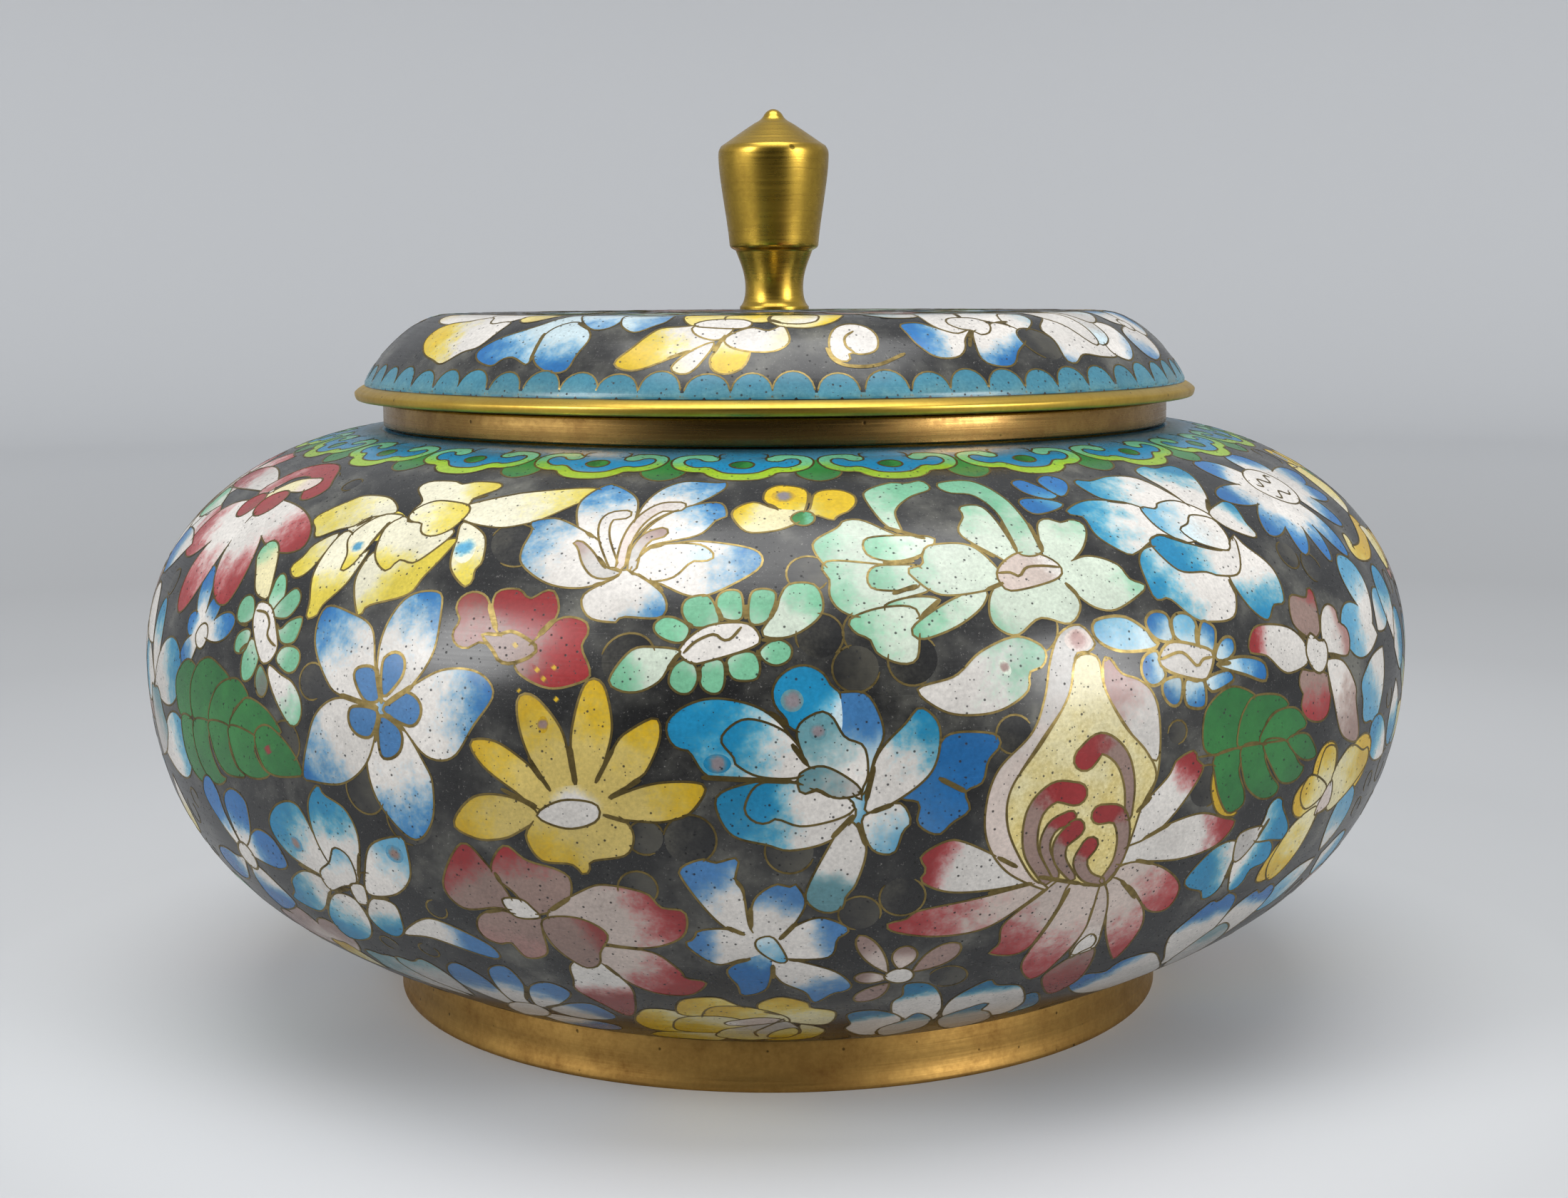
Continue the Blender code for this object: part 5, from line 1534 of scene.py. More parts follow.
def lid_blue_flower(sheet):
    """The pale blue flower at the left of the lid's front."""
    board = sheet(-20)
    petals(board, (-6, 2), ("ice", "blue"), [
        [(-8, 1), (-12.4, 5.2), (-18, 8.2), (-20.3, 10.2), (-19.6, 11.6), (-17, 12.3),
         (-15.6, 11.3), (-14, 11), (-11.8, 12), (-11.2, 11.4), (-7.2, 4.8), (-6.6, 2)],
        [(-11.3, 9), (-10.9, 11.2), (-9.5, 12.5), (-7.4, 13.1), (-5.8, 12.6), (-5.2, 10.6), (-4.4, 8),
         (-5.2, 6.2), (-7.6, 4.4), (-10.2, 6)]], (0.4, 0.95))
    petals(board, (-4, 0), ("ice", "azure"), [
        [(-8, 1.2), (-7, 4), (-5, 6), (-3.2, 6.1), (-1.9, 4.8), (-2, 2), (-3.6, -0.4), (-6.4, -0.6)],
        [(-1.9, 2), (-1.6, 4.6), (-0.6, 6), (1, 6.7), (2.8, 5.4), (4, 4), (3.6, 1), (0.6, -0.6)],
        [(-3, 1), (-6.6, -0.2), (-9.4, -2.6), (-7.6, -5.2), (-3.4, -5), (-1.4, -1.8)],
        [(-3, 1), (-1.4, -1.8), (1, -4.6), (4.8, -3), (4, 0.8), (0, 1.8)]], (0.3, 1.3))
    slits(board, 0.5, [((-11.3, 11.5), (-11, 6.9)), ((-7.2, 4.7), (-5, 6.2))])


def lid_yellow_flower(sheet):
    """The yellow and white flower in the middle of the lid's front."""
    board = sheet(-20)
    heart = (11, 5)
    petals(board, (11, 3), ("pale_yellow", "lemon"), [
        [(8.6, 5.4), (6.8, 5.1), (5.4, 3), (5.4, 0), (7.6, -2.4), (10.6, -1), (11.4, 3.4)],
        [(10.6, 4), (10.4, 0.6), (12.6, -2.8), (15.6, -1), (16, 4), (13.6, 4.6)]], (0.2, 1.2))
    petals(board, (14, 2), ("cream", "lemon"), [
        [(15.3, 3.6), (16.8, 5.3), (18.6, 5.8), (21, 5.8), (23.2, 4.4), (23.2, 1.6),
         (20.4, -0.8), (15.6, 0)]],
        (0.5, 1.1))
    petals(board, (16, 1), ("cream", "white"), [
        [(15.6, 3.9), (17, 4.7), (19.4, 5), (21, 4.2), (20.2, 1.8), (17.4, 0.4), (15.4, 1)]])
    petals(board, heart, ("white", "lemon"), [
        [(9.6, 5), (6.4, 5.5), (3.8, 5.9), (2.6, 7.4), (1.4, 9.4), (-0.1, 11.6), (1.4, 12.6),
         (3.6, 12.4), (7, 10.6), (10, 9), (11.2, 7)],
        [(11.8, 6.6), (11.4, 9.4), (10.9, 11), (11.6, 12.6), (13.2, 13.1), (14.8, 12.3), (15.2, 10.4),
         (14.6, 8)]], (0.25, 0.8))
    petals(board, heart, ("white", "cream"), [
        [(11.8, 7.6), (14, 5.8), (16.2, 6.4), (17.4, 5.4), (18.4, 6.6), (19.1, 8.6),
         (17.8, 9.9), (14.8, 9.9), (12.4, 9)],
        [(10.6, 8.4), (8.4, 9.9), (6.8, 12.2), (8, 13.1), (9.4, 12.6), (10.6, 10)]], (0.5, 1.2))
    petals(board, heart, ("white", "white"), [
        [(7.5, 5.5), (7.9, 6.8), (9.4, 7.8), (11.2, 8), (12.2, 6), (10, 5.2)],
        [(7.5, 5.4), (7.9, 4.3), (9.6, 3.7), (12.2, 3.7), (13.9, 4.7), (13.4, 5.9), (10.6, 5.9)]])
    slits(board, 0.5, [((8.4, 9.8), (6, 11)), ((11.7, 7.2), (11, 9.9)), ((15.6, 3.8), (17.2, 4.8))])


def lid_bud(sheet):
    """The white curled bud with its stem in the middle of the lid's front."""
    board = sheet(20)
    board.shape([(-7.6, 5.1), (-6, 5.8), (-5.3, 7.6), (-6, 9.8), (-7.8, 10.5), (-9.2, 10.2),
                 (-9.4, 11.3), (-10.5, 11.4), (-11.3, 10.2), (-10.8, 7.8),
                 (-9.4, 5.8)], ((-8, 7),), ("white", "white"))
    board.line([(-7.7, 6.6), (-9, 7.7), (-9.3, 9.2), (-8.6, 10.2)], 0.3)
    board.line([(-11.6, 9.4), (-11.2, 11.2), (-9.6, 12.1), (-6.4, 12), (-2.8, 10.4)], 0.45)


def lid_pinwheel(sheet):
    """The blue and white flower at the right of the lid's front."""
    board = sheet(20)
    heart = (7, 5.6)
    petals(board, (6, 3), ("grey_white", "pale_teal"), [
        [(-5, 1.4), (-4, 2.8), (-2, 3.6), (1.2, 3.2), (1.6, 0), (-1, -2.2), (-4.4, -1)]], (0.2, 1.4))
    petals(board, heart, ("white", "sky"), [
        [(6.8, 6.4), (4.4, 7.3), (2.2, 5.8), (1.4, 3.4), (1.6, 0), (4, -1.8), (6.4, 0.6), (6.4, 4)],
        [(7, 4.4), (7, 1.6), (8.6, -1.4), (11.4, -1.6), (13, 1.6), (12.6, 4.8), (11, 5.3), (9.2, 4.6)],
        [(12, 4.8), (12.8, 2.4), (15.6, 2.6), (16.8, 4.8), (15, 6.8), (13.6, 6.8)]], (0.5, 1.5))
    petals(board, heart, BLUE, [
        [(6.6, 6.6), (4.6, 7.3), (2.4, 6.2), (0.4, 5), (-1.8, 5.4), (-1.6, 7.2), (-0.9, 9.2), (0.8, 11),
         (3.4, 11.1), (4.8, 9.9), (5.3, 8.4)],
        [(6.9, 7), (6.3, 10.4), (7, 12), (9.2, 12.6), (10.8, 12.2), (12, 10.4), (13.9, 8.6),
         (13.4, 6.6), (10.6, 5.2), (9, 6.6)]], (0.38, 0.9))
    board.shape([(6.9, 6.8), (5.4, 6.4), (4.2, 5.2), (4.7, 4), (6.2, 3.7), (8.4, 4), (9.8, 5.4),
                 (9.2, 7.1), (7.8, 7.6)], ((7, 5.4),), ("white", "white"))
    slits(board, 0.5, [((6.6, 6.8), (5.5, 9.6)), ((10.9, 5.2), (12.8, 5))])


def lid_pale_flower(sheet):
    """The pale flower with a long white loop at the lid's right."""
    board = sheet(60)
    board.curl((-19, 9.2), 2.7, 120, 290)
    petals(board, (-9, 4), ("white", "azure"), [
        [(-11, 3.8), (-14, 5), (-16.4, 6.8), (-16.4, 8.8), (-17.3, 11.8), (-16, 12.4), (-13.4, 11.2),
         (-10, 11.7), (-6.8, 11.6), (-8, 9)],
        [(-7.4, 10.8), (-4.8, 12.4), (-2.4, 11.6), (-0.6, 9.4), (-0.8, 6.6), (-3.2, 5.6), (-6, 7)]],
        (0.65, 1.2))
    petals(board, (-6, 3), ("grey_white", "ice"), [
        [(-8.6, 9.6), (-5.4, 9), (-4.5, 6.8), (-5, 3), (-7.4, 0.6), (-9, 4)],
        [(-5, 5.6), (-1.6, 4.8), (0.4, 2), (-1, -1.6), (-4.6, -1.8), (-6.8, 1.6)]])
    board.shape([(-11.4, 6), (-10.4, 8.8), (-9.2, 9.9), (-8, 8.8), (-7.5, 5.6), (-8.4, 2.4), (-11, 0.4),
                 (-13.4, 1.6), (-13, 4)], ((-11, 2),), ("white", "white"))


def lid_side_flower(sheet):
    """The pale blue flower at the lid's far right."""
    board = sheet(60)
    petals(board, (5, 6.4), ("white", "azure"), [
        [(3.4, 6.8), (0.9, 7.8), (0.4, 9.6), (1.6, 11.8), (4.4, 12.7), (8, 11.8), (9, 9.8), (7.4, 7.2)],
        [(4.6, 6.6), (1.4, 5.4), (1.4, 2), (4.4, 0.2), (7, 2), (6.6, 5.6)],
        [(6.4, 7), (6.8, 3.6), (10, 1.8), (13.4, 3.6), (12.8, 7.4), (9.4, 8.8)]], (0.3, 1.1))
    board.oval((5.6, 6.4), 3.4, 2.4, 20, WHITE)


LID_FLOWERS = (
    lid_white_flower, lid_blue_flower, lid_yellow_flower, lid_bud, lid_pinwheel, lid_pale_flower,
    lid_side_flower)

# The run down the lid's side at its lower edge, as the lid's drawings count it
LID_RUN_AT_EDGE = 16.3


def draw_lid_crown(picture):
    """Flowers on the lid's flat top, that the photo doesn't show."""
    wall = picture.wall
    for index in range(6):
        board = Board(picture, 30 + 60 * index)
        middle = wall.run_at_radius(24)
        daisy(board, (RED, BLUE, MINT)[index % 3], ((-0.4, middle), (0.4, middle)), [
            (-8, middle + 5, 5), (0, middle + 9, 5.4), (8, middle + 5, 5), (5.6, middle - 6, 4.6),
            (-5.6, middle - 6, 4.6)])
        board.oval((0, middle), 3.6, 3.2, 0, WHITE)
        board = Board(picture, 60 * index)
        high = wall.run_at_radius(13)
        board.petal((0, high + 3), (0, high - 5), 4, (YELLOW, TEAL)[index % 2], "heart")
        leaf = wall.run_at_radius(30)
        leaflets(board, (-5, leaf - 6), (4, leaf + 6), 7, 3, GREEN)


def draw_lid(picture):
    """All the enamel work on the lid. The same daisy lies at its left and at its right."""
    down = picture.wall.length - LID_RUN_AT_EDGE
    draw_lid_crown(picture)
    for side, swap in ((0.0, None), (180.0, BACK_TONES)):
        sheet = sheets(picture, side, swap, down)
        board = sheet(92)
        daisy(board, YELLOW, ((-1, 5.6), (1, 5.6)), [
            (-9, 10, 5.4), (-1, 13, 5), (8, 11, 5.4), (8.6, 3, 5), (1.6, -2.6, 5), (-7, 1, 5)])
        board.oval((0, 5.8), 4.4, 3.2, 0, WHITE)
        for flower in LID_FLOWERS:
            flower(sheet)
    draw_scallops(picture)
    fill_ground(picture, 6.0, down, LID_CURL_TRIES)


# The back repeats the front's drawing with its colours changed about
BACK_TONES = {
    "blue": "mint", "mint": "blue", "mint_white": "white", "yellow": "turquoise",
    "turquoise": "yellow", "sulphur": "turquoise", "red": "deep_blue", "rose": "sky", "sky": "rose",
    "mauve": "pale_yellow", "azure": "sea", "dusk": "ice", "ice": "mint_white", "brick": "blue",
    "deep_teal": "yellow", "spot": "rose"}
# The flowers between the front and the back take others
GAP_TONES = {"yellow": "blue", "turquoise": "mint", "red": "yellow", "blue": "red"}
# The front's flowers, each covering those before it
FLOWERS = (
    edge_flowers, left_leaf, right_leaf, low_left_flowers, low_right_flowers, blue_ring_flower,
    turquoise_flower, blue_crescent, bottom_peony, teal_tipped_flower, red_peony, mauve_daisy,
    blue_star, blue_white_peony, red_white_flower, mint_peony, blue_small_daisy,
    yellow_white_flower, white_blue_pinwheel, mint_oval_daisy, red_trefoil, yellow_daisy,
    blue_lily, mint_bean_daisy, yellow_pansy, blue_peony, lotus)

# Flowers drawn once more between the front and the back: flower, then the turn from its first place
SIDE_COPIES = (
    (bottom_peony, 81), (blue_star, 76.5), (yellow_pansy, 75), (red_trefoil, 95), (yellow_daisy, 90),
    (teal_tipped_flower, -92.5), (turquoise_flower, -40), (blue_lily, -65), (red_white_flower, -122.5))

# Curls of wire in the free ground: board, then centre, radius, start and sweep in degrees
PLACED_CURLS = (
    (0, ((-27.5, 23.5), 3.0, 200, 280), ((3.5, 26.8), 2.2, 30, 270), ((9.5, 33.5), 2.6, 100, 280),
     ((8.2, 37.2), 2.4, 10, 250), ((14, 36.5), 2.6, 60, 270), ((-13, 54.5), 1.9, 60, 280),
     ((-8.5, 54.6), 2.7, 190, 270), ((1.5, 55.8), 2.5, 20, 280), ((-5.4, 60.8), 2.3, 300, 250),
     ((-14, 60.4), 2.1, 120, 280), ((13, 61.5), 2.4, 300, 280), ((8.6, 63.4), 2.2, 100, 280),
     ((4.6, 33.8), 2.4, 150, 260), ((18.4, 74.6), 2.2, 200, 280)),
    (-20, ((5.5, 35.2), 2.6, 200, 260), ((-11, 54.5), 3.0, 90, 260), ((13.6, 36.4), 2.8, 190, 260)),
    (-40, ((-13, 15.5), 2.1, 40, 280), ((4.6, 41), 2.0, 60, 270), ((12, 52), 2.6, 0, 250),
     ((9.4, 64.6), 2.6, 100, 270), ((0.4, 48), 2.3, 150, 270)),
    (24, ((-7, 33.4), 3.2, 200, 280), ((14, 52.4), 2.4, 160, 280), ((-10, 44.5), 2.0, 60, 270)),
    (44, ((6, 28.6), 1.8, 0, 270), ((9.6, 30.6), 1.9, 100, 270), ((-4, 31.6), 1.8, 30, 250)),
)


def fill_ground(picture, low, high, tries):
    """Scatter open curls of wire where no flower lies."""
    chance = picture.chance
    ring = circle(12)
    for _ in range(tries):
        board = Board(picture, chance.uniform(-180, 180))
        run = chance.uniform(low, high)
        radius = chance.choice(CURL_RADII)
        start = chance.uniform(0, 360)
        probe = np.vstack([ring * (radius + CURL_CLEARANCE) + (0, run), (0, run)])
        if picture.hidden(board.places(probe), -1, 0).any():
            continue
        board.curl((0, run), radius, start, chance.uniform(250, 300))


def sheets(picture, side, swap=None, down=0.0):
    """Boards turned round to one side of the jar, with that side's colours."""
    def sheet(view):
        return Board(picture, view, side, swap, down)
    return sheet


def draw_vessel(picture):
    """All the enamel work outside the vessel."""
    for side, swap, copy_swap in ((0.0, None, GAP_TONES), (180.0, BACK_TONES, None)):
        for flower, turn in SIDE_COPIES:
            flower(sheets(picture, side + turn, copy_swap))
        sheet = sheets(picture, side, swap)
        for view, *curls in PLACED_CURLS:
            board = sheet(view)
            for centre, radius, start, sweep in curls:
                board.curl(centre, radius, start, sweep)
        for flower in FLOWERS:
            flower(sheet)
    gap_flowers(sheets(picture, 92, GAP_TONES))
    gap_flowers(sheets(picture, -92))
    draw_cloud_collar(picture)
    fill_ground(picture, 13.5, picture.wall.length - 2, VESSEL_CURL_TRIES)


def metres(radius, angle, level):
    """A place in space from a radius and a level in millimetres, and an angle from the front."""
    return Vector((radius * math.sin(angle), -radius * math.cos(angle), level)) * MM


def add_piece(name, data, material):
    """Put a finished mesh into the scene."""
    data.materials.append(material)
    piece = bpy.data.objects.new(name, data)
    bpy.context.scene.collection.objects.link(piece)
    return piece


def mesh_data(name, mesh):
    """Turn a bmesh into mesh data."""
    data = bpy.data.meshes.new(name)
    mesh.to_mesh(data)
    mesh.free()
    return data


# Loose points between the outlines: their step in millimetres, and how much of it they stray
GRID_STEP = 2.4
GRID_STRAY = 0.35
GRID_SEED = 11
# Points of the skin nearer than this become one, and thinner triangles go, in millimetres
MERGE_DISTANCE = 0.004
THIN_TRIANGLE = 0.002
# Steps in which a wall's profile is searched, and how many places are searched at a time
SEARCH_STEPS = 1600
SEARCH_LOT = 4000
# Owners of faces that belong to no cell
GROUND_OWNER = -1
INSIDE_OWNER = -2


def wall_border(wall, half, rows):
    """The border of the unrolled wall, with points at even steps."""
    border = []
    for index in range(ROUND_FACETS):
        border.append((-half + 2 * half * index / ROUND_FACETS, 0.0))
    for index in range(rows):
        border.append((half, wall.length * index / rows))
    for index in range(ROUND_FACETS):
        border.append((half - 2 * half * index / ROUND_FACETS, wall.length))
    for index in range(rows):
        border.append((-half, wall.length * (1 - index / rows)))
    return border


def ground_grid(wall, half, rows):
    """Loose points that keep the triangles of the skin small."""
    chance = random.Random(GRID_SEED)
    columns = int(2 * half / GRID_STEP)
    places = []
    for row in range(1, rows):
        for column in range(columns):
            across = column + 0.5 + GRID_STRAY * (chance.random() - 0.5)
            down = row + GRID_STRAY * (chance.random() - 0.5)
            places.append((-half + 2 * half * across / columns, wall.length * down / rows))
    return places


def cut_skin(picture):
    """Cut the unrolled wall along every outline.

    Returns the flat places, the triangles and the cell that each triangle belongs to."""
    wall = picture.wall
    half = picture.turn / 2
    rows = max(int(wall.length / GRID_STEP), 4)
    places, faces, orders, centres = [], [], [], []
    for shape, order, _ in picture.shapes:
        first = len(places)
        clipped = shape.copy()
        clipped[:, 1] = np.clip(clipped[:, 1], EDGE_MARGIN, wall.length - EDGE_MARGIN)
        x, y = clipped.T
        if np.sum(x * np.roll(y, -1) - y * np.roll(x, -1)) < 0:
            clipped = clipped[::-1]
        places.extend(clipped.tolist())
        faces.append(list(range(first, len(places))))
        orders.append(order)
        if len(picture.cells[order].spine) == 1:
            centres.append(tuple(shape.mean(0)))
    first = len(places)
    border = wall_border(wall, half, rows)
    edges = [(first + k, first + (k + 1) % len(border)) for k in range(len(border))]
    places += border + ground_grid(wall, half, rows) + centres
    flat, _, triangles, _, _, origins = delaunay_2d_cdt(
        [Vector(place) for place in places], edges, faces, 0, 1e-5, True)
    flat = np.array([tuple(place) for place in flat])
    kept, owners = [], []
    for triangle, origin in zip(triangles, origins):
        middle = flat[list(triangle)].mean(0)
        if abs(middle[0]) < half and 0 < middle[1] < wall.length:
            kept.append(triangle)
            owners.append(orders[max(origin)] if origin else GROUND_OWNER)
    return flat, kept, owners


def grow_rings(mesh, owner, ring, profile):
    """Carry an open edge of the skin along a profile of (radius, level), to its pole."""
    for radius, level in profile:
        grown = bmesh.ops.extrude_edge_only(mesh, edges=ring)["geom"]
        ring = [part for part in grown if isinstance(part, bmesh.types.BMEdge)]
        for part in grown:
            if isinstance(part, bmesh.types.BMFace):
                part[owner] = INSIDE_OWNER
            if isinstance(part, bmesh.types.BMVert):
                angle = math.atan2(part.co.x, -part.co.y)
                part.co = metres(radius, angle, level)
    corners = list({corner for edge in ring for corner in edge.verts})
    middle = Vector((0, 0, corners[0].co.z))
    bmesh.ops.pointmerge(mesh, verts=corners, merge_co=middle)


def inner_profile(wall, thickness, count):
    """The inner side of a wall, from its first run to its last."""
    runs = np.linspace(0.0, wall.length, count)
    normals = wall.normals(np.zeros(count), runs)
    radii = wall.radius(runs) + normals[:, 1] * thickness
    levels = np.interp(runs, wall.runs, wall.levels) - normals[:, 2] * thickness
    return list(zip(radii.tolist(), levels.tolist()))


def build_skin(name, picture, top_rings, bottom_rings, material):
    """Make the closed enamelled piece with its colours in face-corner attributes."""
    wall = picture.wall
    flat, triangles, owners = cut_skin(picture)
    angles = flat[:, 0] / wall.flat_radius
    runs = np.clip(flat[:, 1], 0, wall.length)
    mesh = bmesh.new()
    owner = mesh.faces.layers.int.new("owner")
    corners = [mesh.verts.new(spot) for spot in wall.spots(angles, runs)]
    for triangle, cell in zip(triangles, owners):
        face = mesh.faces.new([corners[k] for k in triangle])
        face[owner] = cell
    loose = [corner for corner in mesh.verts if not corner.link_faces]
    bmesh.ops.delete(mesh, geom=loose, context="VERTS")
    bmesh.ops.remove_doubles(mesh, verts=mesh.verts[:], dist=MERGE_DISTANCE * MM)
    bmesh.ops.dissolve_degenerate(mesh, edges=mesh.edges[:], dist=THIN_TRIANGLE * MM)
    open_edges = [edge for edge in mesh.edges if edge.is_boundary]
    half_way = (wall.levels[0] + wall.levels[-1]) / 2 * MM
    upper = [edge for edge in open_edges if edge.verts[0].co.z > half_way]
    lower = [edge for edge in open_edges if edge.verts[0].co.z <= half_way]
    grow_rings(mesh, owner, upper, top_rings)
    grow_rings(mesh, owner, lower, bottom_rings)
    bmesh.ops.recalc_face_normals(mesh, faces=mesh.faces[:])
    data = mesh_data(name, mesh)
    colour_skin(data, picture)
    return add_piece(name, data, material)


def flat_places(wall, places, middle):
    """Places as (angle, run) laid flat in millimetres, from an angle in the middle."""
    return np.stack([(places[:, 0] - middle) * wall.radius(places[:, 1]), places[:, 1]], -1)


def share_in_cell(wall, cell, here):
    """How far places lie along a cell's spine, or out from its only point."""
    line = flat_places(wall, cell.spine, cell.spine[0, 0])
    if len(line) == 1:
        rim = flat_places(wall, cell.outline, cell.spine[0, 0])
        return np.hypot(*(here - line).T) / np.hypot(*(rim - line).T).mean()
    if len(line) == 2:
        way = line[1] - line[0]
        return (here - line[0]) @ way / max(way @ way, 1e-6)
    gap = np.hypot(*(here[:, None] - line[None]).transpose(2, 0, 1))
    return gap.argmin(1) / (len(line) - 1)


def corner_colours(picture, owner, angle, run):
    """Heart tone, tip tone and place of every face corner.

    A place is its share of the way from heart to tip, 1 on the ground, and its cell's seed."""
    wall = picture.wall
    count = len(owner)
    heart = np.tile(linear("ground"), (count, 1))
    tip = np.tile(linear("ground_grey"), (count, 1))
    place = np.tile((0.5, 1.0, 0.5, 1.0), (count, 1))
    inner = owner == INSIDE_OWNER
    heart[inner] = linear("turquoise")
    tip[inner] = linear("turquoise")
    place[inner] = (0.5, 0.0, 0.5, 1.0)
    order = np.argsort(owner, kind="stable")
    starts = np.searchsorted(owner[order], np.arange(len(picture.cells) + 1))
    for index, cell in enumerate(picture.cells):
        marks = order[starts[index]:starts[index + 1]]
        if not len(marks):
            continue
        turn = angle[marks] - cell.spine[0, 0]
        turn -= math.tau * np.floor(turn / math.tau + 0.5)
        here = np.stack([turn * wall.radius(run[marks]), run[marks]], -1)
        start, end = cell.ease
        heart[marks] = linear(cell.tones[0])
        tip[marks] = linear(cell.tones[1])
        place[marks, 0] = (share_in_cell(wall, cell, here) - start) / (end - start)
        place[marks, 1] = 0.0
        place[marks, 2] = cell.seed
    return {"heart_tone": heart, "tip_tone": tip, "place": place}


def numbers_of(items, name, count, kind=float):
    """Read one value of each item into an array."""
    values = np.empty(count, kind)
    items.foreach_get(name, values)
    return values


def colour_skin(data, picture):
    """Write the enamel attributes, the normals and the bake map of a skin."""
    wall = picture.wall
    faces = len(data.polygons)
    corner_vertex = numbers_of(data.loops, "vertex_index", len(data.loops), int)
    spots = numbers_of(data.vertices, "co", len(data.vertices) * 3).reshape(-1, 3) / MM
    owner = numbers_of(data.attributes["owner"].data, "value", faces, int)
    face_of_corner = np.repeat(np.arange(faces), numbers_of(data.polygons, "loop_total", faces, int))
    radius = np.hypot(spots[:, 0], spots[:, 1])
    angle = np.arctan2(spots[:, 0], -spots[:, 1])[corner_vertex]
    run = runs_of(wall, radius, spots[:, 2])[corner_vertex]
    corner_owner = owner[face_of_corner]
    for name, values in corner_colours(picture, corner_owner, angle, run).items():
        layer = data.color_attributes.new(name, "FLOAT_COLOR", "CORNER")
        layer.data.foreach_set("color", values.astype(np.float32).ravel())
    inner = corner_owner == INSIDE_OWNER
    set_bake_map(data, wall, face_of_corner, angle, run, inner)
    # The outside is smooth across every cell, so its normals come from the wall itself
    normals = wall.normals(angle, run)
    normals[inner] = 0
    data.shade_smooth()
    data.normals_split_custom_set(normals.tolist())


def runs_of(wall, radius, level):
    """Nearest run on the wall's profile for places in space."""
    fine = np.linspace(0, wall.length, SEARCH_STEPS)
    fine_radius, fine_level = wall.radius(fine), np.interp(fine, wall.runs, wall.levels)
    out = np.empty(len(radius))
    for first in range(0, len(radius), SEARCH_LOT):
        part = slice(first, first + SEARCH_LOT)
        gap = (radius[part, None] - fine_radius) ** 2 + (level[part, None] - fine_level) ** 2
        out[part] = fine[gap.argmin(1)]
    return out


# The bake map: the outside in stacked bands, each a third of the way round, then the inside
BAKE_BANDS = 3
BAKE_ROWS = BAKE_BANDS + 0.6
BAKE_WIDTH = 0.97
BAKE_MARGIN = 0.015


def set_bake_map(data, wall, face_of_corner, angle, run, inner):
    """Lay the outside in three stacked bands, and the inside in one strip above them."""
    faces = len(data.polygons)
    share = (angle / math.tau + 0.5) % 1.0
    size = np.bincount(face_of_corner, minlength=faces)
    middle = np.arctan2(
        np.bincount(face_of_corner, np.sin(angle), faces) / size,
        np.bincount(face_of_corner, np.cos(angle), faces) / size)
    middle = ((middle / math.tau + 0.5) % 1.0)[face_of_corner]
    share = share + np.round(middle - share)
    band = np.floor(middle * BAKE_BANDS)
    across = (share * BAKE_BANDS - band) * BAKE_WIDTH + BAKE_MARGIN
    up = (band + 0.02 + 0.94 * run / wall.length) / BAKE_ROWS
    strip_up = (BAKE_BANDS + 0.04 + 0.5 * run / wall.length) / BAKE_ROWS
    places = np.stack([
        np.where(inner, share * BAKE_WIDTH + BAKE_MARGIN, across), np.where(inner, strip_up, up)], -1)
    layer = data.uv_layers.new(name="OFBake")
    layer.data.foreach_set("uv", places.astype(np.float32).ravel())


def collect_wires(picture):
    """Every stretch of wire that shows, as (path, width, closed)."""
    wires = []
    for order, cell in enumerate(picture.cells):
        if not cell.wire:
            continue
        covered = picture.hidden(cell.outline, order, cell.bunch)
        for path, closed in visible_runs(cell.outline, covered, True):
            wires.append((path, cell.wire, closed))
    for wire in picture.wires:
        covered = picture.hidden(wire.path, wire.order, 0)
        for path, closed in visible_runs(wire.path, covered, False):
            wires.append((path, wire.width, closed))
    return wires


def build_wires(name, picture, material):
    """Flat-topped brass strips with a keel sunk in the enamel."""
    wall = picture.wall
    spots, faces = [], []
    count = 0
    for path, width, closed in collect_wires(picture):
        path = path.copy()
        path[:, 1] = np.clip(path[:, 1], WIRE_MARGIN, wall.length - WIRE_MARGIN)
        angle, run = path.T
        top = wall.spots(angle, run, WIRE_STAND)
        normal = wall.normals(angle, run)
        way = np.roll(top, -1, 0) - np.roll(top, 1, 0) if closed else np.gradient(top, axis=0)
        across = np.cross(way, normal)
        length = np.linalg.norm(across, axis=1)
        across *= (width * MM / 2 / np.maximum(length, 1e-9))[:, None]
        if not closed:
            across[[0, -1]] *= WIRE_END_SHARE
        spots.append(np.stack([top - across, top + across, top - normal * WIRE_DEPTH * MM], 1))
        size = len(path)
        here = count + 3 * np.arange(size)
        there = np.roll(here, -1) if closed else here[1:]
        here = here if closed else here[:-1]
        for a, b in ((0, 1), (1, 2), (2, 0)):
            faces.append(np.stack([here + a, here + b, there + b, there + a], -1))
        count += 3 * size
    data = bpy.data.meshes.new(name)
    data.from_pydata(np.concatenate(spots).reshape(-1, 3), [], np.concatenate(faces).tolist())
    mesh = bmesh.new()
    mesh.from_mesh(data)
    bmesh.ops.holes_fill(mesh, edges=[edge for edge in mesh.edges if edge.is_boundary], sides=3)
    bmesh.ops.recalc_face_normals(mesh, faces=mesh.faces[:])
    mesh.to_mesh(data)
    mesh.free()
    return add_piece(name, data, material)


# Edges of turned brass that bend more than the first angle are rounded, and those that still
# bend more than the second are shaded sharp
CRISP_ANGLE = math.radians(40)
SHARP_ANGLE = math.radians(50)


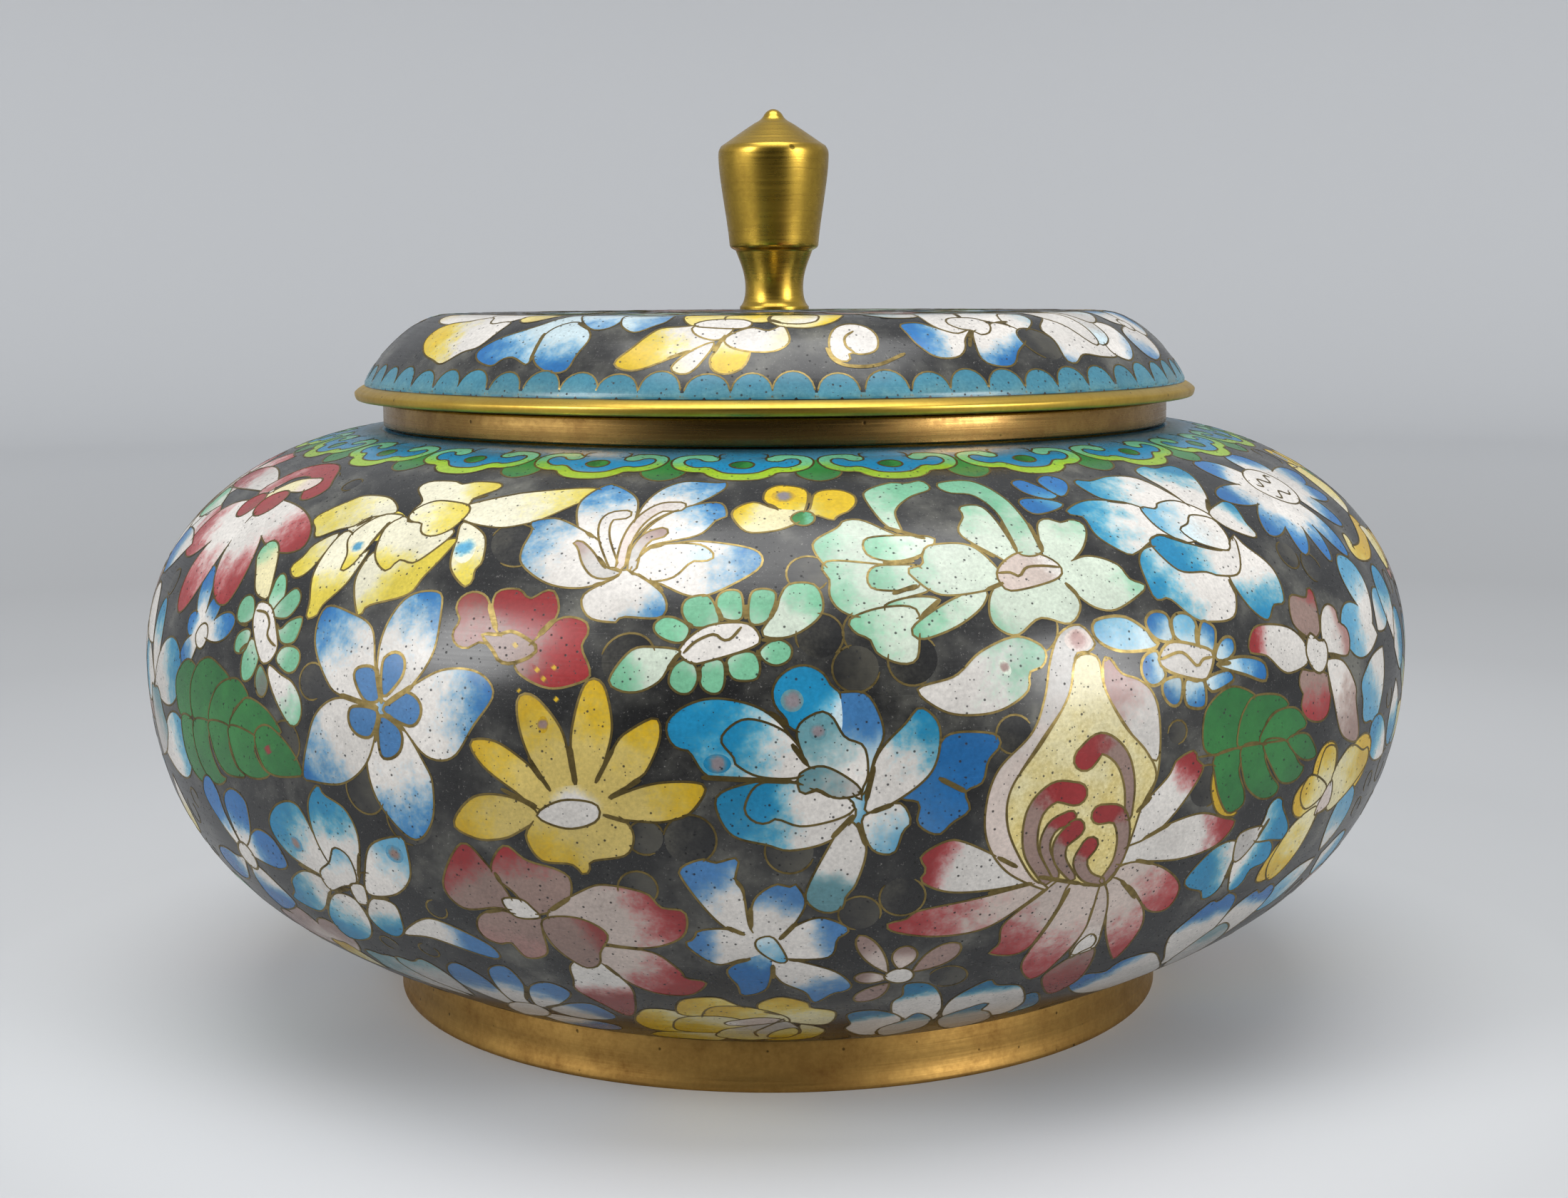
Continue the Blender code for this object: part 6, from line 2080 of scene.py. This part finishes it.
def spun(line, facets):
    """Spin a line of (radius, level) in millimetres. One that starts off the axis is closed."""
    mesh = bmesh.new()
    corners = [mesh.verts.new((radius * MM, 0, level * MM)) for radius, level in line]
    edges = [mesh.edges.new(pair) for pair in zip(corners, corners[1:])]
    if line[0][0] > 0:
        edges.append(mesh.edges.new((corners[-1], corners[0])))
    bmesh.ops.spin(
        mesh, geom=corners + edges, cent=(0, 0, 0), axis=(0, 0, 1), dvec=(0, 0, 0),
        angle=math.tau, steps=facets, use_merge=True)
    bmesh.ops.remove_doubles(mesh, verts=mesh.verts[:], dist=0.001 * MM)
    bmesh.ops.recalc_face_normals(mesh, faces=mesh.faces[:])
    return mesh


def turned(name, section, facets, rounding, material):
    """A turned piece of brass, with its crisp edges rounded."""
    mesh = spun(section, facets)
    if rounding:
        crisp = [edge for edge in mesh.edges if edge.calc_face_angle(0) > CRISP_ANGLE]
        bmesh.ops.bevel(
            mesh, geom=crisp, offset=rounding * MM, affect="EDGES", segments=3, profile=0.5,
            material=-1)
    data = mesh_data(name, mesh)
    data.shade_smooth()
    data.set_sharp_from_angle(angle=SHARP_ANGLE)
    return add_piece(name, data, material)


# The Mix node's sockets for its factor and its two colours
COLOUR_MIX = (0, 6, 7)


class Nodes:
    """Short ways to add and join the nodes of one tree."""

    def __init__(self, tree):
        self.tree = tree

    def put(self, socket, value):
        """Link another node's output to a socket, or set the socket's own value."""
        if isinstance(value, bpy.types.NodeSocket):
            self.tree.links.new(value, socket)
        else:
            socket.default_value = value

    def add(self, kind, settings=None, **inputs):
        """Add a node. An input's name is given with _ for each space."""
        node = self.tree.nodes.new(kind)
        for name, value in (settings or {}).items():
            setattr(node, name, value)
        for name, value in inputs.items():
            self.put(node.inputs[name.replace("_", " ")], value)
        return node

    def use(self, tree, **inputs):
        """Place a node group and return its first output."""
        return self.add("ShaderNodeGroup", {"node_tree": tree}, **inputs).outputs[0]

    def attribute(self, name):
        """The colour of a named attribute."""
        return self.add("ShaderNodeAttribute", {"attribute_name": name}).outputs["Color"]

    def math(self, operation, first, second=0.0, third=0.0):
        """Work out a number."""
        node = self.add("ShaderNodeMath", {"operation": operation})
        for socket, value in zip(node.inputs, (first, second, third)):
            self.put(socket, value)
        return node.outputs[0]

    def mix(self, factor, first, second, blend="MIX"):
        """Mix two colours."""
        node = self.add("ShaderNodeMix", {"data_type": "RGBA", "blend_type": blend})
        for index, value in zip(COLOUR_MIX, (factor, first, second)):
            self.put(node.inputs[index], value)
        return node.outputs[2]

    def span(self, value, low, high, new_low=0.0, new_high=1.0, smooth=False):
        """Spread the values between two numbers over two others."""
        node = self.add(
            "ShaderNodeMapRange", {"interpolation_type": "SMOOTHSTEP" if smooth else "LINEAR"},
            Value=value, From_Min=low, From_Max=high, To_Min=new_low, To_Max=new_high)
        return node.outputs[0]

    def noise(self, place, scale, detail, roughness):
        """Soft random values, as fine as the scale says."""
        node = self.add(
            "ShaderNodeTexNoise", Vector=place, Scale=scale, Detail=detail, Roughness=roughness)
        return node.outputs["Fac"]


def group(name, inputs, outputs):
    """A shader node group with named sockets."""
    tree = bpy.data.node_groups.new(name, "ShaderNodeTree")
    for socket, kind in inputs:
        tree.interface.new_socket(socket, in_out="INPUT", socket_type=kind)
    for socket, kind in outputs:
        tree.interface.new_socket(socket, in_out="OUTPUT", socket_type=kind)
    nodes = Nodes(tree)
    return tree, nodes, nodes.add("NodeGroupInput").outputs, nodes.add("NodeGroupOutput").inputs


NUMBER, PLACE = "NodeSocketFloat", "NodeSocketVector"


def pitting_group():
    """Small dark pits and specks in a polished surface."""
    tree, nodes, given, out = group(
        "fired pits", [("Place", PLACE), ("Size", NUMBER), ("Share", NUMBER)], [("Pits", NUMBER)])
    cells = nodes.add("ShaderNodeTexVoronoi", Vector=given["Place"], Scale=given["Size"]).outputs
    near = nodes.span(cells["Distance"], 0.10, 0.20, 1.0, 0.0, smooth=True)
    draw = nodes.add("ShaderNodeSeparateColor", Color=cells["Color"]).outputs[0]
    chosen = nodes.math("LESS_THAN", draw, given["Share"])
    nodes.put(out["Pits"], nodes.math("MULTIPLY", near, chosen))
    return tree


def polish_group():
    """Fine scratches left by polishing the jar on a wheel."""
    tree, nodes, given, out = group("wheel polish", [("Place", PLACE)], [("Scratches", NUMBER)])
    stretched = nodes.add("ShaderNodeMapping", Vector=given["Place"], Scale=(60, 60, 4200))
    nodes.put(out["Scratches"], nodes.noise(stretched.outputs[0], 1.0, 3.0, 0.6))
    return tree


def new_material(name):
    """An empty material, the short ways to its nodes, and Object coordinates."""
    material = bpy.data.materials.new(name)
    material.use_nodes = True
    material.node_tree.nodes.clear()
    nodes = Nodes(material.node_tree)
    return material, nodes, nodes.add("ShaderNodeTexCoord").outputs["Object"]


def principled(nodes, **inputs):
    """The shader that ends a material."""
    shader = nodes.add("ShaderNodeBsdfPrincipled", **inputs)
    nodes.add("ShaderNodeOutputMaterial", Surface=shader.outputs[0])


def way_to_tip(nodes, place, grain, along, ground):
    """How much of its tip tone a place has: ragged in a cell, cloudy on the ground."""
    broad = nodes.noise(place, 420, 3.0, 0.6)
    ragged = nodes.math("MULTIPLY_ADD", broad, 1.1, nodes.math("SUBTRACT", along, 0.55))
    ragged = nodes.math("ADD", ragged, nodes.math("MULTIPLY_ADD", grain, 0.5, -0.25))
    cloudy = nodes.span(nodes.noise(place, 110, 4.0, 0.6), 0.36, 0.70, -0.1, 0.85)
    both = nodes.add("ShaderNodeMix", Factor=ground, A=ragged, B=cloudy).outputs[0]
    return nodes.span(both, 0.0, 1.0, smooth=True)


def dye_blend(nodes, share, heart, tip):
    """Glass colours thin out like dye, so the blend passes through clean middle tones."""
    thin_heart = nodes.add("ShaderNodeGamma", Color=heart, Gamma=0.25).outputs[0]
    thin_tip = nodes.add("ShaderNodeGamma", Color=tip, Gamma=0.25).outputs[0]
    blend = nodes.mix(share, thin_heart, thin_tip)
    return nodes.add("ShaderNodeGamma", Color=blend, Gamma=4.0).outputs[0]


def uneven_firing(nodes, colour, place, grain, seed):
    """Fine and broad changes of brightness, and another from cell to cell."""
    fine = nodes.span(grain, 0.3, 0.7, 0.86, 1.10)
    wide = nodes.span(nodes.noise(place, 140, 3.0, 0.6), 0.3, 0.7, 0.84, 1.06)
    lot = nodes.span(seed, 0.0, 1.0, 0.88, 1.06)
    bright = nodes.math("MULTIPLY", nodes.math("MULTIPLY", fine, wide), lot)
    grey = nodes.add("ShaderNodeCombineColor", Red=bright, Green=bright, Blue=bright).outputs[0]
    return nodes.mix(1.0, colour, grey, "MULTIPLY")


def enamel_material(pits, polish):
    """Glass enamel in the wire cells, shaded from heart to tip, with specks and pits."""
    material, nodes, place = new_material("wired enamel")
    grain = nodes.noise(place, 2600, 2.0, 0.6)
    drawn = nodes.add("ShaderNodeSeparateColor", Color=nodes.attribute("place"))
    along, ground, seed = drawn.outputs
    share = way_to_tip(nodes, place, grain, along, ground)
    colour = dye_blend(nodes, share, nodes.attribute("heart_tone"), nodes.attribute("tip_tone"))
    colour = uneven_firing(nodes, colour, place, grain, seed)
    dust = nodes.span(nodes.noise(place, 3600, 3.0, 0.7), 0.62, 0.78, 0.0, 0.45)
    colour = nodes.mix(nodes.math("MULTIPLY", dust, ground), colour, linear("grey_white"))
    large = nodes.use(pits, Place=place, Size=1100.0, Share=0.55)
    small = nodes.use(pits, Place=place, Size=2000.0, Share=0.35)
    holes = nodes.math("MAXIMUM", large, small)
    colour = nodes.mix(nodes.math("MULTIPLY", holes, 0.88), colour, linear("black"))
    scratches = nodes.use(polish, Place=place)
    height = nodes.math("SUBTRACT", nodes.math("MULTIPLY", scratches, 0.5), holes)
    bump = nodes.add("ShaderNodeBump", Strength=0.12, Distance=0.00004, Height=height).outputs[0]
    polished = nodes.span(scratches, 0.3, 0.7, 0.20, 0.28)
    rough = nodes.math("ADD", polished, nodes.math("MULTIPLY", holes, 0.3))
    principled(nodes, Base_Color=colour, Roughness=rough, Normal=bump, IOR=1.52)
    return material


def brass_material(name, tone, dark_tone, roughness, wear, pit_size, pit_share, groups):
    """Turned brass: ring marks, a brown bloom and dark spots."""
    pits, polish = groups
    material, nodes, place = new_material(name)
    brown = nodes.span(nodes.noise(place, 150, 5.0, 0.65), 0.38, 0.72, 0.0, wear)
    grain = nodes.span(nodes.noise(place, 1500, 3.0, 0.6), 0.3, 0.7, 0.0, wear * 0.5)
    share = nodes.math("ADD", brown, grain)
    colour = nodes.mix(share, linear(tone), linear(dark_tone))
    scratches = nodes.use(polish, Place=place)
    spots = nodes.use(pits, Place=place, Size=pit_size, Share=pit_share)
    colour = nodes.mix(nodes.math("MULTIPLY", spots, 0.7), colour, linear("black"))
    polished = nodes.span(scratches, 0.25, 0.75, roughness - 0.06, roughness + 0.10)
    rough = nodes.math("ADD", polished, nodes.math("MULTIPLY", share, 0.2))
    height = nodes.math("SUBTRACT", scratches, spots)
    bump = nodes.add("ShaderNodeBump", Strength=0.30, Distance=0.00004, Height=height).outputs[0]
    principled(nodes, Base_Color=colour, Roughness=rough, Normal=bump, Metallic=1.0)
    return material


# Points along the inner sides of the two walls, and the rings across the vessel's floor
VESSEL_INNER_POINTS = 46
LID_INNER_POINTS = 40
FLOOR_RINGS = (0.97, 0.75, 0.5, 0.25, 0.08)
UNDERSIDE_RINGS = (0.7, 0.4, 0.1)


def vessel_rings(wall):
    """Inner levels of the vessel from its mouth edge to the middle of its floor."""
    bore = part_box("mouth_ring")[1].x / MM - MOUTH_RING_WIDTH
    top = float(wall.levels[0])
    floor = float(wall.levels[-1]) + VESSEL_WALL
    inner = inner_profile(wall, VESSEL_WALL, VESSEL_INNER_POINTS)
    inner = [(radius, level) for radius, level in inner if level > floor + 0.05]
    middle = [(inner[-1][0] * share, floor) for share in FLOOR_RINGS]
    return [(bore, top), (bore, inner[0][1])] + inner + middle


def lid_rings(wall):
    """Inner levels of the lid from its lower edge to the middle of its hollow."""
    edge = float(wall.levels[-1])
    inner = inner_profile(wall, LID_WALL, LID_INNER_POINTS)
    inner = [(radius, level) for radius, level in inner if level > edge + 0.2][::-1]
    return [(inner[0][0], edge)] + inner + [(inner[-1][0] * 0.5, inner[-1][1])]


def collar_section():
    """The collar at the mouth: a plain ring that fills its CAD box."""
    low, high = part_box("mouth_ring")
    outer, bottom, top = high.x / MM, low.z / MM, high.z / MM
    bore = outer - MOUTH_RING_WIDTH
    return [(bore, bottom), (outer, bottom), (outer, top), (bore, top)]


def foot_section():
    """The foot strip: upright, flaring a little to its standing edge, with a worn lip."""
    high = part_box("foot_ring")[1]
    outer, top = high.x / MM, high.z / MM
    upper = outer - FOOT_FLARE
    return [
        (upper - FOOT_WIDTH, top), (upper, top), (outer - 0.55, top * 0.5), (outer - 0.3, top * 0.2),
        (outer - 0.02, 0.5), (outer - 0.02, 0.0), (outer - FOOT_WIDTH, 0.0),
        (upper - FOOT_WIDTH, top * 0.5)]


def flange_section():
    """The flange under the lid, with a round nose, and the bezel that hangs in the mouth."""
    low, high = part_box("lid_rim")
    outer, top, bottom = high.x / MM, high.z / MM, low.z / MM
    base = top - RIM_THICKNESS
    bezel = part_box("mouth_ring")[1].x / MM - MOUTH_RING_WIDTH - BEZEL_PLAY
    nose = bezier((outer - 0.4, base), (0.25, 0), (outer, base + 0.9), (0, -0.4), 6)
    nose += bezier((outer, base + 0.9), (0, 0.2), (outer - RIM_LIP, top), (0.3, 0), 8)[1:]
    return nose + [
        (bezel - BEZEL_WIDTH, top), (bezel - BEZEL_WIDTH, bottom), (bezel, bottom), (bezel, base)]


def knob_section():
    """The turned knob: a flared base, a waist, a throat collar, a ball head and a point."""
    low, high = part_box("finial")
    base, head = low.z / MM, high.x / MM
    top = high.z / MM - base
    # Each stretch: start and its handle, end and its handle, number of points
    stretches = [
        ((4.6, 0), (0, 0.3), (4.6, 0.4), (0, -0.2), 4),
        ((4.6, 0.4), (-0.5, 0.35), (3.85, 2.9), (0, -1.1), 10),
        ((3.85, 2.9), (0, 2.2), (5.1, 7.8), (-0.35, -1.1), 14),
        ((5.1, 7.8), (0.3, 0.1), (5.9, 8.5), (0, -0.35), 5),
        ((5.9, 8.5), (0.25, 3.4), (head, 20.2), (0, -3.0), 16),
        ((head, 20.2), (0, 0.6), (6.9, 21.4), (0.25, -0.4), 6),
        ((6.9, 21.4), (-0.8, 0.5), (2.4, 24.4), (0.9, -0.5), 12),
        ((2.4, 24.4), (-0.4, 0.2), (1.3, 25.3), (0.2, -0.4), 6),
        ((1.3, 25.3), (-0.2, 0.4), (0.0, top), (0.6, 0), 8),
    ]
    line = [(0.0, 0.0), stretches[0][0]]
    for stretch in stretches:
        line += bezier(*stretch)[1:]
    return [(radius, base + level) for radius, level in line]


# Kinds of brass: light tone, dark tone, roughness, wear, how fine the pits are and their share
BRASSES = {
    "wire brass": ("wire_gold", "wire_brown", 0.30, 0.8, 900.0, 0.1),
    "rim brass": ("rim_gold", "rim_brown", 0.28, 0.4, 900.0, 0.06),
    "collar brass": ("collar_copper", "collar_brown", 0.16, 0.6, 700.0, 0.08),
    "foot brass": ("foot_ochre", "foot_brown", 0.34, 0.7, 800.0, 0.16),
    "knob brass": ("knob_gold", "knob_brown", 0.22, 0.5, 420.0, 0.07),
}


def dress(piece, node, slot=None):
    """Hand a piece to the frame, in place of a CAD node whose part it hides, or beside the CAD parts
    when a slot is named.
    """
    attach(piece, "root")
    if slot:
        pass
    else:
        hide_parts(node)


def make_vessel(enamel, brass):
    """The enamelled vessel and its wires. Returns its wall."""
    wall = Wall(vessel_profile())
    picture = Picture(wall, VESSEL_SEED)
    draw_vessel(picture)
    foot = float(wall.radii[-1])
    underside = [(foot * share, float(wall.levels[-1])) for share in UNDERSIDE_RINGS]
    dress(build_skin("vessel_enamelled", picture, vessel_rings(wall), underside, enamel), "vessel")
    dress(build_wires("vessel_wires", picture, brass), None, "rim_brass")
    return wall


def make_lid(enamel, brass):
    """The enamelled lid and its wires."""
    wall = Wall(lid_profile())
    picture = Picture(wall, LID_SEED)
    draw_lid(picture)
    middle = [(1.0, float(wall.levels[0]))]
    dress(build_skin("lid_enamelled", picture, middle, lid_rings(wall), enamel), "lid")
    dress(build_wires("lid_wires", picture, brass), None, "rim_brass")


def aim(thing, target):
    """Turn a light towards a place."""
    thing.rotation_euler = (target - thing.location).to_track_quat("-Z", "Y").to_euler()


def add_camera():
    """The camera at the photograph's place and angle."""
    data = bpy.data.cameras.new("camera")
    data.lens = LENS
    data.sensor_width = SENSOR
    data.clip_start = 0.01
    camera = bpy.data.objects.new("camera", data)
    bpy.context.scene.collection.objects.link(camera)
    pitch = Matrix.Rotation(math.pi / 2 - CAMERA_PITCH, 4, "X")
    roll = Matrix.Rotation(CAMERA_ROLL, 4, "Z")
    camera.matrix_world = Matrix.Translation(CAMERA_PLACE) @ pitch @ roll
    bpy.context.scene.camera = camera


def area_light(name, width, height, power, place, target):
    """A soft rectangle of light, sizes and places in metres and power in watts."""
    data = bpy.data.lights.new(name, "AREA")
    data.shape = "RECTANGLE"
    data.size = width
    data.size_y = height
    data.energy = power
    light = bpy.data.objects.new(name, data)
    bpy.context.scene.collection.objects.link(light)
    light.location = place
    aim(light, Vector(target))
    return light


# The soft boxes in front, in metres and watts, and their distance from the belly
SOFTBOX_SIZE = (0.32, 0.45)
SOFTBOX_POWER = 3.6
SOFTBOX_AWAY = 0.9
# The upright panels at the sides
PANEL_HEIGHT = 0.7
PANEL_AWAY = 1.05
PANEL_SPREAD = math.radians(90)


def add_softbox(name, wall, azimuth, run):
    """A soft box that mirrors at one place on the belly."""
    angle, down = np.radians([azimuth]), np.array([run])
    spot = Vector(wall.spots(angle, down)[0])
    normal = Vector(wall.normals(angle, down)[0])
    view = (Vector(CAMERA_PLACE) - spot).normalized()
    way = 2 * normal.dot(view) * normal - view
    area_light(name, *SOFTBOX_SIZE, SOFTBOX_POWER, spot + way * SOFTBOX_AWAY, spot)


def add_side_panel(name, azimuth, width, power):
    """An upright soft panel beside the jar, that its brass mirrors."""
    angle = math.radians(azimuth)
    middle = PANEL_HEIGHT / 2
    place = (PANEL_AWAY * math.sin(angle), -PANEL_AWAY * math.cos(angle), middle)
    panel = area_light(name, width, PANEL_HEIGHT, power, place, (0, 0, middle))
    panel.data.spread = PANEL_SPREAD
    panel.visible_camera = False


# The floor, in millimetres: it turns up over a bend into a low wall
FLOOR_RADIUS = 1500.0
FLOOR_FLAT = 1100.0
FLOOR_BEND = 400.0
# Painted light and shade on the paper at shares of the floor's radius: lighter by the jar, greyer
# further out, lighter again up the wall
PAPER_SHADE_STOPS = (
    (0.0, 0.74), (0.045, 0.74), (0.075, 0.56), (0.20, 0.45), (0.30, 0.45), (0.60, 0.68), (1.0, 0.92))
PAPER_TINT = (0.985, 1.0, 1.02)
# Painted shade on the floor: how much darker it is in the jar's reflections and in the light it bounces
# onto the jar, and the dark colour mixed in
FLOOR_SHADE_SHARE = 0.35
PAINTED_FLOOR_SHADE = (0.04, 0.04, 0.045, 1.0)


def unseen_by_camera(nodes):
    """1 for reflections and bounced light, 0 for what the camera sees itself."""
    return nodes.math("SUBTRACT", 1.0, nodes.add("ShaderNodeLightPath").outputs["Is Camera Ray"])


def paper_material():
    """Pale paper with painted shade, greyer behind the jar and lighter again up the wall. Reflections
    and bounced light see it darker, as painted shade, and dark towards the camera.
    """
    material, nodes, place = new_material("paper floor")
    away = nodes.add("ShaderNodeVectorMath", {"operation": "LENGTH"}, Vector=place).outputs["Value"]
    # Painted light and shade: the paper's brightness changes with the distance from the jar
    ramp = nodes.add("ShaderNodeValToRGB", Fac=nodes.math("DIVIDE", away, FLOOR_RADIUS * MM))
    elements = ramp.color_ramp.elements
    while len(elements) < len(PAPER_SHADE_STOPS):
        elements.new(0.5)
    for element, (where, tone) in zip(elements, PAPER_SHADE_STOPS):
        element.position = where
        element.color = (*(tone * tint for tint in PAPER_TINT), 1.0)
    # Painted shade and painted dark reflection: rays that are not the camera's see the floor darkened,
    # most towards the camera and somewhat everywhere
    way = nodes.add("ShaderNodeVectorMath", {"operation": "NORMALIZE"}, Vector=place).outputs[0]
    facing = nodes.add("ShaderNodeSeparateXYZ", Vector=way).outputs["Y"]
    near = nodes.span(facing, -0.55, -0.92, smooth=True)
    far = nodes.span(away, 0.11, 0.20, smooth=True)
    floor_shade = nodes.math("MAXIMUM", nodes.math("MULTIPLY", near, far), FLOOR_SHADE_SHARE)
    dark = nodes.math("MULTIPLY", floor_shade, unseen_by_camera(nodes))
    principled(nodes, Base_Color=nodes.mix(dark, ramp.outputs[0], PAINTED_FLOOR_SHADE), Roughness=0.8)
    return material


def add_floor():
    """A round floor that turns up into a low wall."""
    line = [(0.0, 0.0), (600.0, 0.0), (FLOOR_FLAT, 0.0)]
    for turn in np.linspace(0.1, math.pi / 2, 14):
        line.append((FLOOR_FLAT + FLOOR_BEND * math.sin(turn), FLOOR_BEND * (1 - math.cos(turn))))
    line.append((FLOOR_RADIUS, 500.0))
    data = mesh_data("floor", spun(line, SMALL_FACETS))
    data.shade_smooth()
    add_piece("floor", data, paper_material())


# The air's own tone and brightness, and its tone behind the camera
AIR = (0.93, 0.96, 1.0, 1.0)
AIR_STRENGTH = 0.48
DARK_AIR = (0.05, 0.05, 0.055, 1.0)


def add_world():
    """Pale air all round, darker in reflections towards the side that the camera stands on."""
    world = bpy.data.worlds.new("studio air")
    world.use_nodes = True
    nodes = Nodes(world.node_tree)
    way = nodes.add("ShaderNodeTexCoord").outputs["Generated"]
    forward = nodes.add("ShaderNodeVectorMath", {"operation": "DOT_PRODUCT"})
    nodes.put(forward.inputs[0], way)
    nodes.put(forward.inputs[1], (0, -1, -0.1))
    dark = nodes.span(forward.outputs["Value"], 0.45, 0.95, smooth=True)
    dark = nodes.math("MULTIPLY", dark, unseen_by_camera(nodes))
    sky = world.node_tree.nodes["Background"].inputs
    nodes.put(sky["Color"], nodes.mix(dark, AIR, DARK_AIR))
    sky["Strength"].default_value = AIR_STRENGTH
    bpy.context.scene.world = world


groups = pitting_group(), polish_group()
enamel = enamel_material(*groups)
brass = {}
for name, look in BRASSES.items():
    brass[name] = brass_material(name, *look, groups)

vessel_wall = make_vessel(enamel, brass["wire brass"])
make_lid(enamel, brass["wire brass"])
dress(turned("foot_strip", foot_section(), ROUND_FACETS, 0.15, brass["foot brass"]), "foot_ring")
dress(turned("mouth_collar", collar_section(), ROUND_FACETS, 0.3, brass["collar brass"]), "mouth_ring")
dress(turned("lid_flange", flange_section(), ROUND_FACETS, 0.12, brass["rim brass"]), "lid_rim")
dress(turned("turned_knob", knob_section(), SMALL_FACETS, 0.0, brass["knob brass"]), "finial")

add_camera()
add_floor()
add_world()
area_light("top softbox", 0.9, 0.7, 6.8, (0.0, -0.15, 1.1), (0, 0, 0))
add_softbox("left softbox", vessel_wall, -22.3, 35.5)
add_softbox("right softbox", vessel_wall, 23.2, 38.0)
add_side_panel("left panel", -68, 0.735, 0.39)
add_side_panel("right panel", 50, 0.63, 0.33)
bpy.context.scene.view_settings.view_transform = "Standard"
